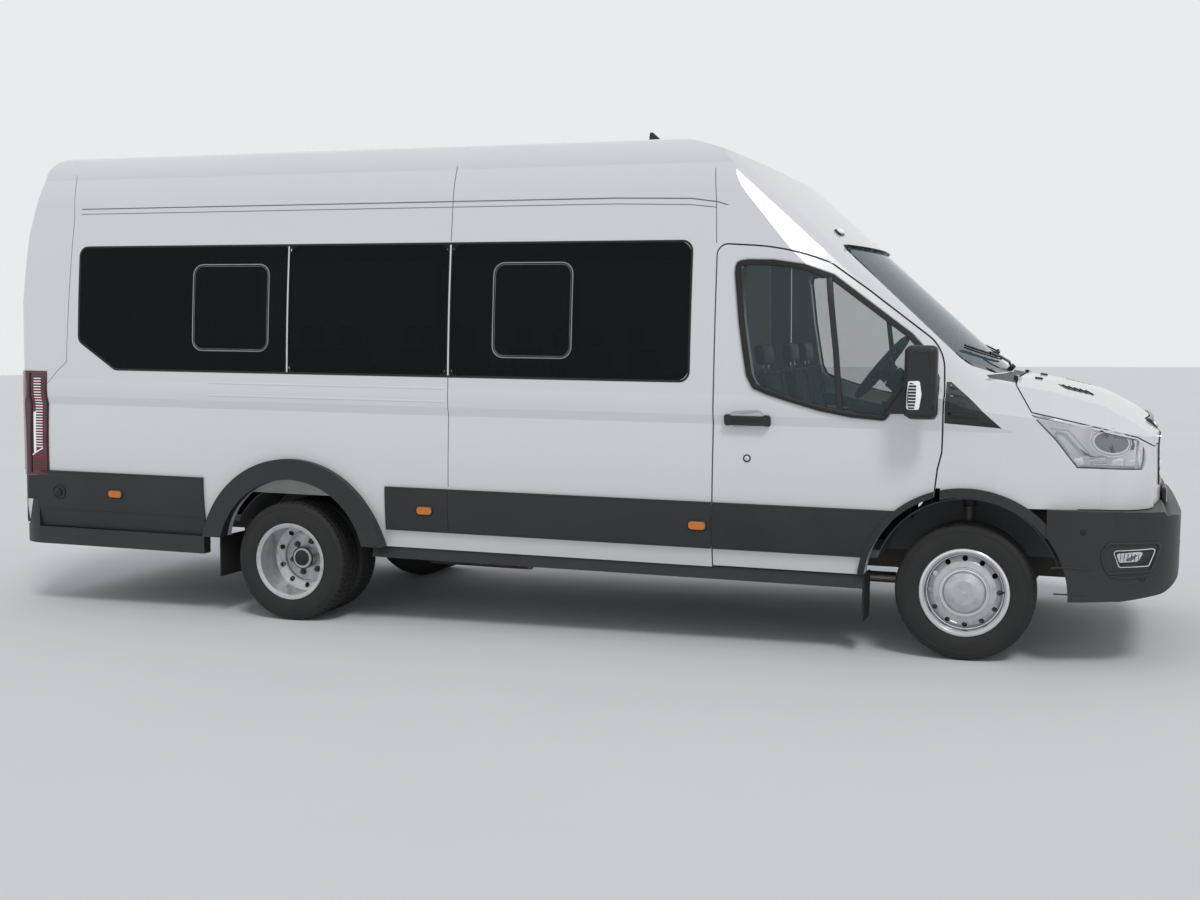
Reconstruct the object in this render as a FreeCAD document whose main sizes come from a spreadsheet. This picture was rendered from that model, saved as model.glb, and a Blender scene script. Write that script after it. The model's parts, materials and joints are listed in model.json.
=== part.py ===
"""High-roof passenger minibus with twin rear wheels, as an assembly of its real panels and pieces.

Axes: +X forward, +Y to the left, +Z up, origin on the ground below the middle of the length.
The body stands nose-down by a small rake on its springs. Body pieces are drawn in a level body
frame and take the rake in their Placement. Wheels, axle and knuckles stand level on the ground.
"""
import FreeCAD, Part
import math
import os
from FreeCAD import Placement, Rotation, Vector

doc = FreeCAD.newDocument("Minibus")
sheet = doc.addObject("Spreadsheet::Sheet", "Sizes")

# Columns: alias, value in millimetres or degrees, meaning.
SIZES = [
    ("overall_length", 6704, "front bumper to rear step"),
    ("body_width", 2060, "side to side at the waist crease"),
    ("mirror_span", 2474, "tip to tip of the door mirrors"),
    ("mirror_rear", 2041, "rear face of the mirror heads, body frame"),
    ("mirror_front", 2190, "front of the mirror heads, body frame"),
    ("wheelbase", 3750, "front axle to rear axle"),
    ("front_overhang", 1023, "front axle to the front bumper"),
    ("rake_angle", 0.9346, "nose-down stance of the body on its springs"),
    ("roof_crown", 2724, "height of the roof along the middle"),
    ("roof_seam", 2330, "height of the seam between roof and sides"),
    ("waist_crease", 1290, "height of the widest line of the sides"),
    ("sill_height", 437, "lower edge of the painted sides"),
    ("cladding_low", 535, "lower edge of the side moulding"),
    ("cladding_high", 778, "upper edge of the side moulding"),
    ("cladding_proud", 16, "how far the side moulding stands out"),
    ("wall_thickness", 60, "whole thickness of a body wall"),
    ("door_thickness", 88, "whole thickness of a cab door"),
    ("glass_thickness", 5, "all window glass"),
    ("glass_setback", 2, "outer skin to bonded glass"),
    ("shut_gap", 8, "gap round doors and bonnet"),
    ("seat_fit", 0.3, "clearance of a piece that rests on another"),
    ("door_front", 2209, "front edge of the cab doors, body frame"),
    ("door_rear", 1047, "rear edge of the cab doors, body frame"),
    ("door_top", 2103, "upper rear corner of the cab doors"),
    ("panel_seam", -437, "upright seam between middle and rear side panels"),
    ("screen_foot", 2472, "windscreen foot on the middle line"),
    ("screen_foot_height", 1448, "height of the windscreen foot"),
    ("screen_head", 1712, "windscreen head on the middle line"),
    ("screen_head_height", 2130, "height of the windscreen head"),
    ("screen_bow", 120, "how far the screen falls back at its pillars"),
    ("screen_half", 840, "middle line to the pillar side of the screen"),
    ("nose_front", 3216, "front of the painted nose"),
    ("nose_low", 821, "lower edge of the painted nose"),
    ("bonnet_rear_height", 1432, "height of the bonnet at the screen"),
    ("bonnet_lip_height", 1225, "height where the bonnet turns down"),
    ("rear_face", -3284, "rear face of the doors near the waist"),
    ("rear_lean", 100, "how far the rear face leans in at the roof"),
    ("window_low", 1400, "lower edge of the side windows"),
    ("window_high", 2112, "upper edge of the side windows"),
    ("window_corner", 60, "corner radius of the side windows"),
    ("floor_top", 560, "floor of the cabin"),
    ("floor_thickness", 40, "floor panel"),
    ("rail_offset", 450, "middle line to a chassis rail"),
    ("rail_width", 60, "chassis rail"),
    ("rail_depth", 110, "chassis rail"),
    ("tyre_radius", 343, "wheel centre above the ground"),
    ("tyre_width", 195, "tyre section"),
    ("rim_radius", 203, "bead seat of the rim"),
    ("front_wheel_offset", 868, "middle line to the front wheel's middle plane"),
    ("rear_outer_offset", 936, "middle line to the outer rear wheel"),
    ("rear_inner_offset", 705, "middle line to the inner rear wheel"),
    ("stub_radius", 26, "wheel stub"),
    ("stub_clearance", 0.3, "radial clearance of a wheel on its stub"),
    ("kingpin_low_offset", 790, "middle line to the lower ball joint"),
    ("kingpin_high_offset", 690, "middle line to the strut's top mount"),
    ("kingpin_low_height", 205, "lower ball joint above the ground"),
    ("kingpin_high_height", 740, "strut's top mount above the ground"),
    ("front_arch_radius", 487, "opening in the front wing and door"),
    ("front_arch_band", 46, "width of the front arch moulding"),
    ("rear_arch_radius", 484, "opening in the rear side panel"),
    ("rear_arch_band", 106, "width of the rear arch moulding"),
    ("rear_arch_flare", 1063, "middle line to the outer face of the rear arch moulding"),
    ("rear_arch_shift", 18, "rear arch centre ahead of the wheel centre"),
    ("bumper_front_low", 372, "lower edge of the front bumper's sides"),
    ("tray_low", 272, "lower edge of the tray below the front bumper"),
    ("intake_half", 500, "middle line to the end of the lower intake"),
    ("intake_low", 420, "lower edge of the lower intake"),
    ("intake_high", 540, "upper edge of the lower intake"),
    ("grille_low", 905, "lower edge of the grille"),
    ("grille_high", 1238, "upper edge of the grille"),
    ("grille_half", 545, "middle line to the widest point of the grille"),
    ("grille_bars", 6, "number of bars across the grille"),
    ("badge_radius", 70, "bare round place in the middle of the grille"),
    ("rear_bumper_low", 330, "lower edge of the rear bumper"),
    ("rear_bumper_high", 600, "top of the rear bumper's step"),
    ("rear_door_low", 622, "lower edge of the rear doors"),
    ("rear_door_high", 2470, "upper edge of the rear doors"),
    ("rear_door_half", 892, "middle line to a rear door's hinge edge"),
    ("rear_hinge_x", -3300, "hinge line of the rear doors, body frame"),
    ("cab_hinge_x", 2140, "hinge line of the cab doors, body frame"),
    ("cab_hinge_inset", 24, "hinge line of the cab doors inside the waist"),
    ("bonnet_hinge_x", 2524, "hinge line of the bonnet, body frame"),
    ("bonnet_hinge_height", 1440, "hinge line of the bonnet"),
    ("cab_hinge_low", 1010, "middle of the lower cab door hinge"),
    ("cab_hinge_high", 1290, "middle of the upper cab door hinge"),
    ("cab_hinge_depth", 44, "height of a cab door hinge arm"),
    ("rear_hinge_length", 80, "length of a rear door hinge"),
    ("hinge_pin_radius", 7, "door hinge pins"),
    ("driver_offset", 470, "middle line to the steering wheel and driver's seat"),
    ("steering_wheel_radius", 195, "steering wheel, to the middle of its rim"),
    ("steering_tilt", 38.6, "steering column above the level"),
    ("seat_pitch", 790, "distance between rows of seats"),
    ("seat_width", 440, "passenger seat"),
    ("tow_bolt_radius", 6.5, "tow bar bolt holes in the chassis rails"),
    ("tow_eye_radius", 10.5, "towing eye socket"),
    ("tow_eye_depth", 70, "towing eye socket"),
]
for row, (alias, value, meaning) in enumerate(SIZES, start=1):
    sheet.set(f"A{row}", alias)
    sheet.set(f"B{row}", str(value))
    sheet.set(f"C{row}", meaning)
    sheet.setAlias(f"B{row}", alias)
doc.recompute()


class SheetSizes:
    """Reads a size from the sheet by its alias."""

    def __getattr__(self, alias):
        return float(sheet.get(alias))


S = SheetSizes()
HALF = S.body_width / 2
RAKE = math.radians(S.rake_angle)
FRONT_AXLE = S.overall_length / 2 - S.front_overhang
REAR_AXLE = FRONT_AXLE - S.wheelbase
LEVEL = Placement()
RAKED = Placement(Vector(0, 0, 0), Rotation(Vector(0, 1, 0), S.rake_angle))
FAR = 4 * S.overall_length
PIECES = []


def body_point(x, height):
    """A ground-frame point (x, height) seen in the raked body frame."""
    return (
        x * math.cos(RAKE) - height * math.sin(RAKE),
        x * math.sin(RAKE) + height * math.cos(RAKE),
    )


def ground_height(x, height):
    """Height above the ground of a body-frame height, at a ground-frame x."""
    return (height - x * math.sin(RAKE)) / math.cos(RAKE)


FRONT_HUB = body_point(FRONT_AXLE, S.tyre_radius)
REAR_HUB = body_point(REAR_AXLE, S.tyre_radius)
NOSE_TIP = (S.overall_length / 2 - 700 * math.sin(RAKE)) / math.cos(RAKE)
TAIL_TIP = (-S.overall_length / 2 - S.rear_bumper_low * math.sin(RAKE)) / math.cos(RAKE)


# Drawing helpers

PLANES = {
    "XZ": (lambda a, b, c: Vector(a, c, b), Vector(0, 1, 0)),
    "YZ": (lambda a, b, c: Vector(c, a, b), Vector(1, 0, 0)),
    "XY": (lambda a, b, c: Vector(a, b, c), Vector(0, 0, 1)),
}


def loop(plane, points, at):
    """A closed wire. A point with a third entry is a point that an arc passes through."""
    place = PLANES[plane][0]
    corners = list(points) + [points[0]]
    edges = []
    start = None
    through = None
    for corner in corners:
        spot = place(corner[0], corner[1], at)
        if len(corner) == 3:
            through = spot
            continue
        if start is not None and through is not None:
            edges.append(Part.Arc(start, through, spot).toShape())
        elif start is not None and start.distanceToPoint(spot) > 0.001:
            edges.append(Part.makeLine(start, spot))
        start = spot
        through = None
    return Part.Wire(edges)


def prism(plane, points, low, high, grow=0.0):
    """A closed outline, grown or shrunk by grow, pushed from low to high along its normal."""
    wire = loop(plane, points, low)
    if grow:
        wire = wire.makeOffset2D(grow, 2)
    return Part.Face(wire).extrude(PLANES[plane][1] * (high - low))


def rounded(corners, radius):
    """An outline of straight sides with each corner turned by an arc of the radius."""
    points = []
    count = len(corners)
    for index, corner in enumerate(corners):
        here = Vector(corner[0], corner[1], 0)
        before = (Vector(*corners[index - 1][:2], 0) - here).normalize()
        after = (Vector(*corners[(index + 1) % count][:2], 0) - here).normalize()
        half = before.getAngle(after) / 2
        reach = radius / math.tan(half)
        middle = (before + after).normalize() * (radius / math.sin(half) - radius)
        points.append(((here + before * reach).x, (here + before * reach).y))
        points.append(((here + middle).x, (here + middle).y, "arc"))
        points.append(((here + after * reach).x, (here + after * reach).y))
    return points


def block(x, y, z):
    """A box from three pairs of low and high limits."""
    return Part.makeBox(x[1] - x[0], y[1] - y[0], z[1] - z[0], Vector(x[0], y[0], z[0]))


def rod(start, end, radius):
    """A round bar from one point to another."""
    start = Vector(*start)
    along = Vector(*end) - start
    return Part.makeCylinder(radius, along.Length, start, along)


def mirrored(shape):
    return shape.mirror(Vector(0, 0, 0), Vector(0, 1, 0))


def largest(shape):
    return max(shape.Solids, key=lambda solid: solid.Volume)


def fused(shapes):
    whole = shapes[0]
    if len(shapes) > 1:
        whole = whole.multiFuse(shapes[1:])
    return whole.removeSplitter()


def apart(shapes):
    """Solids that don't touch, kept in one piece of the list."""
    solids = []
    for shape in shapes:
        solids.extend(shape.Solids)
    return Part.makeCompound(solids)


def piece(label, shape, placement=RAKED):
    """Adds a shape to the document as a named piece."""
    if len(shape.Solids) == 1:
        shape = shape.Solids[0]
    feature = doc.addObject("Part::Feature", "Piece_" + label)
    feature.Label = label
    feature.Shape = shape
    feature.Placement = placement
    PIECES.append(feature)
    return feature


# The outer form of the body

def side_table(inset):
    """Half section of the body side. Columns: half width, height, and arc for a point on an arc."""
    waist = S.waist_crease
    low = S.sill_height
    rows = [
        (HALF - 50, low - 60),
        (HALF - 44, low),
        (HALF - 16, (low + S.cladding_high) / 2, "arc"),
        (HALF - 8, S.cladding_high),
        (HALF - 8, waist - 290, "arc"),
        (HALF - 16, waist - 110),
        (HALF - 2, waist - 62),
        (HALF, waist, "arc"),
        (HALF - 3, waist + 42),
        (HALF - 19, (waist + S.window_high) / 2 + 60, "arc"),
        (HALF - 46, S.window_high),
        (HALF - 72, S.roof_seam),
        (HALF - 92, (S.roof_seam + S.roof_crown) / 2 - 90, "arc"),
        (HALF - 124, S.roof_crown - 204),
        (HALF - 158, S.roof_crown - 118, "arc"),
        (HALF - 246, S.roof_crown - 66),
        (HALF * 0.4, S.roof_crown - 12, "arc"),
    ]
    return [(row[0] - inset, row[1] - (inset if row[1] > S.roof_seam + 1 else 0), *row[2:])
            for row in rows]


def side_at(height):
    """Half width of the outer skin at a height, between the rows of the side table."""
    rows = side_table(0)
    for (y0, z0, *_), (y1, z1, *_) in zip(rows, rows[1:]):
        if z0 <= height <= z1:
            return y0 + (y1 - y0) * (height - z0) / (z1 - z0)
    return HALF


def section_form(inset):
    """The body's constant cross-section, pushed the whole length."""
    half = side_table(inset)
    drop = 200 if inset else 0
    right = [(-half[0][0], half[0][1] - drop)]
    right += [(-y, z, *arc) for y, z, *arc in half[:]][1:-1]
    left = [(y, z, *arc) for y, z, *arc in reversed(half[1:-1])]
    foot = [(half[0][0], half[0][1] - drop)]
    crown = [(0, S.roof_crown - inset, "arc")]
    return prism("YZ", right + crown + left + foot, S.rear_face - 200, S.nose_front + 200)


def profile_form(inset):
    """Side view of the body: leaning rear face, roof, front cap, screen line and nose."""
    rear = S.rear_face + inset
    crown = S.roof_crown + 8 - inset
    low = S.sill_height - 60 - (200 if inset else 0)
    screen_x, screen_z = screen_normal(inset)
    head_x = S.screen_head - screen_x
    head_z = S.screen_head_height - screen_z
    cap = inset * 0.7
    points = [
        (rear, low),
        (rear + 4, S.waist_crease),
        (rear + 24, (S.waist_crease + S.window_high) / 2 + 100, "arc"),
        (rear + 52, S.window_high + 80),
        (rear + S.rear_lean, S.roof_crown - 320),
        (rear + S.rear_lean + 30, S.roof_crown - 175),
        (rear + S.rear_lean + 68, S.roof_crown - 92 - cap, "arc"),
        (rear + S.rear_lean + 190, crown - 24),
        (rear + 1800, crown),
        (177, crown - 12),
        (996 - cap, S.roof_crown - 112 - cap, "arc"),
        (1452 - cap, S.roof_crown - 322 - cap),
        (1622 - cap, S.roof_crown - 432 - cap, "arc"),
        (head_x + 30, head_z + 22),
        (head_x, head_z),
        (S.screen_foot - screen_x, S.screen_foot_height - screen_z),
        (S.screen_foot + 60 - screen_x, S.bonnet_rear_height - inset),
        (2701, 1414 - inset),
        (2935, S.bonnet_rear_height - 74 - inset, "arc"),
        (3101 - cap, S.bonnet_lip_height + 55 - cap),
        (3196 - cap, S.bonnet_lip_height - 20 - cap, "arc"),
        (S.nose_front - inset, S.bonnet_lip_height - 110),
        (S.nose_front + 22 - inset, S.nose_low),
        (S.nose_front + 22 - inset, low),
    ]
    return prism("XZ", points, -S.body_width, S.body_width)


def screen_normal(inset):
    """Shift of the screen line for an inset, across its slope."""
    run = S.screen_foot - S.screen_head
    rise = S.screen_head_height - S.screen_foot_height
    length = math.hypot(run, rise)
    return inset * rise / length, inset * run / length


def screen_form(inset):
    """All that lies behind the bowed windscreen and its pillars, pushed along the slope.

    The plan is drawn square to the slope, so that its arcs push into true cylinders.
    """
    run = S.screen_foot - S.screen_head
    rise = S.screen_head_height - S.screen_foot_height
    length = math.hypot(run, rise)
    along = Vector(-run / length, 0, rise / length)
    foot = S.screen_foot - inset * length / rise
    pillar = foot - S.screen_bow
    half = S.screen_half - inset / 2
    edge = HALF - inset
    right = [
        (pillar, half),
        (pillar - 28, half + 48, "arc"),
        (pillar - 72, half + 82),
        (pillar - 230, edge - 40),
        (pillar - 440, edge + 8),
        (pillar - 2300, edge + 8),
    ]
    left = [(x, -y, *arc) for x, y, *arc in reversed(right)]
    base = Vector(S.screen_foot, 0, S.screen_foot_height)
    edges = []
    start = through = None
    for x, y, *arc in right + left + [(foot, 0, "arc"), right[0]]:
        spot = Vector(x, y, S.screen_foot_height)
        spot = spot - along * (spot - base).dot(along)
        if arc:
            through = spot
            continue
        if through is not None:
            edges.append(Part.Arc(start, through, spot).toShape())
        elif start is not None:
            edges.append(Part.makeLine(start, spot))
        start, through = spot, None
    face = Part.Face(Part.Wire(edges))
    face.translate(along * -1200)
    front = face.extrude(along * S.overall_length)
    above = block((-FAR, FAR), (-FAR, FAR), (S.waist_crease - 40, S.roof_crown + 100))
    behind = block((-FAR, 300), (-edge - 8, edge + 8), (S.waist_crease - 40, S.roof_crown + 100))
    return front.common(above).fuse(behind)


def nose_plan(inset):
    """Plan of the body below the screen foot: straight sides, tapered nose and rear corners."""
    front = S.nose_front + 26 - inset
    half = HALF + 8 - inset
    rear = S.rear_face - 40 + inset
    right = [
        (rear, -half + 190),
        (rear + 44, -half + 46, "arc"),
        (rear + 190, -half),
        (FRONT_HUB[0] - 250, -half),
        (FRONT_HUB[0] + 330, -half + 42, "arc"),
        (front - 300, -half + 110),
        (front - 110, -half + 200, "arc"),
        (front - 52, -half + 390),
    ]
    left = [(x, -y, *arc) for x, y, *arc in reversed(right)]
    return right + [(front, 0, "arc")] + left


def nose_form(inset):
    low = S.sill_height - 300
    return prism("XY", nose_plan(inset), low, S.screen_foot_height)


def rear_plan_form(inset):
    """Rounded rear corners of the upper body."""
    half = HALF + 8 - inset
    rear = S.rear_face - 40 + inset
    points = [
        (rear, -half + 190),
        (rear + 44, -half + 46, "arc"),
        (rear + 190, -half),
        (FAR, -half),
        (FAR, half),
        (rear + 190, half),
        (rear + 44, half - 46, "arc"),
        (rear, half - 190),
    ]
    return prism("XY", points, S.waist_crease - 40, S.roof_crown + 100)


def bonnet_form(inset):
    """Crowned bonnet with its shoulders, as a loft of sections with an arched top."""
    foot = S.sill_height - 400
    screen = S.screen_foot
    lip = S.bonnet_lip_height
    # Columns: station, height on the middle line, half width and height of the shoulder's upper
    # and lower edges below that line.
    stations = [
        (screen - 480, S.bonnet_rear_height + 60, HALF - 24, 18, HALF - 4, 70),
        (screen - 120, S.bonnet_rear_height + 40, HALF - 200, 40, HALF - 62, 150),
        (screen + 229, S.bonnet_rear_height - 12, HALF - 200, 44, HALF - 70, 160),
        (screen + 479, S.bonnet_rear_height - 70, HALF - 220, 56, HALF - 100, 150),
        (screen + 629, lip + 60, HALF - 250, 62, HALF - 120, 124),
        (S.nose_front + 60, lip - 60, HALF - 300, 66, HALF - 140, 110),
    ]
    wires = []
    for station, top, shoulder, fall, side, drop in stations:
        right = [
            (-HALF - 9, foot),
            (-HALF - 9, top - drop - 40 - inset),
            (-side + inset / 3, top - drop - inset),
            (-shoulder + inset / 3, top - fall - inset),
        ]
        left = [(-y, z) for y, z in reversed(right)]
        wires.append(loop("YZ", right + [(0, top - inset, "arc")] + left, station))
    nose = Part.makeLoft(wires, True, True)
    back = block((-FAR, stations[0][0]), (-FAR, FAR), (foot, S.screen_foot_height))
    return nose.fuse(back)


def body_form(inset):
    """The whole painted outer form, or the same form inset for walls, doors and glass."""
    upper = screen_form(inset).common(rear_plan_form(inset))
    lower = nose_form(inset).common(bonnet_form(inset))
    return section_form(inset).common(profile_form(inset)).common(upper.fuse(lower))


OUTER = body_form(0.0)
INNER = body_form(S.wall_thickness)
DOOR_INNER = body_form(S.door_thickness)
GLASS = body_form(S.glass_setback).cut(body_form(S.glass_setback + S.glass_thickness))
WALL = OUTER.cut(INNER)
DOOR_WALL = OUTER.cut(DOOR_INNER)


# Outlines in the side view

def arch_circle(hub, radius, low):
    """Points where a wheel arch circle meets a height, and its top, front to rear."""
    drop = low - hub[1]
    reach = math.sqrt(radius * radius - drop * drop)
    return (hub[0] - reach, low), (hub[0], hub[1] + radius, "arc"), (hub[0] + reach, low)


def cab_door_outline():
    rear, top, low = S.door_rear, S.door_top, S.sill_height
    rear_foot, _, _ = arch_circle(FRONT_HUB, S.front_arch_radius, low)
    arch_high = FRONT_HUB[1] + S.front_arch_radius * math.sin(math.radians(108))
    arch_x = FRONT_HUB[0] + S.front_arch_radius * math.cos(math.radians(108))
    mid = math.radians(148)
    return [
        rear_foot,
        (rear, low),
        (rear, top - 60),
        (rear + 18, top - 18, "arc"),
        (rear + 60, top),
        (rear + 192, top - 8),
        (rear + 420, top - 44, "arc"),
        (rear + 584, top - 98),
        (rear + 777, top - 236),
        (S.door_front - 99, top - 455),
        (S.door_front - 32, top - 535, "arc"),
        (S.door_front - 8, top - 620),
        (S.door_front, 1370),
        (S.door_front - 3, 1075),
        (S.door_front - 22, 990),
        (arch_x, arch_high),
        (FRONT_HUB[0] + S.front_arch_radius * math.cos(mid),
         FRONT_HUB[1] + S.front_arch_radius * math.sin(mid), "arc"),
    ]


def cab_window_outline():
    """Cab door window, with the sail at its front left out."""
    rear, top = S.door_rear, S.door_top
    return [
        (rear + 124, top - 150),
        (rear + 128, top - 112, "arc"),
        (rear + 168, top - 106),
        (rear + 298, top - 108),
        (rear + 450, top - 130, "arc"),
        (rear + 590, top - 180),
        (rear + 973, top - 465),
        (rear + 1062, top - 560),
        (rear + 868, top - 858),
        (rear + 560, top - 820, "arc"),
        (rear + 290, top - 744),
        (rear + 225, top - 718, "arc"),
        (rear + 196, top - 664),
        (rear + 151, top - 396),
    ]


def window_outline(rear, front, chamfer=0.0):
    """A bonded side window, with a sloping lower rear corner where chamfer is set."""
    low, high = S.window_low, S.window_high
    if chamfer:
        corners = [(rear, low + chamfer * 1.1), (rear, high), (front, high), (front, low),
                   (rear + chamfer * 1.7, low)]
        return rounded(corners, S.window_corner / 2)
    return rounded([(rear, low), (rear, high), (front, high), (front, low)], S.window_corner)


def roof_cap_line():
    """Lower edge of the roof, rear to front, in the side view."""
    seam = S.roof_seam
    return [
        (-FAR, seam),
        (900, seam),
        (1064, seam - 24),
        (1190, seam - 56, "arc"),
        (1300, seam - 112),
        (S.screen_head - 100, S.screen_head_height + 4),
        (FAR, S.screen_head_height + 4),
    ]


ROOF_ZONE = prism("XZ", roof_cap_line() + [(FAR, FAR), (-FAR, FAR)], -FAR, FAR)
BELOW_ROOF = prism("XZ", roof_cap_line() + [(FAR, -FAR), (-FAR, -FAR)], -FAR, FAR)
RIGHT = block((-FAR, FAR), (-FAR, 0), (-FAR, FAR))
SIDE_BAND = HALF - 400
RIGHT_BAND = (-FAR, -SIDE_BAND)
DOOR_HOLE = prism("XZ", cab_door_outline(), *RIGHT_BAND)
DOOR_ZONE = prism("XZ", cab_door_outline(), *RIGHT_BAND, grow=-S.shut_gap)
CAB_WINDOW = prism("XZ", cab_window_outline(), *RIGHT_BAND)
FRONT_WINDOW = prism("XZ", window_outline(S.panel_seam + 12, S.door_rear - 132), *RIGHT_BAND)
MIDDLE_WINDOW = prism("XZ", window_outline(REAR_HUB[0] - 3, S.panel_seam - 12), *RIGHT_BAND)
REAR_WINDOW = prism("XZ", window_outline(S.rear_face + 434, REAR_HUB[0] - 19, 150), *RIGHT_BAND)
FRONT_ARCH = rod((FRONT_HUB[0], -FAR, FRONT_HUB[1]), (FRONT_HUB[0], FAR, FRONT_HUB[1]),
                 S.front_arch_radius)
REAR_ARCH_X = REAR_HUB[0] + S.rear_arch_shift
REAR_ARCH = rod((REAR_ARCH_X, -FAR, REAR_HUB[1]), (REAR_ARCH_X, FAR, REAR_HUB[1]),
                S.rear_arch_radius)


def rear_opening(grow=0.0):
    """Rear door opening as a prism along the length."""
    half, low, high = S.rear_door_half, S.rear_door_low, S.rear_door_high
    bend, taper = S.roof_seam - 170, 66
    right = [(-half, low), (-half, bend), (-half + taper, high)]
    left = [(-y, z) for y, z in reversed(right)]
    return prism("YZ", rounded(right + left, 70), -FAR, S.rear_face + 210, grow=grow)


REAR_HOLE = rear_opening()


def grille_outline():
    """Grille seen from the front: narrow at the foot, widest below the bonnet's lip."""
    half, low, high = S.grille_half, S.grille_low, S.grille_high
    right = [(-half + 70, low), (-half, high - 130), (-half + 90, high)]
    left = [(-y, z) for y, z in reversed(right)]
    return rounded(right + left, 36)


GRILLE_HOLE = prism("YZ", grille_outline(), S.nose_front - 150, FAR)
PAINTED = block((-FAR, FAR), (-FAR, FAR), (S.sill_height, FAR))


# Painted panels

def make_roof():
    roof = WALL.common(ROOF_ZONE).cut(REAR_HOLE)
    piece("roof", roof)


def side_zone(rear, front):
    return block((rear, front), (-FAR, -SIDE_BAND), (S.sill_height, FAR))


def rear_hinges(half):
    """The body's or the door's halves of the three hinges of the right rear door."""
    x, y = S.rear_hinge_x, -S.rear_door_half
    length = S.rear_hinge_length / 2
    barrel = S.hinge_pin_radius + 3
    parts = []
    for height in (S.rear_door_low + 130, S.waist_crease + 30, S.window_high - 130):
        face = S.rear_face + S.rear_lean * max(0, height - S.waist_crease) / 1000 + 12
        if half == "body":
            low, high = height - length, height - 0.5
            parts.append(rod((x, y, low), (x, y, high), barrel))
            parts.append(rod((x, y, low), (x, y, height + length), S.hinge_pin_radius - 2))
            parts.append(block((x - 5, face), (y - 28, y - 1), (low, high)))
        else:
            low, high = height + 0.5, height + length
            parts.append(rod((x, y, low), (x, y, high), barrel))
            parts.append(block((x - 5, face), (y + S.shut_gap + 1, y + 70), (low, high)))
            parts.append(block((x - 5, x + 5), (y, y + 20), (low, high)))
    return parts


def make_side_panels():
    """Middle panel and rear quarter on the right, sliding door and rear quarter on the left."""
    wall = WALL.common(BELOW_ROOF)
    middle = wall.common(side_zone(S.panel_seam, S.door_rear)).cut(FRONT_WINDOW)
    piece("right_middle_panel", middle)
    quarter = wall.common(side_zone(-FAR, S.panel_seam)).cut(REAR_ARCH).cut(REAR_HOLE)
    quarter = quarter.cut(MIDDLE_WINDOW).cut(REAR_WINDOW)
    quarter = largest(fused([quarter] + rear_hinges("body")))
    piece("right_rear_quarter", quarter)
    piece("left_rear_quarter", mirrored(quarter))
    gap = S.shut_gap / 2
    slot = side_zone(S.panel_seam + gap, S.door_rear - gap)
    sill = block((-FAR, FAR), (-FAR, FAR), (S.sill_height + S.seat_fit, S.roof_seam - gap))
    sliding = wall.common(slot).common(sill).cut(FRONT_WINDOW)
    piece("left_sliding_door", mirrored(sliding))


def screen_opening():
    """Windscreen opening, seen along the length."""
    half_foot, half_head = S.screen_half - 10, S.screen_half - 72
    low, high = S.screen_foot_height + 6, S.screen_head_height - 26
    right = [(-half_foot + 270, low), (-half_foot, low + 48), (-half_head, high)]
    left = [(-y, z) for y, z in reversed(right)]
    return prism("YZ", rounded(right + left, 60), S.screen_head - 320, FAR)


SCREEN_HOLE = screen_opening()


def make_screen_frame():
    """Windscreen surround with both front pillars, down to the cowl below the glass."""
    low = block((S.door_rear, S.screen_foot + 48), (-FAR, FAR), (S.bonnet_hinge_height - 130, FAR))
    frame = WALL.common(BELOW_ROOF).common(low)
    frame = frame.cut(DOOR_HOLE).cut(mirrored(DOOR_HOLE)).cut(SCREEN_HOLE)
    cut_wing = block((-FAR, FAR), (-FAR, FAR), (-FAR, S.screen_foot_height - 28))
    frame = frame.cut(cut_wing)
    cowl_zone = block((S.screen_foot - 260, S.screen_foot + 48), (-HALF + 300, HALF - 300),
                      (S.screen_foot_height - 78, S.screen_foot_height + 1))
    cowl = largest(WALL.common(cowl_zone))
    x, z = S.bonnet_hinge_x, S.bonnet_hinge_height
    for side in (-1, 1):
        cowl = cowl.cut(rod((x, side * 560, z), (x, side * 600, z), 14))
        cowl = cowl.fuse(rod((x, side * 535, z), (x, side * 603, z), 4))
        for near, far in ((535, 560), (600, 612)):
            span = sorted((side * near, side * far))
            cowl = cowl.fuse(block((x - 16, x + 4), span, (z - 26, z + 4)))
    piece("cowl", largest(cowl.removeSplitter()))
    piece("screen_frame", largest(frame.cut(cowl_zone)))
    return cowl_zone


BONNET_LINE = [
    (S.screen_foot + 52, S.bonnet_rear_height - 20),
    (2613, 1276),
    (2850, 1226, "arc"),
    (3099, 1166),
    (3180, 1118),
    (FAR, 1118),
    (FAR, FAR),
    (S.screen_foot + 52, FAR),
]
BONNET_ZONE = prism("XZ", BONNET_LINE, -FAR, FAR)


BONNET_GAP = S.shut_gap - 2


def make_bonnet():
    """Bonnet skin with its frame, as thick as the whole lid."""
    lid = OUTER.cut(body_form(S.wall_thickness - 22))
    zone = prism("XZ", BONNET_LINE, -FAR, FAR, grow=-BONNET_GAP)
    lid = largest(lid.common(zone).cut(GRILLE_HOLE))
    x, z = S.bonnet_hinge_x, S.bonnet_hinge_height
    for side in (-1, 1):
        near, far = side * 565, side * 595
        lid = lid.fuse(rod((x, near, z), (x, far, z), 8))
        lid = lid.fuse(block((x, x + 22), sorted((near, far)), (z - 32, z - 1)))
        lid = lid.cut(rod((x, side * 535, z), (x, side * 603, z), 4 + S.seat_fit))
    piece("bonnet", largest(lid.removeSplitter()))


def lamp_outline(grow=0.0):
    """Headlamp in the side view."""
    return [
        (2611, 1270), (3099, 1160), (3134, 1112, "arc"), (3126, 1010), (2830, 1016), (2726, 1150),
    ]


LAMP_ZONE = prism("XZ", lamp_outline(), -FAR, -HALF + 470)
FRONT_WINDOW_X = S.door_rear - 132


CAB_HINGE_Y = HALF - S.cab_hinge_inset


DOOR_SWEEP = block((-FAR, S.door_front - 9), (-FAR, FAR), (-FAR, 900))


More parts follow.
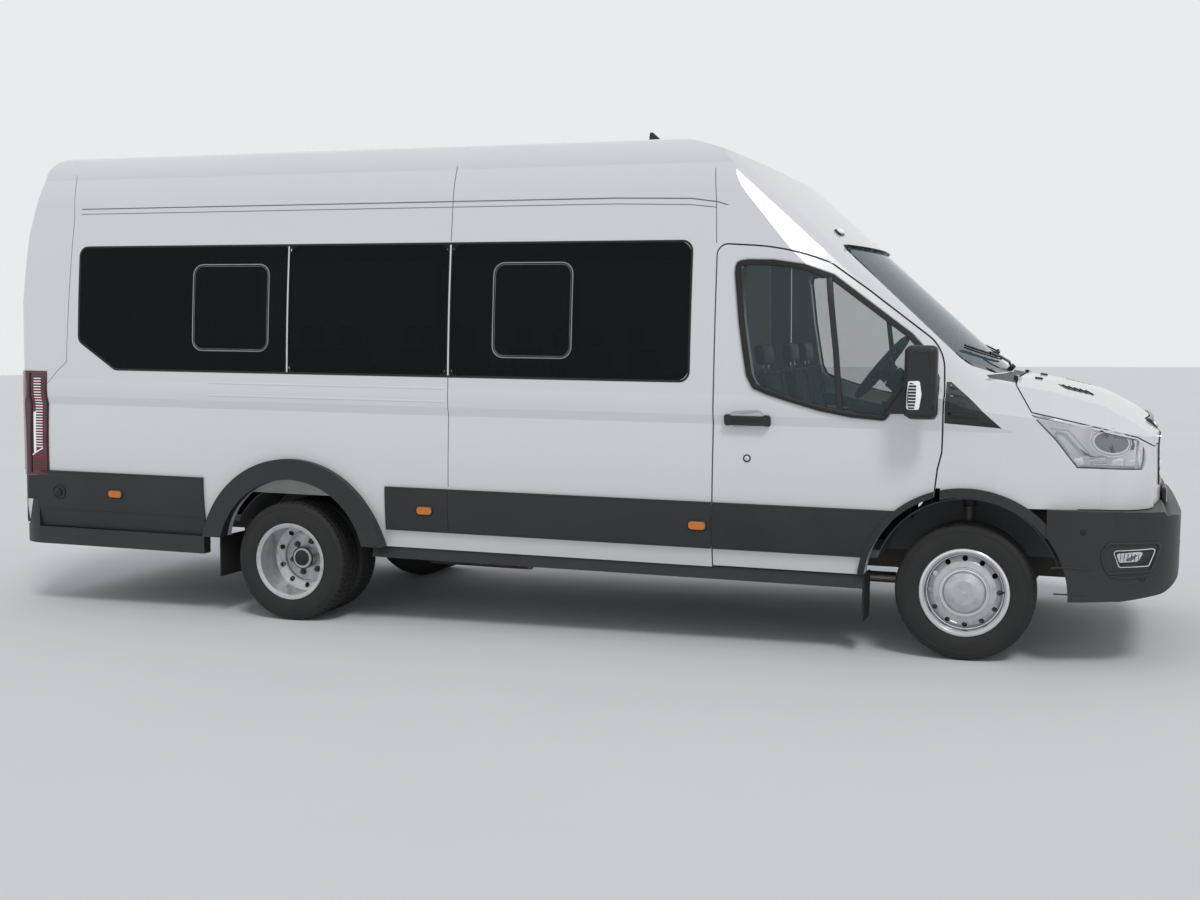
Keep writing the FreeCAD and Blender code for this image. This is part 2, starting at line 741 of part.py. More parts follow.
def cab_hinge_arms():
    """Arms with their pins that carry the right cab door, reaching round its inner edge."""
    x, y = S.cab_hinge_x, -CAB_HINGE_Y
    half = S.cab_hinge_depth / 2
    inner = -HALF + S.door_thickness + 30
    parts = []
    for height in (S.cab_hinge_low, S.cab_hinge_high):
        span = (height - half, height + half)
        parts.append(rod((x, y, span[0] - 22), (x, y, span[1] + 22), S.hinge_pin_radius))
        parts.append(block((x - 8, x + 8), (y - 4, inner + 26), span))
        parts.append(block((x - 8, S.door_front + 34), (inner, inner + 26), span))
        parts.append(block((S.door_front + 10, S.door_front + 34), (-HALF + 40, inner + 26), span))
    return parts


def wing_sail():
    """The wing's share of the black triangle ahead of the door window, let in flush."""
    front = S.door_front
    low = S.waist_crease - 89
    top = S.screen_foot_height - 29
    zone = prism("XZ", [(front + 2, top), (front + 24, top), (front + 273, low), (front + 2, low + 18)],
                 *RIGHT_BAND)
    return largest(OUTER.cut(body_form(14)).common(zone))


WING_SAIL = wing_sail()


def make_wings():
    """Front wings between the doors, the bonnet, the lamps and the bumper."""
    arch_part = block((S.door_rear + 100, 2840), (-FAR, -HALF + 300), (500, FAR))
    wing = WALL.common(arch_part).cut(DOOR_HOLE).cut(BONNET_ZONE).cut(LAMP_ZONE).cut(FRONT_ARCH)
    above = block((-FAR, FAR), (-FAR, FAR), (S.screen_foot_height - 28, FAR))
    behind = block((-FAR, S.screen_foot + 48), (-FAR, FAR), (S.screen_foot_height - 28, FAR))
    wing = wing.cut(behind)
    below = block((FRONT_HUB[0], FAR), (-FAR, FAR), (-FAR, S.nose_low - 4))
    wing = wing.cut(below).cut(COWL_ZONE).cut(WING_SAIL)
    wing = fused([largest(wing.cut(DOOR_SWEEP))] + cab_hinge_arms())
    solids = [largest(wing)]
    piece("front_wings", apart(solids + [mirrored(solid) for solid in solids]))


def make_front_panel():
    """Painted panel between the lamps, above the bumper."""
    zone = block((2840, FAR), (-FAR, FAR), (S.nose_low, FAR))
    panel = WALL.common(zone).cut(BONNET_ZONE).cut(LAMP_ZONE).cut(mirrored(LAMP_ZONE))
    panel = largest(panel.cut(GRILLE_HOLE))
    x, top = S.nose_front - 60, S.bonnet_lip_height - 107
    buffers = [rod((x, side * (S.grille_half + 40), top - 18),
                   (x, side * (S.grille_half + 40), top + BONNET_GAP - S.seat_fit), 10)
               for side in (-1, 1)]
    piece("front_panel", largest(fused([panel] + buffers)))


def make_grille():
    """Grille with bars across it, a closed back and a bare round place for a badge."""
    gap = S.shut_gap
    body = prism("YZ", grille_outline(), S.nose_front - 150, FAR, grow=-gap)
    seated = prism("YZ", grille_outline(), S.nose_front - 150, FAR, grow=-S.seat_fit)
    below_lid = block((0, FAR), (-FAR, FAR), (0, S.bonnet_lip_height - 113))
    shell = largest(WALL.common(body.fuse(seated.common(below_lid))))
    back = body_form(S.wall_thickness - 10)
    frame = prism("YZ", grille_outline(), S.nose_front - 150, FAR, grow=-gap - 26)
    pitch = (S.grille_high - S.grille_low - 52) / S.grille_bars
    slots = []
    for index in range(int(S.grille_bars)):
        low = S.grille_low + 26 + gap + index * pitch
        slots.append(block((S.nose_front - 150, FAR), (-HALF, HALF), (low, low + pitch - 18)))
    middle = (S.grille_low + S.grille_high) / 2 + 50
    badge = rod((S.nose_front - 150, 0, middle), (FAR, 0, middle), S.badge_radius)
    cuts = fused(slots).common(frame).cut(badge).cut(back)
    piece("front_grille", largest(shell.cut(cuts)))


def make_front_lamps():
    lens = OUTER.cut(body_form(70)).common(LAMP_ZONE)
    outer = [solid for solid in lens.Solids if solid.Volume > 1e5]
    piece("front_lamps", apart(outer + [mirrored(solid) for solid in outer]))


def make_front_bumper():
    """Bumper with its own plan and profile, arch ends, lower intake with bars, and a tray."""
    front = NOSE_TIP
    rear = FRONT_HUB[0] + 380
    half = HALF - 14
    right = [
        (rear, -half),
        (rear + 180, -half + 8, "arc"),
        (front - 330, -half + 46),
        (front - 120, -half + 130, "arc"),
        (front - 26, -half + 340),
    ]
    left = [(x, -y, *arc) for x, y, *arc in reversed(right)]
    outline = right + [(front, 0, "arc")] + left
    low, high = S.bumper_front_low, S.nose_low - 4
    side = [
        (rear, low),
        (front - 300, low + 14),
        (front - 110, low + 50),
        (front - 34, low + 110, "arc"),
        (front - 6, low + 200),
        (front + 4, high - 106),
        (front - 20, high - 36, "arc"),
        (front - 90, high - 22),
        (S.nose_front + 18, high),
        (rear, high),
    ]
    whole = prism("XY", outline, 0, high + 24).common(prism("XZ", side, -FAR, FAR))
    inner = prism("XY", outline, -10, high - 42, grow=-42)
    behind = block((0, FRONT_HUB[0] + 480), (-half + 48, half - 48), (-10, high + 24))
    panel_back = nose_form(S.wall_thickness)
    panel_back = panel_back.common(block((0, FAR), (-FAR, FAR), (high - 60, FAR)))
    shell = whole.cut(inner).cut(behind).cut(FRONT_ARCH).cut(panel_back)
    end, foot, top = S.intake_half, S.intake_low, S.intake_high
    intake = [(-end, foot), (-end, top), (end, top), (end, foot)]
    shell = largest(shell.cut(prism("YZ", rounded(intake, 40), front - 200, FAR)))
    tray_low = S.tray_low
    tray = [
        (front - 600, tray_low),
        (front - 330, tray_low + 20),
        (front - 110, low + 40),
        (front - 110, low + 54),
        (front - 330, tray_low + 32),
        (front - 600, tray_low + 12),
    ]
    tray = prism("XZ", tray, -end - 60, end + 60)
    bars = []
    for height in (foot + 34, foot + 74):
        bar = prism("XY", outline, height, height + 12)
        bar = bar.cut(prism("XY", outline, height, height + 12, grow=-30))
        bars.append(bar.common(block((0, FAR), (-end - 2, end + 2), (0, FAR))))
    socket = S.rail_offset
    clear = rod((front - 400, -socket, 480), (FAR, -socket, 480), 40)
    bumper = fused([shell, tray] + bars).cut(clear)
    piece("front_bumper", largest(bumper))


make_roof()
make_side_panels()
COWL_ZONE = make_screen_frame()
make_bonnet()
make_wings()
make_front_panel()
make_grille()
make_front_lamps()
make_front_bumper()


# Glass

def make_glass():
    screen = GLASS.common(SCREEN_HOLE).common(block((0, FAR), (-FAR, FAR), (1000, FAR)))
    piece("windscreen", max(screen.Solids, key=lambda solid: solid.Volume))
    panes = [GLASS.common(hole) for hole in (FRONT_WINDOW, MIDDLE_WINDOW, REAR_WINDOW)]
    piece("side_glass", apart(panes + [mirrored(pane) for pane in panes]))


make_glass()


# Cab doors

def make_cab_doors():
    """Door shell, glass and black trim with mirror, sail, handle and mouldings, on both sides."""
    shell = DOOR_WALL.common(DOOR_ZONE).cut(CAB_WINDOW)
    for height in (S.cab_hinge_low, S.cab_hinge_high):
        notch = S.cab_hinge_depth / 2 + 5
        shell = shell.cut(block((S.cab_hinge_x - 17, S.door_front + 5),
                                (-CAB_HINGE_Y - 10, 0), (height - notch, height + notch)))
        shell = shell.cut(rod((S.cab_hinge_x, -CAB_HINGE_Y, height - notch - 19),
                              (S.cab_hinge_x, -CAB_HINGE_Y, height + notch + 19),
                              S.hinge_pin_radius + S.seat_fit))
    shell = largest(shell)
    pane = GLASS.common(CAB_WINDOW)
    trim = door_trim(shell)
    for side, turn in (("right", lambda shape: shape), ("left", mirrored)):
        piece(side + "_cab_door", turn(shell))
        piece(side + "_door_glass", turn(pane))
        piece(side + "_door_trim", turn(trim))


def skin_strip(outline, proud, depth=0.0):
    """A moulding that follows the side skin inside an outline, standing proud of it."""
    zone = prism("XZ", outline, -FAR, -SIDE_BAND)
    grown = OUTER.copy()
    grown.translate(Vector(0, -proud, 0))
    return grown.cut(OUTER).common(zone).common(RIGHT)


def door_trim(shell):
    """Mirror with its sail and arm, handle, and the door's share of the side moulding and arch."""
    gap = S.shut_gap
    rear = S.door_rear
    sail = [(rear + 880, 1258), (rear + 1080, 1545), (S.door_front - 30, 1440),
            (S.door_front - 30, 1262)]
    parts = [skin_strip(sail, 12)]
    band = [(rear + gap, S.cladding_low), (rear + gap, S.cladding_high),
            (S.door_front - gap, S.cladding_high), (S.door_front - gap, S.cladding_low)]
    moulding = skin_strip(band, S.cladding_proud).cut(FRONT_ARCH)
    arch = arch_band(FRONT_HUB, S.front_arch_radius - 8, S.front_arch_band, S.cladding_proud + 8)
    share = prism("XZ", cab_door_outline(), -FAR, -SIDE_BAND, grow=-gap)
    parts.append(moulding.common(share))
    parts.append(arch.common(share))
    span = S.mirror_span / 2
    face = side_at(1420)
    housing = [(-span, 1600), (-span + 4, 1400, "arc"), (-span + 14, 1250),
               (-face - 62, 1236), (-face - 74, 1420, "arc"), (-face - 66, 1596)]
    mirror = prism("YZ", housing, S.mirror_rear, S.mirror_front)
    mirror = mirror.makeFillet(30, mirror.Edges)
    slope = [(S.cab_hinge_x - 8, -HALF - 30), (S.mirror_front + 4, -HALF - 148),
             (S.mirror_front + 4, -HALF - 30)]
    parts.append(mirror.cut(prism("XY", slope, 0, FAR)))
    for height in (1300, 1400):
        parts.append(rod((rear + 1040, -face + 2, height), (rear + 1040, -face - 90, height + 10), 14))
    handle = prism("XZ", rounded([(rear + 70, 1180), (rear + 70, 1228), (rear + 300, 1228),
                                  (rear + 300, 1180)], 20), -side_at(1200) - 34, -side_at(1200) - 14)
    parts.append(handle)
    for at in (rear + 96, rear + 262):
        parts.append(block((at, at + 20), (-side_at(1200) - 16, -side_at(1200) + 6), (1190, 1220)))
    outside = [part.cut(OUTER) for part in parts]
    return apart([solid for part in fused(outside).Solids for solid in [part] if part.Volume > 500])


def arch_band(hub, radius, width, proud, flare=None):
    """Wheel arch moulding: a ring round the arch, standing proud of the side."""
    reach = HALF + 200
    ring = rod((hub[0], -reach, hub[1]), (hub[0], -SIDE_BAND, hub[1]), radius + width)
    ring = ring.cut(rod((hub[0], -reach, hub[1]), (hub[0], -SIDE_BAND, hub[1]), radius))
    grown = OUTER.copy()
    grown.translate(Vector(0, -proud, 0))
    if flare:
        outer = block((-FAR, FAR), (-flare, -SIDE_BAND), (S.sill_height, FAR))
        return ring.common(outer).cut(OUTER)
    above = block((-FAR, FAR), (-FAR, FAR), (S.sill_height, FAR))
    return ring.common(grown).cut(OUTER).common(above)


make_cab_doors()


# Mouldings and lamps on the body

LAMP_CORNER = block((-FAR, S.rear_face + 200.3), (-FAR, FAR), (744.7, 1378.3))


def make_cladding():
    """Side mouldings and arch mouldings that stay with the body."""
    gap = S.shut_gap / 2
    # Columns: rear end, front end and lower edge of each run of moulding.
    runs = [
        (S.rear_face + 121, REAR_ARCH_X - S.rear_arch_radius - S.rear_arch_band, S.sill_height),
        (REAR_ARCH_X + S.rear_arch_radius + S.rear_arch_band, S.panel_seam - 1, S.cladding_low),
        (S.panel_seam + 1, S.door_rear - 1, S.cladding_low),
    ]
    rear_arch = arch_band((REAR_ARCH_X, REAR_HUB[1]), S.rear_arch_radius - 12, S.rear_arch_band + 12,
                          0, S.rear_arch_flare)
    big_ring = rod((REAR_ARCH_X, -FAR, REAR_HUB[1]), (REAR_ARCH_X, FAR, REAR_HUB[1]),
                   S.rear_arch_radius + S.rear_arch_band + 1)
    parts = []
    for rear, front, low in runs:
        band = [(rear, low), (rear, S.cladding_high), (front, S.cladding_high), (front, low)]
        parts.append(skin_strip(band, S.cladding_proud).cut(big_ring).cut(LAMP_CORNER))
    parts.append(rear_arch)
    front_arch = arch_band(FRONT_HUB, S.front_arch_radius - 8, S.front_arch_band,
                           S.cladding_proud + 8).cut(DOOR_HOLE).cut(DOOR_SWEEP)
    ahead = block((-FAR, FRONT_HUB[0] + 380), (-FAR, FAR), (-FAR, FAR))
    parts.append(front_arch.common(ahead))
    parts.append(WING_SAIL)
    solids = [solid for part in parts for solid in part.Solids if solid.Volume > 500]
    piece("side_mouldings", apart(solids + [mirrored(solid) for solid in solids]))


def make_sills():
    """Dark sills under the doors and sides."""
    parts = []
    front_end = FRONT_HUB[0] - S.front_arch_radius - 10
    rear_end = REAR_ARCH_X + S.rear_arch_radius + 4
    top = S.sill_height - S.seat_fit
    outline = [(-HALF + 60, top), (-HALF + 40, top - 64), (-HALF + 150, top - 74),
               (-HALF + 150, top)]
    parts.append(prism("YZ", outline, rear_end, front_end))
    parts.append(mirrored(parts[0]))
    piece("sills", apart(parts))


def make_tail_lamps():
    """Tall lamps set into the rear corners."""
    zone = block((-FAR, S.rear_face + 200), (-FAR, -S.rear_door_half - 32), (745, 1378))
    grown = OUTER.copy()
    grown.translate(Vector(-7, -5, 0))
    lamp = grown.cut(OUTER).common(zone)
    solids = [max(lamp.Solids, key=lambda solid: solid.Volume)]
    piece("tail_lamps", apart(solids + [mirrored(solid) for solid in solids]))


def make_marker_lamps():
    """Amber side markers in the mouldings and small lamps on the front of the roof."""
    parts = []
    for x in (S.rear_face + 680, S.panel_seam - 138, S.door_rear - 70):
        low = prism("XZ", rounded([(x - 47, 632), (x - 47, 677), (x + 47, 677), (x + 47, 632)], 20),
                    -side_at(655) - S.cladding_proud - 9, -side_at(655) - S.cladding_proud + 2)
        parts.append(low)
    parts += [mirrored(part) for part in parts]
    mouldings = [item for item in PIECES if item.Label == "side_mouldings"][0].Shape
    raked_back = mouldings.copy()
    raked_back.Placement = LEVEL
    parts = [part.cut(raked_back) for part in parts]
    piece("marker_lamps", apart(parts))


make_cladding()
make_sills()
make_tail_lamps()
make_marker_lamps()


# Rear doors and rear bumper

def make_rear_doors():
    """Two leaves with their windows cut, and black hinges on the outer edges."""
    gap = S.shut_gap
    leaf_zone = rear_opening(-gap)
    leaf = WALL.common(leaf_zone).common(block((-FAR, FAR), (-FAR, -gap / 2), (-FAR, FAR)))
    leaf = largest(fused([largest(leaf)] + rear_hinges("door")))
    for height in (S.rear_door_low + 130, S.waist_crease + 30, S.window_high - 130):
        leaf = leaf.cut(rod((S.rear_hinge_x, -S.rear_door_half, height),
                            (S.rear_hinge_x, -S.rear_door_half, height + S.rear_hinge_length),
                            S.hinge_pin_radius - 2 + S.seat_fit))
    half = S.rear_door_half
    window = prism("YZ", rounded([(-half + 90, 1360), (-half + 110, 2080), (-60, 2080), (-60, 1360)],
                                 60), -FAR, 0)
    pane = GLASS.common(window).common(block((-FAR, S.rear_face + 300), (-FAR, 0), (0, FAR)))
    leaf = leaf.cut(window)
    for side, turn in (("right", lambda shape: shape), ("left", mirrored)):
        piece("rear_door_" + side, turn(leaf))
        piece("rear_glass_" + side, turn(pane))


def make_rear_bumper():
    """Wrap-round rear bumper with a step between its corners."""
    rear = TAIL_TIP
    low, high = S.rear_bumper_low, S.rear_bumper_high
    half = HALF - 5
    front_end = REAR_ARCH_X - S.rear_arch_radius - S.rear_arch_band
    corners = [(rear, -half), (front_end + 400, -half), (front_end + 400, half), (rear, half)]
    plan = prism("XY", rounded(corners, 210), low, high)
    plan = plan.common(block((rear - 1, front_end), (-FAR, FAR), (low, high)))
    inner = block((rear + 240, FAR), (-HALF + 70, HALF - 70), (0, FAR))
    shell = plan.cut(inner)
    side_low = block((S.rear_face + 120, FAR), (-FAR, FAR), (S.sill_height - 4, FAR))
    shell = shell.cut(side_low).cut(OUTER.common(block((-FAR, FAR), (-FAR, FAR), (S.sill_height - 4, FAR))))
    shell = max(shell.Solids, key=lambda solid: solid.Volume)
    piece("rear_bumper", shell)


make_rear_doors()
make_rear_bumper()


# Floor, chassis and running gear that stays with the body

FRONT_WELL = S.front_arch_radius - 30
REAR_WELL = S.rear_arch_radius - 44


def wheel_well(hub, radius, inner, outer, low):
    """Half-round wheel housing with its inner wall."""
    shell = rod((hub[0], inner, hub[1]), (hub[0], outer, hub[1]), radius)
    side = 1 if outer > inner else -1
    hollow = rod((hub[0], inner + side * 4, hub[1]), (hub[0], outer + side, hub[1]), radius - 4)
    above = block((-FAR, FAR), (-FAR, FAR), (low, FAR))
    return shell.cut(hollow).common(above)


def make_floor():
    """Floor pan with rear wheel housings and the bulkhead behind the engine."""
    top, thick = S.floor_top, S.floor_thickness
    inner_half = side_at(top - thick) - S.wall_thickness - 1
    cab_half = HALF - S.door_thickness - 40
    rear_end = S.rear_face + S.wall_thickness + 26
    bulkhead = FRONT_HUB[0] - 30
    main = block((rear_end, S.door_rear - 10), (-inner_half, inner_half), (top - thick, top))
    cab = block((S.door_rear - 11, bulkhead), (-cab_half, cab_half), (top - thick, top))
    wall = block((bulkhead - 20, bulkhead), (-cab_half, cab_half), (top - thick, S.waist_crease))
    floor = fused([main, cab, wall])
    for side in (-1, 1):
        rear_cut = rod((REAR_HUB[0], side * 575, REAR_HUB[1]), (REAR_HUB[0], side * FAR, REAR_HUB[1]),
                       REAR_WELL)
        front_cut = rod((FRONT_HUB[0], side * 555, FRONT_HUB[1]),
                        (FRONT_HUB[0], side * FAR, FRONT_HUB[1]), FRONT_WELL)
        floor = floor.cut(rear_cut).cut(front_cut)
        rear_well = wheel_well(REAR_HUB, REAR_WELL + 4, side * 571, side * inner_half, top - thick)
        front_well = wheel_well(FRONT_HUB, FRONT_WELL + 4, side * 551, side * cab_half, top - thick)
        floor = floor.fuse(rear_well).fuse(front_well)
    floor = max(floor.removeSplitter().Solids, key=lambda solid: solid.Volume)
    piece("floor", floor)


def make_underframe():
    """Two rails, cross-members and the bumper beam with the towing eye socket."""
    rail, half = S.rail_offset, S.rail_width / 2
    high = S.floor_top - S.floor_thickness
    low = high - S.rail_depth
    rear_end = TAIL_TIP + 240 + S.seat_fit
    nose_end = S.nose_front - 150
    parts = []
    for side in (-1, 1):
        y = sorted((side * (rail - half), side * (rail + half)))
        parts.append(block((rear_end, nose_end), y, (low, high)))
    for x in (rear_end + 20, REAR_HUB[0] - 560, REAR_HUB[0] + 560, 0, 1200, FRONT_HUB[0] - 520):
        parts.append(block((x, x + 60), (-rail, rail), (low + 20, high - 6)))
    beam = block((nose_end, nose_end + 60), (-680, 680), (low, high + 20))
    parts.append(beam)
    frame = fused(parts)
    for side in (-1, 1):
        frame = frame.cut(rod((rear_end + 140, side * (rail - half - 1), low + 50),
                              (rear_end + 140, side * (rail + half + 1), low + 50),
                              S.tow_bolt_radius))
    boss = rod((nose_end + 60, -rail, high - 40), (nose_end + 60 + 20, -rail, high - 40), 24)
    frame = frame.fuse(boss).removeSplitter()
    mouth = nose_end + 80
    frame = frame.cut(rod((mouth - S.tow_eye_depth, -rail, high - 40), (mouth + 1, -rail, high - 40),
                          S.tow_eye_radius))
    piece("underframe", frame)


def make_engine():
    """Plain block at the engine's size and place, resting between the rails."""
    half = S.rail_offset - S.rail_width / 2 - S.seat_fit
    low = S.floor_top - S.floor_thickness - S.rail_depth
    piece("engine", block((FRONT_HUB[0] + 180, FRONT_HUB[0] + 650), (-half, half), (low + 20, 1040)))


def make_fuel_tank():
    low, high = 250, S.floor_top - S.floor_thickness - S.seat_fit
    tank = doc.addObject("Part::Box", "FuelTankBlock")
    tank.setExpression("Height", "Sizes.floor_top - Sizes.floor_thickness - 250 - Sizes.seat_fit")
    tank.setExpression("Width", "380")
    tank.setExpression("Length", "820")
    rounded_tank = doc.addObject("Part::Fillet", "FuelTank")
    rounded_tank.Base = tank
    doc.recompute()
    long_edges = []
    for index, edge in enumerate(tank.Shape.Edges, start=1):
        if abs(edge.tangentAt(edge.FirstParameter).x) > 0.99:
            long_edges.append((index, 40.0, 40.0))
    rounded_tank.Edges = long_edges
    rounded_tank.Label = "fuel_tank"
    base = RAKED.multVec(Vector(180, S.rail_offset + S.rail_width / 2 + 1, low))
    rounded_tank.Placement = Placement(base, RAKED.Rotation)
    PIECES.append(rounded_tank)


def make_exhaust():
    """Pipe and silencer along the right of the underbody."""
    y, z = -250, 315
    silencer = rod((-900, y, z), (-250, y, z), 90)
    pipe = rod((-250, y, z), (1900, y, z), 30)
    tail = rod((-1250, y, z + 20), (-900, y, z + 20), 28)
    member_low = S.floor_top - S.floor_thickness - S.rail_depth + 20
    hangers = [rod((x, y, z), (x, y, member_low - S.seat_fit), 7)
               for x in (REAR_HUB[0] + 590, 30, 1230)]
    piece("exhaust", fused([silencer, pipe, tail] + hangers))


make_floor()
make_underframe()
make_engine()
make_fuel_tank()
make_exhaust()


# Wheels

def revolve_body(label, half_profile, placement, holes=None):
    """A turned piece as a sketched revolution about Y, with an optional ring of round holes."""
    body = doc.addObject("PartDesign::Body", "Body_" + label)
    body.Label = label
    sketch = body.newObject("Sketcher::SketchObject", "Profile_" + label)
    plane = [item for item in body.Origin.OriginFeatures if item.Role == "XY_Plane"][0]
    sketch.AttachmentSupport = [(plane, "")]
    sketch.MapMode = "FlatFace"
    corners = half_profile + [half_profile[0]]
    edges = []
    start = None
    through = None
    for corner in corners:
        spot = Vector(corner[0], corner[1], 0)
        if len(corner) == 3:
            through = spot
            continue
        if start is not None and through is not None:
            edges.append(Part.Arc(start, through, spot))
        elif start is not None:
            edges.append(Part.LineSegment(start, spot))
        start = spot
        through = None
    sketch.addGeometry(edges, False)
    turn = body.newObject("PartDesign::Revolution", "Turn_" + label)
    turn.Profile = sketch
    turn.ReferenceAxis = (sketch, ["V_Axis"])
    turn.Angle = 360
    doc.recompute()
    if holes:
        ring, radius, count, low, high = holes
        spot = body.newObject("Sketcher::SketchObject", "Hole_" + label)
        side_plane = [item for item in body.Origin.OriginFeatures if item.Role == "XZ_Plane"][0]
        spot.AttachmentSupport = [(side_plane, "")]
        spot.MapMode = "FlatFace"
        spot.addGeometry(Part.Circle(Vector(0, ring, 0), Vector(0, 0, 1), radius), False)
        pocket = body.newObject("PartDesign::Pocket", "Pocket_" + label)
        pocket.Profile = spot
        pocket.Type = "ThroughAll"
        pocket.SideType = "Symmetric"
        doc.recompute()
        pattern = body.newObject("PartDesign::PolarPattern", "Ring_" + label)
        pattern.Originals = [pocket]
        pattern.Axis = (spot, ["N_Axis"])
        pattern.Angle = 360
        pattern.Occurrences = count
        body.Tip = pattern
        doc.recompute()
    body.Placement = placement
    PIECES.append(body)
    return body


def tyre_profile(middle=0.0):
    """Half section of a tyre: radius from the axis, and distance along it."""
    out, width, bead = S.tyre_radius, S.tyre_width / 2, S.rim_radius + S.seat_fit
    return [
        (bead, middle - width + 20),
        (bead + 40, middle - width + 4, "arc"),
        (bead + 78, middle - width),
        (out - 22, middle - width + 6, "arc"),
        (out - 4, middle - width + 30),
        (out, middle, "arc"),
        (out - 4, middle + width - 30),
        (out - 22, middle + width - 6, "arc"),
        (bead + 78, middle + width),
        (bead + 40, middle + width - 4, "arc"),
        (bead, middle + width - 20),
    ]


def make_front_wheels():
    bead, width = S.rim_radius, S.tyre_width / 2
    bore = S.stub_radius + S.stub_clearance
    rim = [
        (bore, -62),
        (72, -62),
        (72, 46),
        (118, 62),
        (150, 52),
        (bead - 8, 24),
        (bead - 8, -width + 10),
        (bead + 16, -width + 3),
        (bead + 16, -width + 8),
        (bead, -width + 14),
        (bead, width - 14),
        (bead + 16, width - 8),
        (bead + 16, width - 3),
        (bead - 8, width - 10),
        (bead - 8, 34),
        (152, 62),
        (118, 72),
        (103, 74),
        (96, 92),
        (60, 108),
        (0, 112),
        (0, -20),
        (bore, -20),
    ]
    for side, spin in (("right", 180), ("left", 0)):
        sign = -1 if side == "right" else 1
        spot = Vector(FRONT_AXLE, sign * S.front_wheel_offset, S.tyre_radius)
        place = Placement(spot, Rotation(Vector(0, 0, 1), spin))
        holes = (166, 13.5, 12, 0, 0)
        revolve_body(side + "_front_rim", rim, place, holes)
        revolve_body(side + "_front_tyre", tyre_profile(), place)


def make_rear_wheels():
    """Twin wheels: deep dish outside, its mirror inside, bolted together at their discs."""
    bead, width = S.rim_radius, S.tyre_width / 2
    bore = S.stub_radius + S.stub_clearance
    outer, inner = S.rear_outer_offset, S.rear_inner_offset
    joint = (outer + inner) / 2
    near, far = inner - joint, outer - joint
    rim = [
        (bore, -60),
        (66, -60),
        (66, -10),
        (140, -10),
        (bead - 8, -34),
        (bead - 8, near - width + 10),
        (bead + 16, near - width + 3),
        (bead + 16, near - width + 8),
        (bead, near - width + 14),
        (bead, near + width - 14),
        (bead + 16, near + width - 8),
        (bead + 16, near + width - 3),
        (bead - 8, near + width - 9),
        (bead - 8, -26),
        (140, -1),
        (140, 1),
        (bead - 8, 26),
        (bead - 8, far - width + 9),
        (bead + 16, far - width + 3),
        (bead + 16, far - width + 8),
        (bead, far - width + 14),
        (bead, far + width - 14),
        (bead + 16, far + width - 8),
        (bead + 16, far + width - 3),
        (bead - 8, far + width - 10),
        (bead - 8, 34),
        (140, 10),
        (66, 10),
        (66, 62),
        (56, 74),
        (0, 76),
        (0, 20),
        (bore, 20),
    ]
    for side, spin in (("right", 180), ("left", 0)):
        sign = -1 if side == "right" else 1
        spot = Vector(REAR_AXLE, sign * joint, S.tyre_radius)
        place = Placement(spot, Rotation(Vector(0, 0, 1), spin))
        revolve_body(side + "_rear_rims", rim, place, (166, 15, 10, 0, 0))
        tyres = []
        for middle in (near, far):
            wire = loop("XY", tyre_profile(middle), 0)
            tyre = Part.Face(wire).revolve(Vector(0, 0, 0), Vector(0, 1, 0), 360)
            tyres.append(tyre)
        piece(side + "_rear_tyres", apart(tyres), place)


make_front_wheels()
make_rear_wheels()


# Axle, knuckles and front suspension

def make_rear_axle():
    """Dead rear axle beam with its stubs and leaf springs up to the rails."""
    joint = (S.rear_outer_offset + S.rear_inner_offset) / 2
    z = S.tyre_radius
    reach = S.rear_inner_offset - S.tyre_width / 2 - 40
    beam = rod((REAR_AXLE, -reach, z), (REAR_AXLE, reach, z), 46)
    stub = rod((REAR_AXLE, -joint - 16, z), (REAR_AXLE, joint + 16, z), S.stub_radius)
    drums = [rod((REAR_AXLE, side * reach, z), (REAR_AXLE, side * (reach + 20), z), 150)
             for side in (-1, 1)]
    parts = [beam, stub] + drums
    rail_low = S.floor_top - S.floor_thickness - S.rail_depth
    for side in (-1, 1):
        y = side * S.rail_offset
        for length, low in ((1300, 46), (840, 33)):
            parts.append(block((REAR_AXLE - length / 2, REAR_AXLE + length / 2),
                               (y - 30, y + 30), (z + low, z + low + 14)))
        for end in (-1, 1):
            x = REAR_AXLE + end * 630
            under = min(ground_height(x - 18, rail_low), ground_height(x + 18, rail_low))
            parts.append(block((x - 18, x + 18), (y - 26, y + 26), (z + 50, under - S.seat_fit)))
    piece("rear_axle", fused(parts), LEVEL)


def kingpin(side):
    low = Vector(FRONT_AXLE, side * S.kingpin_low_offset, S.kingpin_low_height)
    high = Vector(FRONT_AXLE, side * S.kingpin_high_offset, S.kingpin_high_height)
    return low, high


def make_knuckles():
    """Steering knuckles: stub, upright, strut tube on the kingpin line."""
    for name, side in (("right", -1), ("left", 1)):
        low, high = kingpin(side)
        along = (high - low).normalize()
        centre = low + along * ((S.tyre_radius - low.z) / along.z)
        stub = rod((FRONT_AXLE, centre.y, S.tyre_radius),
                   (FRONT_AXLE, side * (S.front_wheel_offset - 22), S.tyre_radius), S.stub_radius)
        upright = rod(tuple(low), tuple(low + along * 300), 24)
        strut = rod(tuple(low + along * 290), tuple(high), 26)
        pin = rod(tuple(high - along * 2), tuple(high + along * 30), 10)
        ball = rod(tuple(low - along * 30), tuple(low + along * 4), 12)
        disc = rod((FRONT_AXLE, centre.y - side * 20, S.tyre_radius),
                   (FRONT_AXLE, centre.y + side * 26, S.tyre_radius), 70)
        piece(name + "_knuckle", fused([stub, upright, strut, pin, ball, disc]), LEVEL)


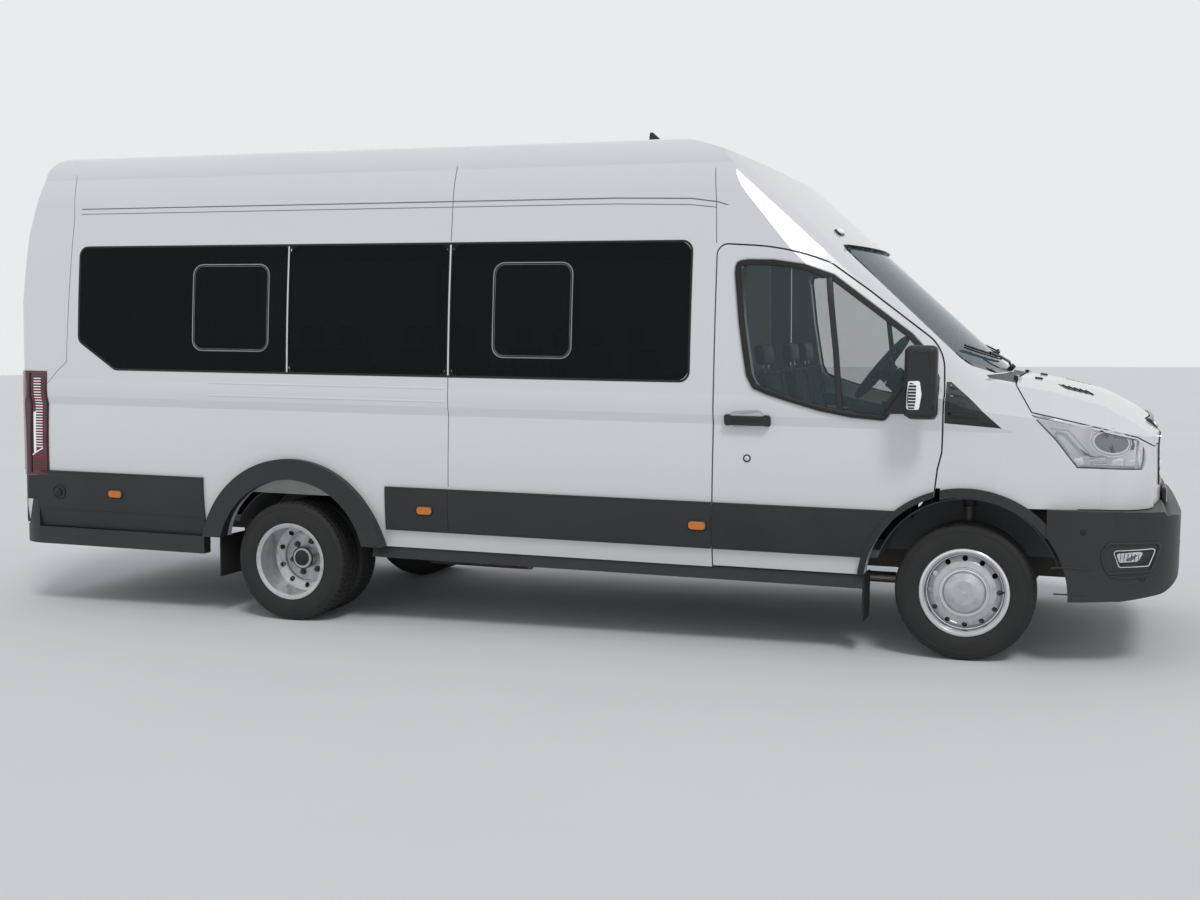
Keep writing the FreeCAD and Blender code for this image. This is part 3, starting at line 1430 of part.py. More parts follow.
def make_front_subframe():
    """Lower arms on a cross-member hung from the rails, and the strut top mounts."""
    rail_low = S.floor_top - S.floor_thickness - S.rail_depth
    under = ground_height(FRONT_AXLE + 60, rail_low) - S.seat_fit
    half = S.rail_offset + S.rail_width / 2
    parts = [block((FRONT_AXLE - 120, FRONT_AXLE + 120), (-half, half), (190, 250))]
    well = rod((FRONT_AXLE, -FAR, S.tyre_radius), (FRONT_AXLE, FAR, S.tyre_radius),
               FRONT_WELL - S.seat_fit)
    mounts = []
    for side in (-1, 1):
        low, high = kingpin(side)
        along = (high - low).normalize()
        centre = low - along * 14
        eye = rod(tuple(centre - along * 12), tuple(centre + along * 10), 26)
        arms = [rod((FRONT_AXLE + reach, side * (half - 20), 220),
                    (FRONT_AXLE, side * (S.kingpin_low_offset - 6), centre.z), 14)
                for reach in (-90, 90)]
        bore = rod(tuple(low - along * 60), tuple(low + along * 60), 12 + S.stub_clearance)
        clear = rod(tuple(low - along * 3), tuple(low + along * 200), 32)
        parts.append(fused([eye] + arms).cut(bore).cut(clear))
        y = sorted((side * (half - S.rail_width), side * half))
        parts.append(block((FRONT_AXLE - 60, FRONT_AXLE + 60), y, (240, under)))
        cup = rod(tuple(high + along * 3), tuple(high + along * 220), 34).common(well)
        mounts.append(cup.cut(rod(tuple(high), tuple(high + along * 60), 10 + S.stub_clearance)))
    piece("front_subframe", apart([fused(parts)] + mounts), LEVEL)


make_rear_axle()
make_knuckles()
make_front_subframe()


# Cabin fittings

def column_line():
    tilt = math.radians(S.steering_tilt)
    return Vector(1826, -S.driver_offset, 1470), Vector(math.cos(tilt), 0, -math.sin(tilt))


def make_dashboard():
    bulkhead = FRONT_HUB[0] - 50
    half = HALF - S.door_thickness - 95
    profile = [
        (bulkhead - S.seat_fit, 900),
        (bulkhead - S.seat_fit, 1330),
        (bulkhead - 120, 1372),
        (1960, 1370, "arc"),
        (1900, 1290),
        (1930, 1060),
        (2080, 900),
    ]
    centre, along = column_line()
    dash = prism("XZ", profile, -half, half)
    bore = rod(tuple(centre + along * 50), tuple(centre + along * 270), 18 + S.seat_fit)
    piece("dashboard", dash.cut(bore))


def make_steering_wheel():
    """Steering wheel with its column stub, turned about the column line."""
    centre, along = column_line()
    rim = Part.makeTorus(S.steering_wheel_radius, 15, centre, along)
    hub = rod(tuple(centre - along * 10), tuple(centre + along * 60), 55)
    spokes = []
    across = Vector(0, 1, 0)
    down = along.cross(across)
    for angle in (0, 180, 270):
        turn = math.radians(angle)
        direction = across * math.cos(turn) + down * math.sin(turn)
        start = centre + direction * 40 + along * 14
        end = centre + direction * (S.steering_wheel_radius - 6)
        spokes.append(rod(tuple(start), tuple(end), 13))
    shaft = rod(tuple(centre), tuple(centre + along * 255), 18)
    piece("steering_wheel", fused([rim, hub, shaft] + spokes))


def seat(x, y, width, floor, lean=12.0):
    """Plain cushion and back of one seat, as one solid."""
    half = width / 2
    tilt = math.tan(math.radians(lean))
    outline = [
        (x + 230, floor),
        (x + 245, floor + 110),
        (x - 130, floor + 100),
        (x - 130 - 620 * tilt, floor + 720),
        (x - 210 - 620 * tilt, floor + 720),
        (x - 235, floor),
    ]
    return prism("XZ", outline, y - half, y + half)


def make_seats():
    """Cab seats and rows of passenger seats, with their frames."""
    top = S.floor_top
    cab_x = S.door_rear + 430
    cab = [seat(cab_x, -S.driver_offset, 480, 880)]
    cab += [seat(cab_x, y, 430, 880) for y in (250, 690)]
    piece("cab_seats", apart(cab))
    rows = []
    frames = []
    for row in range(4):
        x = S.door_rear - 640 - row * S.seat_pitch
        places = (-720, -270, 640) if row < 3 else (-690, -235, 235, 690)
        for y in places:
            rows.append(seat(x, y, S.seat_width - 20, 960))
            frames.append(block((x - 150, x + 150), (y - 30, y + 30),
                                (top + S.seat_fit, 960 - S.seat_fit)))
    frames.append(block((cab_x - 190, cab_x + 190), (-S.driver_offset - 180, -S.driver_offset + 180),
                        (top + S.seat_fit, 880 - S.seat_fit)))
    frames.append(block((cab_x - 190, cab_x + 190), (120, 840), (top + S.seat_fit, 880 - S.seat_fit)))
    piece("passenger_seats", apart(rows))
    wells = [item for item in PIECES if item.Label == "floor"][0].Shape.copy()
    wells.Placement = LEVEL
    frames = [frame.cut(wells) for frame in frames]
    solids = [max(frame.Solids, key=lambda solid: solid.Volume) for frame in frames]
    piece("seat_frames", apart(solids))


def make_aerial():
    fin = [(371, S.roof_crown - 40), (481, S.roof_crown - 40), (470, S.roof_crown + 20),
           (400, S.roof_crown + 80), (385, S.roof_crown + 78)]
    solid = prism("XZ", fin, -9, 9)
    piece("aerial", solid.cut(OUTER))


def make_mud_flaps():
    parts = []
    for arch_x, radius, span in ((FRONT_HUB[0], S.front_arch_radius, (770, 985)),
                                 (REAR_ARCH_X, S.rear_arch_radius, (620, 1010))):
        x = arch_x - radius - 10 + S.seat_fit
        parts.append(block((x, x + 8), (-span[1], -span[0]), (200, S.sill_height - S.seat_fit)))
    parts += [mirrored(part) for part in parts]
    piece("mud_flaps", apart(parts))


make_dashboard()
make_steering_wheel()
make_seats()
make_aerial()
make_mud_flaps()


# Checks and files

doc.recompute()
for item in doc.Objects:
    if "Invalid" in item.State or "Error" in item.State:
        raise RuntimeError(item.Label + " failed to recompute")
os.makedirs("parts", exist_ok=True)
for item in PIECES:
    if item.Shape.isNull() or not item.Shape.isValid() or not item.Shape.Solids:
        raise RuntimeError(item.Label + " is not a valid solid")
    item.Shape.exportStep("parts/" + item.Label + ".step")
    box = item.Shape.BoundBox
    print(f"{item.Label:22s} {len(item.Shape.Solids):3d} solids"
          f"  x {box.XMin:8.1f} {box.XMax:8.1f}  y {box.YMin:8.1f} {box.YMax:8.1f}"
          f"  z {box.ZMin:8.1f} {box.ZMax:8.1f}")
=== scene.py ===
"""Looks for a high-roof passenger minibus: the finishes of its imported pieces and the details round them.

Every detail is drawn in the level body frame, or in the ground frame for the wheels, in metres, and
the body's small nose-down rake is put into its mesh at the end.
"""
import json
import math

import bmesh
import bpy
from mathutils import Matrix, Vector

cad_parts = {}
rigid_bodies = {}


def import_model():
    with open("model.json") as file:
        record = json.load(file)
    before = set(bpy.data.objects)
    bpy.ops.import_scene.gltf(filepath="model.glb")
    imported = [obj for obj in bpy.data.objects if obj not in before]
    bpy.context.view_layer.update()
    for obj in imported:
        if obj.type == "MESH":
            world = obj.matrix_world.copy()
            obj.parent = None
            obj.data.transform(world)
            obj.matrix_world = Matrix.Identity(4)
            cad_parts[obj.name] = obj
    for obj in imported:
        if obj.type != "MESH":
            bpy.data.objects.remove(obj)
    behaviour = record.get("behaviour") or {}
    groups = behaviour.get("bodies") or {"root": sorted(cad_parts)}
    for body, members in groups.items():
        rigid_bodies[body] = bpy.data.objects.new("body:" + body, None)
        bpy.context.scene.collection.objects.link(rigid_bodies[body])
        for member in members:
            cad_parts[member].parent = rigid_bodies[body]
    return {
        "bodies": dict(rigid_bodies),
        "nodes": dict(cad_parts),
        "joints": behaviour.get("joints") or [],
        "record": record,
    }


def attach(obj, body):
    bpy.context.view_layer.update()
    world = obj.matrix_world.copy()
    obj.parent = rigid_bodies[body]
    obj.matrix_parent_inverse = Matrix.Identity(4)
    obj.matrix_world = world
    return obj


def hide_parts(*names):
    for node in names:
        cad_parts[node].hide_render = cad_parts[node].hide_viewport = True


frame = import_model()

bl_info = {
    "name": "Minibus Looks",
    "version": (1, 0, 0),
    "blender": (4, 5, 0),
    "location": "View3D > Sidebar > Minibus",
    "description": "Finishes and details of a high-roof passenger minibus",
    "category": "Object",
}

RAKE = math.radians(0.9346)
NODES = frame["nodes"]
SLOTS = {part["material_slot"] for part in frame["record"]["subparts"]}
FRONT_AXLE = 2.329
REAR_AXLE = -1.421
HUB_HEIGHT = 0.343
HALF_WIDTH = 1.030


# Shader expressions

class Flow:
    """A value in a material, with arithmetic that adds Math nodes."""

    def __init__(self, finish, socket):
        self.finish = finish
        self.socket = socket

    def maths(self, operation, *values, clamp=False):
        settings = {"operation": operation, "use_clamp": clamp}
        return self.finish.node("Math", settings, dict(enumerate(values)))

    def __add__(self, other):
        return self.maths("ADD", self, other)

    def __radd__(self, other):
        return self.maths("ADD", other, self)

    def __sub__(self, other):
        return self.maths("SUBTRACT", self, other)

    def __rsub__(self, other):
        return self.maths("SUBTRACT", other, self)

    def __mul__(self, other):
        return self.maths("MULTIPLY", self, other)

    def __rmul__(self, other):
        return self.maths("MULTIPLY", other, self)

    def __truediv__(self, other):
        return self.maths("DIVIDE", self, other)

    def __gt__(self, other):
        return self.maths("GREATER_THAN", self, other)

    def __lt__(self, other):
        return self.maths("LESS_THAN", self, other)

    def clamped(self):
        return self.maths("ADD", self, 0.0, clamp=True)

    def absolute(self):
        return self.maths("ABSOLUTE", self)

    def sine(self):
        return self.maths("SINE", self)

    def fraction(self):
        return self.maths("FRACT", self)


class Finish:
    """One node material; constants stay on the shader's own sockets."""

    def __init__(self, name, colour, roughness, **constants):
        self.material = bpy.data.materials.new(name)
        self.material.use_nodes = True
        self.tree = self.material.node_tree
        self.shader = self.tree.nodes["Principled BSDF"]
        self.where = self.node("TexCoord", output="Object")
        self.feed("Base Color", (*colour, 1.0))
        self.feed("Roughness", roughness)
        for socket, value in constants.items():
            self.feed(socket.replace("_", " "), value)

    def node(self, kind, settings=None, values=None, output=0):
        node = self.tree.nodes.new("ShaderNode" + kind)
        for key, value in (settings or {}).items():
            if key == "stops":
                ramp = node.color_ramp
                while len(ramp.elements) < len(value):
                    ramp.elements.new(0.5)
                for element, (position, colour) in zip(ramp.elements, value):
                    element.position = position
                    element.color = (*colour, 1.0)
            else:
                setattr(node, key, value)
        for key, value in (values or {}).items():
            self.join(node.inputs[key], value)
        return Flow(self, node.outputs[output])

    def join(self, socket, value):
        if isinstance(value, Flow):
            self.tree.links.new(value.socket, socket)
        else:
            socket.default_value = value

    def feed(self, socket, value):
        self.join(self.shader.inputs[socket], value)
        return self

    def noise(self, scale, detail=2.0, stretch=(1.0, 1.0, 1.0)):
        vector = self.where
        if stretch != (1.0, 1.0, 1.0):
            vector = self.node("Mapping", None, {"Vector": self.where, "Scale": stretch})
        return self.node("TexNoise", None, {"Vector": vector, "Scale": scale, "Detail": detail})

    def cells(self, scale, feature="F1"):
        return self.node("TexVoronoi", {"feature": feature}, {"Vector": self.where, "Scale": scale})

    def axes(self):
        split = self.tree.nodes.new("ShaderNodeSeparateXYZ")
        self.tree.links.new(self.where.socket, split.inputs[0])
        return [Flow(self, output) for output in split.outputs]

    def blend(self, factor, first, second):
        first = first if isinstance(first, Flow) else (*first, 1.0)
        second = second if isinstance(second, Flow) else (*second, 1.0)
        return self.node("Mix", {"data_type": "RGBA"}, {0: factor, 6: first, 7: second}, output=2)

    def relief(self, height, distance, strength=1.0):
        values = {"Height": height, "Distance": distance, "Strength": strength}
        return self.feed("Normal", self.node("Bump", None, values))


FINISHES = {}


def paint_finish():
    """Cool white gloss enamel with a faint road film low down and a trace of orange peel."""
    f = Finish("body_paint", (0.79, 0.805, 0.825), 0.24, Coat_Weight=0.5, Coat_Roughness=0.08)
    _, _, z = f.axes()
    cloud = f.noise(1.1, 4.0)
    low = ((0.95 - z) * 1.6).clamped()
    film = (low * (cloud * 0.5 + 0.1)).clamped()
    tone = f.blend((cloud - 0.42) * 0.5, (0.80, 0.815, 0.835), (0.755, 0.77, 0.79))
    f.feed("Base Color", f.blend(film, tone, (0.50, 0.485, 0.45)))
    f.feed("Roughness", film * 0.5 + f.noise(9.0, 3.0) * 0.06 + 0.18)
    return f.relief(f.noise(230.0, 1.0), 0.0002, 0.10)


def cladding_finish():
    """Charcoal moulded plastic with a fine grain, faintly greyed where the weather reaches it."""
    f = Finish("grey_plastic", (0.024, 0.025, 0.028), 0.5)
    cloud = f.noise(2.6, 4.0)
    _, _, z = f.axes()
    dust = ((0.55 - z) * 1.8).clamped() * cloud
    aged = f.blend((cloud - 0.35) * 1.2, (0.018, 0.019, 0.022), (0.032, 0.034, 0.038))
    f.feed("Base Color", f.blend(dust * 0.4, aged, (0.14, 0.13, 0.12)))
    f.feed("Roughness", cloud * 0.22 + 0.36)
    return f.relief(f.cells(900.0), 0.0003, 0.5)


def trim_finish(name, colour, roughness, grain=700.0):
    """Moulded trim plastic with a fine grain."""
    f = Finish(name, colour, roughness)
    cloud = f.noise(5.0, 3.0)
    lighter = tuple(min(1.0, part * 1.6 + 0.004) for part in colour)
    f.feed("Base Color", f.blend((cloud - 0.4) * 1.5, colour, lighter))
    f.feed("Roughness", cloud * 0.16 + roughness - 0.06)
    return f.relief(f.cells(grain), 0.0003, 0.4)


def glass_finish(name, colour, alpha, film=0.02, index=1.5):
    """Window glass: a tint that lets the cabin show, under a clean gloss with faint dried marks."""
    f = Finish(name, colour, 0.02, IOR=index)
    marks = ((f.noise(3.0, 5.0) - 0.55) * 2.0).clamped()
    edge = f.node("Fresnel", None, {"IOR": 1.45})
    f.feed("Alpha", (edge * (1.0 - alpha) + alpha + marks * film).clamped())
    f.feed("Roughness", marks * 0.12 + 0.015)
    return f


def lens_finish(name, colour, alpha, rib, depth):
    """Moulded lamp lens with fine optics pressed into it."""
    f = Finish(name, colour, 0.08, IOR=1.49, Coat_Weight=0.6, Coat_Roughness=0.03)
    _, _, z = f.axes()
    stripes = (z * rib).sine()
    shade = tuple(part * 0.72 for part in colour)
    f.feed("Base Color", f.blend(stripes * 0.5 + 0.5, colour, shade))
    f.feed("Alpha", f.noise(30.0, 1.0) * 0.06 + alpha)
    return f.relief(stripes, depth, 0.5)


def tail_finish():
    """Tail lamp: a deep ruby lens, finely ribbed."""
    f = Finish("red_lens", (0.4, 0.01, 0.012), 0.12, Coat_Weight=1.0, Coat_Roughness=0.03)
    _, _, z = f.axes()
    ribs = (z * 420.0).sine()
    f.feed("Base Color", f.blend(ribs * 0.5 + 0.5, (0.12, 0.002, 0.012), (0.06, 0.001, 0.008)))
    return f.relief(ribs, 0.0012, 0.8)


def metal_finish(name, colour, roughness, metallic, grain, tint, amount, painted_glow=0.0):
    """Bare or painted metal with cloudy soiling of another tint; painted_glow gives a reflector a painted
    glow, an emission though its lamp is not lit.
    """
    # painted_glow is painted light: a constant emission that brightens reflectors of lamps that are not lit.
    f = Finish(name, colour, roughness, Metallic=metallic, Emission_Color=(*colour, 1.0),
               Emission_Strength=painted_glow)
    cloud = f.noise(7.0, 5.0)
    f.feed("Base Color", f.blend(((cloud - 0.42) * amount).clamped(), colour, tint))
    f.feed("Roughness", cloud * 0.24 + roughness - 0.08)
    return f.relief(f.noise(grain, 3.0), 0.0006, 0.35)


def wheel_finish():
    """Silver wheel enamel with cloudy patches of brake dust."""
    f = Finish("wheel_silver", (0.55, 0.56, 0.58), 0.34, Metallic=0.55, Coat_Weight=0.3)
    x, y, z = f.axes()
    cloud = f.noise(26.0, 4.0)
    ring = f.noise(240.0, 2.0)
    dust = ((cloud - 0.45) * 1.7 + ring * 0.18).clamped()
    f.feed("Base Color", f.blend(dust * 0.55, (0.58, 0.59, 0.61), (0.20, 0.18, 0.16)))
    f.feed("Roughness", dust * 0.4 + 0.28)
    return f.relief(ring, 0.0003, 0.3)


def tyre_finish():
    """Tyre rubber, dull on the tread, faintly browned and dusted on the shoulders."""
    f = Finish("tyre", (0.018, 0.018, 0.019), 0.72)
    cloud = f.noise(9.0, 5.0)
    fine = f.noise(420.0, 2.0)
    tone = f.blend((cloud - 0.35) * 1.6, (0.010, 0.010, 0.011), (0.028, 0.027, 0.025))
    f.feed("Base Color", f.blend(((fine - 0.6) * 1.5).clamped(), tone, (0.065, 0.06, 0.055)))
    f.feed("Roughness", cloud * 0.22 + 0.56)
    return f.relief(fine, 0.0006, 0.5)


def moquette_finish():
    """Hard-wearing woven seat cloth: fine crossing threads with small paler flecks."""
    f = Finish("seat_cloth", (0.03, 0.034, 0.045), 0.9, Sheen_Weight=0.35, Sheen_Roughness=0.5)
    x, y, z = f.axes()
    warp = ((y + z * 0.2) * 2600.0).sine()
    weft = ((z + x * 0.6) * 2600.0).sine()
    weave = warp * weft
    fleck = f.cells(95.0)
    base = f.blend(weave * 0.5 + 0.5, (0.020, 0.023, 0.032), (0.055, 0.060, 0.078))
    f.feed("Base Color", f.blend((fleck < 0.16) * 0.65, base, (0.16, 0.19, 0.26)))
    f.feed("Roughness", weave * 0.05 + 0.88)
    return f.relief(weave, 0.0008, 0.6)


def leatherette_finish():
    """Seat piping and headrest panels in grained coated cloth."""
    f = Finish("seat_trim", (0.022, 0.022, 0.024), 0.5, Sheen_Weight=0.1)
    grain = f.cells(420.0, "DISTANCE_TO_EDGE")
    f.feed("Base Color", f.blend(grain * 3.0, (0.012, 0.012, 0.013), (0.030, 0.030, 0.033)))
    f.feed("Roughness", f.noise(18.0, 3.0) * 0.2 + 0.38)
    return f.relief(grain, 0.0006, 0.7)


def webbing_finish():
    """Woven belt webbing: fine ribs along the strap under a soft sheen."""
    f = Finish("belt_webbing", (0.02, 0.02, 0.022), 0.7, Sheen_Weight=0.2, Sheen_Roughness=0.4)
    x, y, z = f.axes()
    weave = ((x + y) * 1900.0).sine() * (z * 1500.0).sine()
    f.feed("Base Color", f.blend(weave * 0.5 + 0.5, (0.012, 0.012, 0.014), (0.035, 0.035, 0.038)))
    f.feed("Roughness", weave * 0.08 + 0.66)
    return f.relief(weave, 0.0005, 0.6)


def floor_cover_finish():
    """Speckled grey safety flooring over the painted floor pressing."""
    f = Finish("floor_paint", (0.10, 0.105, 0.11), 0.7)
    speck = f.cells(330.0)
    cloud = f.noise(2.3, 4.0)
    tone = f.blend(cloud, (0.07, 0.074, 0.078), (0.12, 0.122, 0.125))
    f.feed("Base Color", f.blend((speck < 0.22) * 0.7, tone, (0.30, 0.31, 0.32)))
    f.feed("Roughness", cloud * 0.25 + 0.5)
    return f.relief(speck, 0.0006, 0.3)


def build_finishes():
    """Makes every material once."""
    table = {
        "body_paint": paint_finish(),
        "grey_plastic": cladding_finish(),
        "black_plastic": trim_finish("black_plastic", (0.016, 0.016, 0.018), 0.42),
        "gloss_black": trim_finish("gloss_black", (0.008, 0.008, 0.009), 0.16, 150.0),
        "cabin_plastic": trim_finish("cabin_plastic", (0.035, 0.036, 0.04), 0.6, 520.0),
        "lining": trim_finish("lining", (0.36, 0.355, 0.34), 0.85, 380.0),
        "rubber": trim_finish("rubber", (0.013, 0.013, 0.013), 0.7, 260.0),
        "clear_glass": glass_finish("clear_glass", (0.10, 0.16, 0.17), 0.20),
        "screen_glass": glass_finish("screen_glass", (0.13, 0.19, 0.23), 0.30),
        "privacy_glass": glass_finish("privacy_glass", (0.004, 0.005, 0.007), 0.80, 0.01, 1.22),
        "lamp_glass": glass_finish("lamp_glass", (0.90, 0.93, 0.96), 0.08, 0.03),
        # The last figure of this silver, 0.16, is a painted glow: emission standing in for light in the
        # reflectors of lamps that are not lit.
        "lamp_silver_painted_glow": metal_finish("lamp_silver_painted_glow", (0.92, 0.93, 0.95), 0.26, 0.0, 60.0,
                                    (0.72, 0.74, 0.78), 0.8, 0.16),
        "lamp_milk": lens_finish("lamp_milk", (0.80, 0.82, 0.84), 0.97, 900.0, 0.0004),
        "lamp_pearl": glass_finish("lamp_pearl", (0.42, 0.43, 0.43), 0.92, 0.05),
        "ruby": lens_finish("ruby", (0.17, 0.002, 0.008), 1.0, 700.0, 0.0006),
        "belt_webbing": webbing_finish(),
        # A grey for the door handles' scoops: painted shade standing in for the shadow in the recess, over
        # what is body paint.
        "scoop_painted_shade": metal_finish("scoop_painted_shade", (0.50, 0.51, 0.53), 0.3, 0.0, 60.0,
                                     (0.40, 0.41, 0.43), 1.0),
        "mat_rubber": trim_finish("mat_rubber", (0.03, 0.03, 0.032), 0.75, 180.0),
        "rail_yellow": trim_finish("rail_yellow", (0.62, 0.40, 0.03), 0.35, 300.0),
        "seam": trim_finish("seam", (0.16, 0.165, 0.175), 0.6, 90.0),
        "vent_grey": trim_finish("vent_grey", (0.30, 0.31, 0.33), 0.35, 500.0),
        "amber_lens": lens_finish("amber_lens", (0.86, 0.25, 0.012), 0.94, 900.0, 0.0006),
        "red_lens": tail_finish(),
        "chrome": metal_finish("chrome", (0.82, 0.83, 0.85), 0.12, 1.0, 120.0, (0.6, 0.61, 0.63), 0.6),
        "mirror_glass": metal_finish("mirror_glass", (0.85, 0.87, 0.9), 0.10, 1.0, 4.0,
                                     (0.8, 0.82, 0.86), 0.2),
        "chassis_paint": metal_finish("chassis_paint", (0.018, 0.018, 0.019), 0.5, 0.0, 90.0,
                                      (0.10, 0.075, 0.05), 1.6),
        "cast_metal": metal_finish("cast_metal", (0.16, 0.16, 0.165), 0.55, 0.7, 240.0,
                                   (0.10, 0.06, 0.035), 2.2),
        "exhaust_steel": metal_finish("exhaust_steel", (0.33, 0.31, 0.29), 0.42, 0.85, 160.0,
                                      (0.20, 0.11, 0.06), 2.4),
        "wheel_silver": wheel_finish(),
        "tyre": tyre_finish(),
        "seat_cloth": moquette_finish(),
        "seat_trim": leatherette_finish(),
        "floor_paint": floor_cover_finish(),
        "plate": trim_finish("plate", (0.72, 0.72, 0.70), 0.4, 120.0),
    }
    FINISHES.update({name: finish.material for name, finish in table.items()})


# Modelling helpers, all on Blender's own operators

def start_clean():
    """Nothing is selected or active, and the mode is object mode."""
    active = bpy.context.view_layer.objects.active
    if active is not None and active.mode != "OBJECT":
        bpy.ops.object.mode_set(mode="OBJECT")
    bpy.ops.object.select_all(action="DESELECT")


def active():
    return bpy.context.view_layer.objects.active


def fix_place():
    """Puts the active object's place, turn and scale into its mesh."""
    bpy.ops.object.transform_apply(location=True, rotation=True, scale=True)


def add_block(low, high):
    """A box between two corners, left active, with its place in its mesh."""
    start_clean()
    middle = [(a + b) / 2 for a, b in zip(low, high)]
    bpy.ops.mesh.primitive_cube_add(size=1.0, location=middle)
    active().scale = [abs(b - a) for a, b in zip(low, high)]
    fix_place()
    return active()


def add_rod(start, end, radius, tip=None, sides=24):
    """A round bar between two points, or a taper where tip is its far radius."""
    start_clean()
    start, end = Vector(start), Vector(end)
    along = end - start
    turn = along.to_track_quat("Z", "Y").to_euler()
    bpy.ops.mesh.primitive_cone_add(vertices=sides, radius1=radius,
                                    radius2=radius if tip is None else tip,
                                    depth=along.length, location=(start + end) / 2, rotation=turn)
    fix_place()
    return active()


def pick(piece, faces=None, edges=None, verts=None):
    """Enters edit mode and selects what passes a test on its place and normal."""
    bpy.context.view_layer.objects.active = piece
    if piece.mode != "EDIT":
        bpy.ops.object.mode_set(mode="EDIT")
    bpy.ops.mesh.select_all(action="DESELECT")
    kind = "FACE" if faces else "EDGE" if edges else "VERT"
    bpy.ops.mesh.select_mode(type=kind)
    mesh = bmesh.from_edit_mesh(piece.data)
    mesh.normal_update()
    if faces:
        for face in mesh.faces:
            face.select_set(bool(faces(face.calc_center_median(), face.normal)))
    elif edges:
        for edge in mesh.edges:
            a, b = (vert.co for vert in edge.verts)
            edge.select_set(bool(edges(a, b)))
    else:
        for vert in mesh.verts:
            vert.select_set(bool(verts(vert.co)))
    mesh.select_flush_mode()
    bmesh.update_edit_mesh(piece.data)


def finish_edit():
    if active().mode != "OBJECT":
        bpy.ops.object.mode_set(mode="OBJECT")


def apply_modifier(piece, kind, **settings):
    """Adds one modifier and applies it."""
    start_clean()
    bpy.context.view_layer.objects.active = piece
    piece.select_set(True)
    modifier = piece.modifiers.new(kind.title(), kind)
    for key, value in settings.items():
        setattr(modifier, key, value)
    bpy.ops.object.modifier_apply(modifier=modifier.name)
    return piece


def round_edges(piece, width, segments=2, angle=35.0):
    return apply_modifier(piece, "BEVEL", width=width, segments=segments, limit_method="ANGLE",
                          angle_limit=math.radians(angle), use_clamp_overlap=True)


FACINGS = {
    "right": (Vector((1, 0, 0)), Vector((0, 0, 1)), Vector((0, 1, 0))),
    "front": (Vector((0, 1, 0)), Vector((0, 0, 1)), Vector((-1, 0, 0))),
    "rear": (Vector((0, 1, 0)), Vector((0, 0, 1)), Vector((1, 0, 0))),
    "top": (Vector((1, 0, 0)), Vector((0, 1, 0)), Vector((0, 0, -1))),
    "ceiling": (Vector((1, 0, 0)), Vector((0, 1, 0)), Vector((0, 0, 1))),
    "cabin": (Vector((1, 0, 0)), Vector((0, 0, 1)), Vector((0, -1, 0))),
}


def at(side, across, up, depth=0.0):
    """A place named by two measures on a side of the vehicle and a depth below it."""
    first, second, inwards = FACINGS[side]
    return first * across + second * up + inwards * depth


def divided(points, step, closed):
    """The points of a line, with its long runs divided."""
    ends = points[1:] + (points[:1] if closed else [])
    path = []
    for (x0, z0), (x1, z1) in zip(points, ends):
        count = 1 if step is None else max(1, math.ceil(math.hypot(x1 - x0, z1 - z0) / step))
        path += [(x0 + (x1 - x0) * i / count, z0 + (z1 - z0) * i / count) for i in range(count)]
    return path if closed else path + [points[-1]]


def draw_chain(path):
    """Edges from point to point, left in edit mode."""
    start_clean()
    bpy.ops.mesh.primitive_plane_add(size=0.01, location=path[0])
    fix_place()
    bpy.ops.object.mode_set(mode="EDIT")
    bpy.ops.mesh.select_mode(type="VERT")
    bpy.ops.mesh.select_all(action="SELECT")
    bpy.ops.mesh.merge(type="CENTER")
    for before, after in zip(path, path[1:]):
        bpy.ops.mesh.extrude_vertices_move(TRANSFORM_OT_translate={"value": after - before})
    bpy.ops.mesh.select_all(action="SELECT")
    return active()


def draw_face(points, side="right", level=0.0, step=None):
    """A flat face of an outline, left selected in edit mode."""
    piece = draw_chain([at(side, *spot, level) for spot in divided(points, step, True)])
    bpy.ops.mesh.edge_face_add()
    return piece


def rounded(corners, radius, segments=6):
    """Corner points of a closed outline with each corner rounded to a radius."""
    result = []
    for i, corner in enumerate(corners):
        here = Vector(corner)
        back = Vector(corners[i - 1]) - here
        ahead = Vector(corners[(i + 1) % len(corners)]) - here
        half = back.angle(ahead) / 2
        reach = min(radius / math.tan(half), back.length * 0.48, ahead.length * 0.48)
        inner = reach * math.tan(half)
        centre = here + (back.normalized() + ahead.normalized()).normalized() * (inner / math.sin(half))
        first = here + back.normalized() * reach - centre
        last = here + ahead.normalized() * reach - centre
        turn = first.angle_signed(last)
        for step in range(segments + 1):
            spot = first.copy()
            spot.rotate(Matrix.Rotation(-turn * step / segments, 2))
            result.append(tuple(centre + spot))
    return result


def oblong(low, high, radius, segments=5):
    """A rectangle between two corners with its own corners rounded."""
    corners = [low, (low[0], high[1]), high, (high[0], low[1])]
    return rounded(corners, radius, segments)


def ring_points(centre, radius, count=32):
    return [(centre[0] + radius * math.cos(2 * math.pi * i / count),
             centre[1] + radius * math.sin(2 * math.pi * i / count)) for i in range(count)]


def thicken(side, thickness):
    """Pushes the selected faces of the piece in hand inwards to give them a body."""
    inwards = FACINGS[side][2]
    bpy.ops.mesh.extrude_region_move(TRANSFORM_OT_translate={"value": inwards * thickness})
    finish_edit()
    return face_outwards(active())


def plate(points, thickness, side="right", level=0.0, step=None):
    """A flat plate of an outline, its face at the level given."""
    draw_face(points, side, level, step)
    return thicken(side, thickness)


def frame_of(points, width, thickness, side="right", level=0.0, step=None):
    """A flat frame along the inside of an outline."""
    draw_face(points, side, level, step)
    bpy.ops.mesh.inset(thickness=width, use_boundary=True)
    bpy.ops.mesh.delete(type="FACE")
    bpy.ops.mesh.select_all(action="SELECT")
    return thicken(side, thickness)


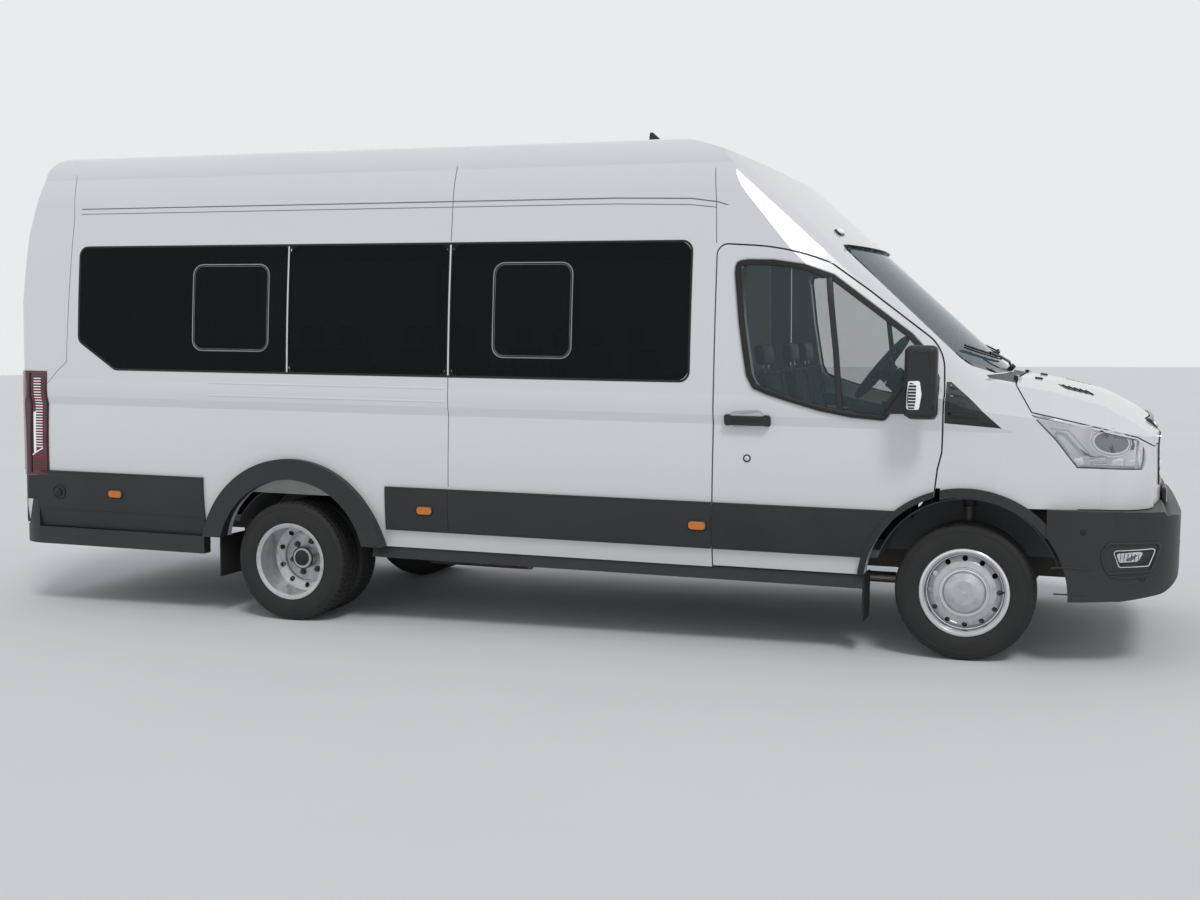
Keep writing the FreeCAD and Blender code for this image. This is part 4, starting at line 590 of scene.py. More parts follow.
def beside(points, offset, closed):
    """The points moved square to their own line, mitred at its corners."""
    result = []
    for i, point in enumerate(points):
        here = Vector(point)
        back = here - Vector(points[i - 1]) if closed or i else None
        ahead = Vector(points[(i + 1) % len(points)]) - here if closed or i < len(points) - 1 else None
        first = (back or ahead).normalized()
        last = (ahead or back).normalized()
        square = Vector((-first.y - last.y, first.x + last.x)).normalized()
        reach = offset / max(0.4, square.dot(Vector((-first.y, first.x))))
        result.append(tuple(here + square * reach))
    return result


def ribbon(points, width, thickness, side="right", level=0.0, closed=False, step=None):
    """A flat strip along a line, half its width to each side."""
    path = divided(points, step, closed)
    edges = []
    for offset in (-width / 2, width / 2):
        places = [at(side, *spot, level) for spot in beside(path, offset, closed)]
        draw_chain(places + places[:1] if closed else places)
        bpy.ops.mesh.remove_doubles(threshold=0.00001)
        finish_edit()
        edges.append(active())
    joined(edges)
    bpy.ops.object.mode_set(mode="EDIT")
    bpy.ops.mesh.select_mode(type="EDGE")
    bpy.ops.mesh.select_all(action="SELECT")
    bpy.ops.mesh.bridge_edge_loops()
    bpy.ops.mesh.select_all(action="SELECT")
    return thicken(side, thickness)


def tube(points, radius, rounds=2):
    """A round bar along a line of points."""
    draw_chain([Vector(point) for point in points])
    finish_edit()
    bpy.ops.object.convert(target="CURVE")
    active().data.bevel_depth = radius
    active().data.bevel_resolution = rounds
    active().data.use_fill_caps = True
    bpy.ops.object.convert(target="MESH")
    return face_outwards(active())


def lathe(profile, centre, steps=48, axis=(0, 1, 0)):
    """A shape turned about a line through a centre, from a profile of (along, radius) points."""
    along = Vector(axis)
    out = Vector((0, 0, 1)) if abs(along.z) < 0.9 else Vector((1, 0, 0))
    out = (out - along * out.dot(along)).normalized()
    centre = Vector(centre)
    draw_chain([centre + along * run + out * max(radius, 0.00001) for run, radius in profile])
    bpy.ops.mesh.spin(steps=steps, angle=2 * math.pi, center=centre, axis=along)
    finish_edit()
    return face_outwards(active())


def face_outwards(piece):
    start_clean()
    bpy.context.view_layer.objects.active = piece
    piece.select_set(True)
    bpy.ops.object.mode_set(mode="EDIT")
    bpy.ops.mesh.select_all(action="SELECT")
    bpy.ops.mesh.remove_doubles(threshold=0.00002)
    bpy.ops.mesh.normals_make_consistent(inside=False)
    bpy.ops.object.mode_set(mode="OBJECT")
    return piece


def joined(pieces):
    """Several objects as one."""
    start_clean()
    for piece in pieces:
        piece.select_set(True)
    bpy.context.view_layer.objects.active = pieces[0]
    if len(pieces) > 1:
        bpy.ops.object.join()
    return active()


def duplicate(piece):
    copy = piece.copy()
    copy.data = piece.data.copy()
    bpy.context.scene.collection.objects.link(copy)
    return copy


def moved(piece, offset):
    piece.data.transform(Matrix.Translation(Vector(offset)))
    return piece


def turned(piece, angle, axis, centre):
    """The mesh turned about an axis through a point, in degrees."""
    centre = Vector(centre)
    turn = Matrix.Rotation(math.radians(angle), 4, Vector(axis))
    piece.data.transform(Matrix.Translation(centre) @ turn @ Matrix.Translation(-centre))
    return piece


def mirrored(piece):
    """A copy on the other side of the middle plane."""
    copy = duplicate(piece)
    copy.data.transform(Matrix.Scale(-1.0, 4, Vector((0, 1, 0))))
    copy.data.flip_normals()
    return copy


def raked(piece):
    """Gives a piece drawn in the level body frame the body's rake."""
    piece.data.transform(Matrix.Rotation(RAKE, 4, "Y"))
    return piece


def cast(nodes, start, along, reach=1.0):
    """The nearest place and skin slope that a line in the level body frame meets on the nodes."""
    turn = Matrix.Rotation(RAKE, 3, "Y")
    start = Vector(start)
    best = None
    for name in nodes:
        hit, place, normal, _ = NODES[name].ray_cast(turn @ start, turn @ Vector(along))
        place = turn.transposed() @ place
        if hit and (place - start).length < reach:
            reach = (place - start).length
            best = place, turn.transposed() @ normal
    return best


HEIGHTS = {"right": -1.5, "front": -3.8, "rear": -3.8, "top": -3.1, "ceiling": 2.2, "cabin": 0.5}


def lay_on(piece, nodes, side="right", sink=0.0, reach=1.2):
    """Bends a flat piece on to the skin; its own depth becomes its depth in the skin."""
    first, second, inwards = FACINGS[side]
    depths = {}
    for vert in piece.data.vertices:
        key = (round(vert.co.dot(first), 4), round(vert.co.dot(second), 4))
        if key not in depths:
            found = cast(nodes, at(side, *key, HEIGHTS[side]), inwards, reach)
            depths[key] = found[0].dot(inwards) if found else None
    known = [(key, depth) for key, depth in depths.items() if depth is not None]
    if not known:
        raise ValueError("nothing under the piece on " + ", ".join(nodes))
    for vert in piece.data.vertices:
        key = (round(vert.co.dot(first), 4), round(vert.co.dot(second), 4))
        depth = depths[key]
        if depth is None:
            depth = min(known, key=lambda item: math.dist(item[0], key))[1]
        vert.co += inwards * (depth + sink)
    return piece


def set_on(piece, nodes, side, spot, sink=0.0):
    """Moves a stiff piece drawn at the origin on to the skin, square to it."""
    inwards = FACINGS[side][2]
    place, slope = cast(nodes, at(side, *spot, HEIGHTS[side]), inwards, 2.4)
    turn = (-inwards).rotation_difference(slope).to_matrix().to_4x4()
    piece.data.transform(Matrix.Translation(place - slope * sink) @ turn)
    return piece


def left_only(piece):
    """Turns a piece fitted on the right-hand side into its left-hand counterpart."""
    other = mirrored(piece)
    bpy.data.objects.remove(piece)
    return other


def complete(piece, name, body, finish, slot=None, angle=35.0):
    """Names a finished piece, smooths it, and gives it its finish and its body."""
    start_clean()
    piece.name = name
    piece.data.name = name
    bpy.context.view_layer.objects.active = piece
    piece.select_set(True)
    bpy.ops.object.shade_smooth_by_angle(angle=math.radians(angle))
    for modifier in list(piece.modifiers):
        bpy.ops.object.modifier_apply(modifier=modifier.name)
    if finish is not None:
        piece.data.materials.clear()
        piece.data.materials.append(FINISHES[finish])
    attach(piece, body)
    slot in SLOTS
    return piece


def on_body(piece, name, body, finish, slot=None, angle=35.0):
    """Finishes a piece that was drawn in the level body frame."""
    return complete(raked(piece), name, body, finish, slot, angle)


def both_sides(piece, name, bodies, finish, slot=None, angle=35.0):
    """Finishes a right-hand piece of the level body frame and its mirror image."""
    other = mirrored(piece)
    on_body(piece, name + "_right", bodies[0], finish, slot, angle)
    on_body(other, name + "_left", bodies[1], finish, slot, angle)


# Sizes and colours that a user would change

class MinibusSizes(bpy.types.PropertyGroup):
    """Sizes of the details."""

    tread_depth: bpy.props.FloatProperty(
        name="Tread depth", description="Depth of the tyre tread", default=0.008, unit="LENGTH")
    tread_blocks: bpy.props.IntProperty(
        name="Tread blocks", description="Blocks round one tyre", default=60, min=24, max=90)
    seal_width: bpy.props.FloatProperty(
        name="Seal width", description="Window rubber as seen from outside", default=0.022,
        unit="LENGTH")
    pad_crown: bpy.props.FloatProperty(
        name="Pad crown", description="How far seat pads swell", default=0.012, unit="LENGTH")


class MinibusStage(bpy.types.PropertyGroup):
    """Camera, light and floor."""

    lens: bpy.props.FloatProperty(
        name="Lens", description="Focal length on a 36 mm sensor", default=43.82, unit="CAMERA")
    backdrop: bpy.props.FloatVectorProperty(
        name="Backdrop", description="Colour behind the vehicle", default=(0.86, 0.88, 0.90),
        subtype="COLOR")
    sky_level: bpy.props.FloatProperty(
        name="Sky level", description="Strength of the surrounding light", default=0.53)
    sun_level: bpy.props.FloatProperty(
        name="Key level", description="Strength of the key light", default=0.9)


class MINIBUS_OT_stage(bpy.types.Operator):
    """Adds the floor, the lights and the camera at the photograph's view"""

    bl_idname = "minibus.stage"
    bl_label = "Stage"

    def execute(self, context):
        choice = context.scene.minibus_stage
        start_clean()
        bpy.ops.mesh.primitive_circle_add(vertices=96, radius=60.0, fill_type="NGON")
        floor = active()
        floor.name = "studio_floor"
        pale = Finish("studio_floor", tuple(choice.backdrop), 0.9)
        pale.feed("Base Color", pale.blend(pale.noise(0.8, 3.0), (0.80, 0.815, 0.83),
                                           (0.84, 0.855, 0.87)))
        floor.data.materials.append(pale.material)

        world = bpy.data.worlds.new("studio")
        context.scene.world = world
        world.use_nodes = True
        nodes, links = world.node_tree.nodes, world.node_tree.links
        path = nodes.new("ShaderNodeLightPath")
        seen = nodes.new("ShaderNodeMath")
        seen.operation = "MAXIMUM"
        links.new(path.outputs["Is Camera Ray"], seen.inputs[0])
        links.new(path.outputs["Is Transmission Ray"], seen.inputs[1])
        shown = nodes.new("ShaderNodeMath")
        shown.operation = "MAXIMUM"
        links.new(seen.outputs[0], shown.inputs[0])
        links.new(path.outputs["Is Glossy Ray"], shown.inputs[1])
        light = nodes["Background"]
        light.inputs["Color"].default_value = (0.93, 0.96, 1.0, 1.0)
        light.inputs["Strength"].default_value = choice.sky_level
        back = nodes.new("ShaderNodeBackground")
        back.inputs["Color"].default_value = (*choice.backdrop, 1.0)
        back.inputs["Strength"].default_value = 0.95
        mix = nodes.new("ShaderNodeMixShader")
        links.new(shown.outputs[0], mix.inputs[0])
        links.new(light.outputs[0], mix.inputs[1])
        links.new(back.outputs[0], mix.inputs[2])
        links.new(mix.outputs[0], nodes["World Output"].inputs[0])

        bpy.ops.object.light_add(type="SUN", location=(3.0, -6.0, 8.0))
        sun = active()
        sun.data.energy = choice.sun_level
        sun.data.angle = math.radians(14.0)
        sun.data.color = (1.0, 0.985, 0.96)
        sun.rotation_euler = Vector((0.42, -0.62, 0.95)).to_track_quat("Z", "Y").to_euler()

        bpy.ops.object.camera_add(location=(2.94907, -8.28148, 1.63095))
        camera = active()
        yaw, pitch, roll = (math.radians(value) for value in (-18.948, -4.566, -0.397))
        ahead = Vector((math.sin(yaw) * math.cos(pitch), math.cos(yaw) * math.cos(pitch),
                        math.sin(pitch)))
        level = Vector((math.cos(yaw), -math.sin(yaw), 0.0))
        up = level.cross(ahead)
        right = math.cos(roll) * level + math.sin(roll) * up
        up = -math.sin(roll) * level + math.cos(roll) * up
        camera.rotation_euler = Matrix((right, up, -ahead)).transposed().to_euler()
        camera.data.sensor_width = 36.0
        camera.data.lens = choice.lens
        camera.data.clip_end = 300.0
        context.scene.camera = camera
        context.scene.view_settings.view_transform = "Standard"
        return {"FINISHED"}


class MINIBUS_OT_finishes(bpy.types.Operator):
    """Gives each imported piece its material"""

    bl_idname = "minibus.finishes"
    bl_label = "Finishes"

    def execute(self, context):
        build_finishes()
        slots = {part["node"]: part["material_slot"] for part in frame["record"]["subparts"]}
        for name, node in NODES.items():
            finish = {"windscreen": "screen_glass"}.get(name, slots.get(name, "black_plastic"))
            node.data.materials.clear()
            node.data.materials.append(FINISHES[finish])
        return {"FINISHED"}


TYRE_HALF = [
    (80, 204), (88, 209), (92, 216), (90, 222), (95, 238), (97, 262), (96.5, 285), (94, 303),
    (95, 305), (93, 312), (90, 322), (84, 332), (76, 338.5), (70, 340.5), (58, 341.5), (56, 335),
    (50, 335), (48, 341.8), (24, 342.4), (22.5, 335), (15.5, 335), (14, 342.6), (0, 342.6),
]


class MINIBUS_OT_tyres(bpy.types.Operator):
    """Treads the six tyres: ribs between grooves, cross cuts out of step, ribbed sidewalls"""

    bl_idname = "minibus.tyres"
    bl_label = "Tyres"

    def execute(self, context):
        sizes = context.scene.minibus_sizes
        pitch = 2 * math.pi / sizes.tread_blocks
        profile = [(y / 1000, r / 1000) for y, r in TYRE_HALF]
        profile += [(-y, r) for y, r in reversed(profile[:-1])]
        draw_chain([Vector((0, y, r)) for y, r in profile])
        turns = [0.0]
        for share in (0.37, 0.13, 0.37, 0.13):
            bpy.ops.mesh.spin(steps=1, angle=pitch * share, center=(0, 0, 0), axis=(0, 1, 0))
            turns.append(turns[-1] + pitch * share)
        finish_edit()
        sector = face_outwards(active())
        way = 1 if sum(vert.co.x for vert in sector.data.vertices) > 0 else -1
        for low, high, reach, cut in ((turns[1], turns[2], (0.058, 0.084), sizes.tread_depth * 0.7),
                                      (turns[3], turns[4], (0.0, 0.048), sizes.tread_depth * 0.6)):
            middle = way * (low + high) / 2
            half = (high - low) / 2
            inwards = Vector((-math.sin(middle), 0, -math.cos(middle)))
            pick(sector, faces=lambda place, normal: abs(math.atan2(place.x, place.z) - middle) < half
                 and reach[0] < abs(place.y) < reach[1] and place.length > 0.3365)
            bpy.ops.mesh.extrude_region_move(TRANSFORM_OT_translate={"value": inwards * cut})
            finish_edit()
        for low, high in ((turns[0], turns[1]), (turns[2], turns[3])):
            middle = way * (low + high) / 2
            for sign in (-1, 1):
                pick(sector, faces=lambda place, normal: place.y * sign > 0.09
                     and abs(math.atan2(place.x, place.z) - middle) < (high - low) / 2
                     and 0.304 < math.hypot(place.x, place.z) < 0.312)
                push = Vector((0, sign * 0.0012, 0))
                bpy.ops.mesh.extrude_region_move(TRANSFORM_OT_translate={"value": push})
                finish_edit()
        copies = [sector]
        for index in range(1, sizes.tread_blocks):
            copies.append(turned(duplicate(sector), index * 360 / sizes.tread_blocks, (0, 1, 0),
                                 (0, 0, 0)))
        tyre = face_outwards(joined(copies))
        spots = [("front_tyre", "front_wheel", FRONT_AXLE, (0.868,)),
                 ("rear_tyres", "rear_wheels", REAR_AXLE, (0.936, 0.705))]
        for node, body, x, offsets in spots:
            for hand, sign in (("right", -1), ("left", 1)):
                pair = [moved(duplicate(tyre), (x, sign * offset, HUB_HEIGHT)) for offset in offsets]
                piece = joined(pair)
                complete(piece, "treaded_" + hand + "_" + node, hand + "_" + body, "tyre", "tyre", 28.0)
                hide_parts(hand + "_" + node)
        bpy.data.objects.remove(tyre)
        return {"FINISHED"}


class MINIBUS_OT_wheel_details(bpy.types.Operator):
    """Adds the bright rings, caps, nuts, balance weights and valves of the wheels"""

    bl_idname = "minibus.wheel_details"
    bl_label = "Wheel details"

    def execute(self, context):
        mm = 0.001
        cap = [(72, 104), (77, 104), (80, 108), (79, 113), (75, 116), (75, 121), (71, 124), (67, 124)]
        rings = [
            [(55, 183), (60, 184), (61, 187), (57, 189)],
            [(68, 193), (73, 195), (73, 199), (68, 201)],
            [(91, 204), (96, 205), (97, 211), (94, 217), (90, 219)],
        ]
        for hand, sign in (("right", -1), ("left", 1)):
            middle = sign * 0.868
            centre = (FRONT_AXLE, 0, HUB_HEIGHT)
            body = hand + "_front_wheel"
            turn = [(middle + sign * y * mm, r * mm) for y, r in cap]
            trim = lathe(turn, centre, 64)
            complete(trim, "cap_ring_" + hand, body, "chrome", "wheel_silver", 40.0)
            drawn = [lathe([(middle + sign * y * mm, r * mm) for y, r in ring], centre, 72)
                     for ring in rings]
            complete(joined(drawn), "flange_rings_" + hand, body, "chrome", "wheel_silver", 40.0)
            self.bosses(hand, sign, body, middle)
        for hand, sign in (("right", -1), ("left", 1)):
            self.rear_hub(hand, sign)
        return {"FINISHED"}

    def bosses(self, hand, sign, body, middle):
        """The valve and a balance weight."""
        valve = add_rod((FRONT_AXLE + 0.188, middle + sign * 0.035, HUB_HEIGHT),
                        (FRONT_AXLE + 0.172, middle + sign * 0.078, HUB_HEIGHT), 0.0045, 0.0028, 12)
        top = add_rod((FRONT_AXLE + 0.1735, middle + sign * 0.074, HUB_HEIGHT),
                      (FRONT_AXLE + 0.1705, middle + sign * 0.083, HUB_HEIGHT), 0.0048, 0.0048, 12)
        complete(round_edges(joined([valve, top]), 0.001), "valve_" + hand, body, "rubber", "rubber")
        weight = lathe([(middle + sign * 0.080, 0.190), (middle + sign * 0.088, 0.190),
                        (middle + sign * 0.088, 0.1945), (middle + sign * 0.080, 0.1945)],
                       (FRONT_AXLE, 0, HUB_HEIGHT), 72)
        pick(weight, faces=lambda place, normal: place.x - FRONT_AXLE > -0.17
             or abs(place.z - HUB_HEIGHT) > 0.03)
        bpy.ops.mesh.delete(type="FACE")
        bpy.ops.mesh.select_all(action="SELECT")
        bpy.ops.mesh.edge_face_add()
        finish_edit()
        apply_modifier(weight, "SOLIDIFY", thickness=0.001)
        complete(face_outwards(weight), "balance_weight_" + hand, body, "cast_metal", "wheel_silver")

    def rear_hub(self, hand, sign):
        """The hub with its ring of nuts and its cap, and the rolled lip of the outer rim."""
        mm = 0.001
        body = hand + "_rear_wheels"
        middle = sign * 0.8205
        centre = Vector((REAR_AXLE, 0, HUB_HEIGHT))
        nuts = []
        for index in range(6):
            angle = math.radians(60 * index + 12)
            spot = centre + Vector((0.095 * math.cos(angle), middle, 0.095 * math.sin(angle)))
            nut = add_rod(spot + Vector((0, sign * 0.008, 0)), spot + Vector((0, sign * 0.030, 0)),
                          0.0155, 0.0145, 6)
            stud = add_rod(spot + Vector((0, sign * 0.022, 0)), spot + Vector((0, sign * 0.041, 0)),
                           0.008, 0.0075, 12)
            seat = add_rod(spot + Vector((0, sign * 0.006, 0)), spot + Vector((0, sign * 0.013, 0)),
                           0.020, 0.018, 20)
            nuts += [round_edges(nut, 0.0015), round_edges(stud, 0.001), round_edges(seat, 0.001)]
        complete(joined(nuts), "wheel_nuts_" + hand, body, "cast_metal", "wheel_silver")
        profile = [(60, 66), (66, 66), (69, 62), (69, 54), (73, 50), (78, 36), (80, 18), (80.5, 0)]
        cap = lathe([(middle + sign * y * mm, r * mm) for y, r in profile], centre, 48)
        complete(cap, "hub_cap_" + hand, body, "gloss_black", "black_plastic")
        rolled = [(199, 204), (207, 205), (210, 212), (207, 219), (202, 220)]
        lip = lathe([(middle + sign * y * mm, r * mm) for y, r in rolled], centre, 72)
        ring = [(15, 138), (21, 140), (21, 147), (15, 150)]
        step = lathe([(middle + sign * y * mm, r * mm) for y, r in ring], centre, 72)
        complete(joined([lip, step]), "rim_lip_" + hand, body, "wheel_silver", "wheel_silver")


SIDE_PANELS = ["right_middle_panel", "right_rear_quarter", "roof", "side_glass"]
WINDOW_BAND = (1.400, 2.112)
WINDOW_ENDS = (0.915, -2.850)
WINDOW_JOINS = ((-0.425, -0.449), (-1.429, -1.445))
JOIN_GAP = 0.010
BAND_EDGE = [
    (WINDOW_ENDS[1], 1.565), (WINDOW_ENDS[1], 2.112), (WINDOW_ENDS[0], 2.112), (WINDOW_ENDS[0], 1.400),
    (-2.595, 1.400),
]
CAB_WINDOW = [
    (1.171, 1.953), (1.175, 1.991), (1.215, 1.997), (1.345, 1.995), (1.497, 1.973), (1.637, 1.923),
    (2.020, 1.638), (2.109, 1.543), (1.915, 1.245), (1.760, 1.256), (1.607, 1.283), (1.450, 1.325),
    (1.337, 1.359), (1.272, 1.385), (1.243, 1.439), (1.220, 1.570), (1.198, 1.707),
]
DOORS = ("right_cab_door", "left_cab_door")
BODY = ("body", "body")


class MINIBUS_OT_side_windows(bpy.types.Operator):
    """Edges the side windows with rubber and draws their sliding vents"""

    bl_idname = "minibus.side_windows"
    bl_label = "Side windows"

    def execute(self, context):
        width = context.scene.minibus_sizes.seal_width
        edge = beside(rounded(BAND_EDGE, 0.048), 0.004, True)
        rubber = ribbon(edge, width * 0.55, 0.008, level=-0.003, closed=True, step=0.09)
        rubber = round_edges(lay_on(rubber, SIDE_PANELS), 0.002, 1)
        both_sides(rubber, "window_rubber", BODY, "rubber", "rubber")
        both_sides(joined(self.joins()), "window_join", BODY, "privacy_glass", None)
        vents = []
        for low, high in (((-2.062, 1.516), (-1.561, 2.009)), ((-0.179, 1.504), (0.272, 2.010))):
            outline = oblong(low, high, 0.062, 8)
            vents.append(ribbon(outline, 0.006, 0.006, level=-0.0025, closed=True, step=0.09))
            inner = beside(outline, -0.010, True)
            vents.append(ribbon(inner, 0.0025, 0.003, level=-0.001, closed=True, step=0.09))
        vent = joined([round_edges(lay_on(piece, ["side_glass"]), 0.0015, 1) for piece in vents])
        both_sides(vent, "vent_frame", BODY, "vent_grey", "grey_plastic")
        return {"FINISHED"}

    def joins(self):
        """Glass edges that square the corners where two panes of the band meet."""
        low, high = WINDOW_BAND
        pieces = []
        for ahead, behind in WINDOW_JOINS:
            middle = (ahead + behind) / 2
            for sign, corner in ((1, 0.064), (-1, 0.064)):
                near = middle + sign * JOIN_GAP / 2
                far = near + sign * 0.014
                strip = ribbon([((near + far) / 2, low), ((near + far) / 2, high)], 0.014, 0.003,
                               level=-0.0012, step=0.03)
                pieces.append(lay_on(strip, SIDE_PANELS))
                for level, way in ((low, 1), (high, -1)):
                    tip = far + sign * corner
                    filler = plate([(far, level), (tip, level), (far, level + way * corner)], 0.003,
                                   level=-0.0012, step=0.03)
                    pieces.append(lay_on(filler, SIDE_PANELS))
        return pieces


class MINIBUS_OT_cab_windows(bpy.types.Operator):
    """Gives the cab door windows their rubber, its paler line and the quarter bar"""

    bl_idname = "minibus.cab_windows"
    bl_label = "Cab windows"

    def execute(self, context):
        nodes = ["right_cab_door", "right_door_glass"]
        edge = rounded(CAB_WINDOW, 0.012, 2)
        rubber = ribbon(beside(edge, 0.008, True), 0.030, 0.011, level=-0.006, closed=True, step=0.07)
        rubber = round_edges(lay_on(rubber, nodes), 0.004, 2)
        both_sides(rubber, "door_window_rubber", DOORS, "rubber", "rubber")
        line = ribbon(beside(edge, 0.024, True), 0.005, 0.006, level=-0.0085, closed=True, step=0.07)
        line = round_edges(lay_on(line, nodes), 0.001, 1)
        both_sides(line, "door_window_line", DOORS, "vent_grey", "grey_plastic")
        bar = ribbon([(1.626, 1.930), (1.673, 1.567), (1.702, 1.262)], 0.030, 0.014, level=-0.007,
                     step=0.05)
        bar = round_edges(lay_on(bar, ["right_door_glass"]), 0.004, 2)
        sweep = ribbon([(1.262, 1.386), (1.45, 1.322), (1.61, 1.280), (1.76, 1.253), (1.92, 1.240)],
                       0.016, 0.02, level=-0.008, step=0.06)
        sweep = round_edges(lay_on(sweep, ["right_cab_door", "right_door_glass"]), 0.004, 2)
        both_sides(joined([bar, sweep]), "quarter_bar", DOORS, "black_plastic", "black_plastic")
        return {"FINISHED"}


class MINIBUS_OT_screens(bpy.types.Operator):
    """Edges the windscreen and the rear windows with their dark borders"""

    bl_idname = "minibus.screens"
    bl_label = "Screens"

    def execute(self, context):
        for name, body, inset in (("windscreen", "body", 0.030), ("rear_glass_right", "rear_door_right",
                                                                0.022),
                                  ("rear_glass_left", "rear_door_left", 0.022)):
            pane = self.skin(name)
            border = self.border(pane, inset)
            complete(border, name + "_border", body, "gloss_black", "gloss_black")
            bpy.data.objects.remove(pane)
        return {"FINISHED"}

    def skin(self, name):
        """The outer face of a pane as a loose sheet."""
        source = NODES[name]
        pane = duplicate(source)
        way = Vector((1, 0, 0.8)) if name == "windscreen" else Vector((-1, 0, 0))
        face_outwards(pane)
        pick(pane, faces=lambda place, normal: normal.dot(way) < 0.35)
        bpy.ops.mesh.delete(type="FACE")
        finish_edit()
        return pane

    def border(self, pane, inset):
        """A printed border on a sheet: its faces less an inset of them, lifted a hair off the glass."""
        border = duplicate(pane)
        start_clean()
        border.select_set(True)
        bpy.context.view_layer.objects.active = border
        bpy.ops.object.mode_set(mode="EDIT")
        bpy.ops.mesh.select_all(action="SELECT")
        bpy.ops.mesh.dissolve_limited(angle_limit=math.radians(0.4))
        bpy.ops.mesh.select_all(action="SELECT")
        bpy.ops.mesh.inset(thickness=inset, use_boundary=True, use_even_offset=True)
        bpy.ops.mesh.delete(type="FACE")
        bpy.ops.mesh.select_all(action="SELECT")
        bpy.ops.transform.shrink_fatten(value=0.0008)
        finish_edit()
        return border


LAMP_EDGE = [
    (2.611, 1.270), (2.860, 1.221), (3.099, 1.160), (3.125, 1.142), (3.134, 1.112), (3.133, 1.06),
    (3.126, 1.010), (2.980, 1.012), (2.830, 1.016), (2.778, 1.082), (2.726, 1.150),
]


def oval(centre, radii, lean=0.0, count=36):
    """Points of an ellipse in a side view, leaning forwards by an angle in degrees."""
    turn = math.radians(lean)
    result = []
    for i in range(count):
        a = 2 * math.pi * i / count
        x, z = radii[0] * math.cos(a), radii[1] * math.sin(a)
        result.append((centre[0] + x * math.cos(turn) - z * math.sin(turn),
                       centre[1] + x * math.sin(turn) + z * math.cos(turn)))
    return result


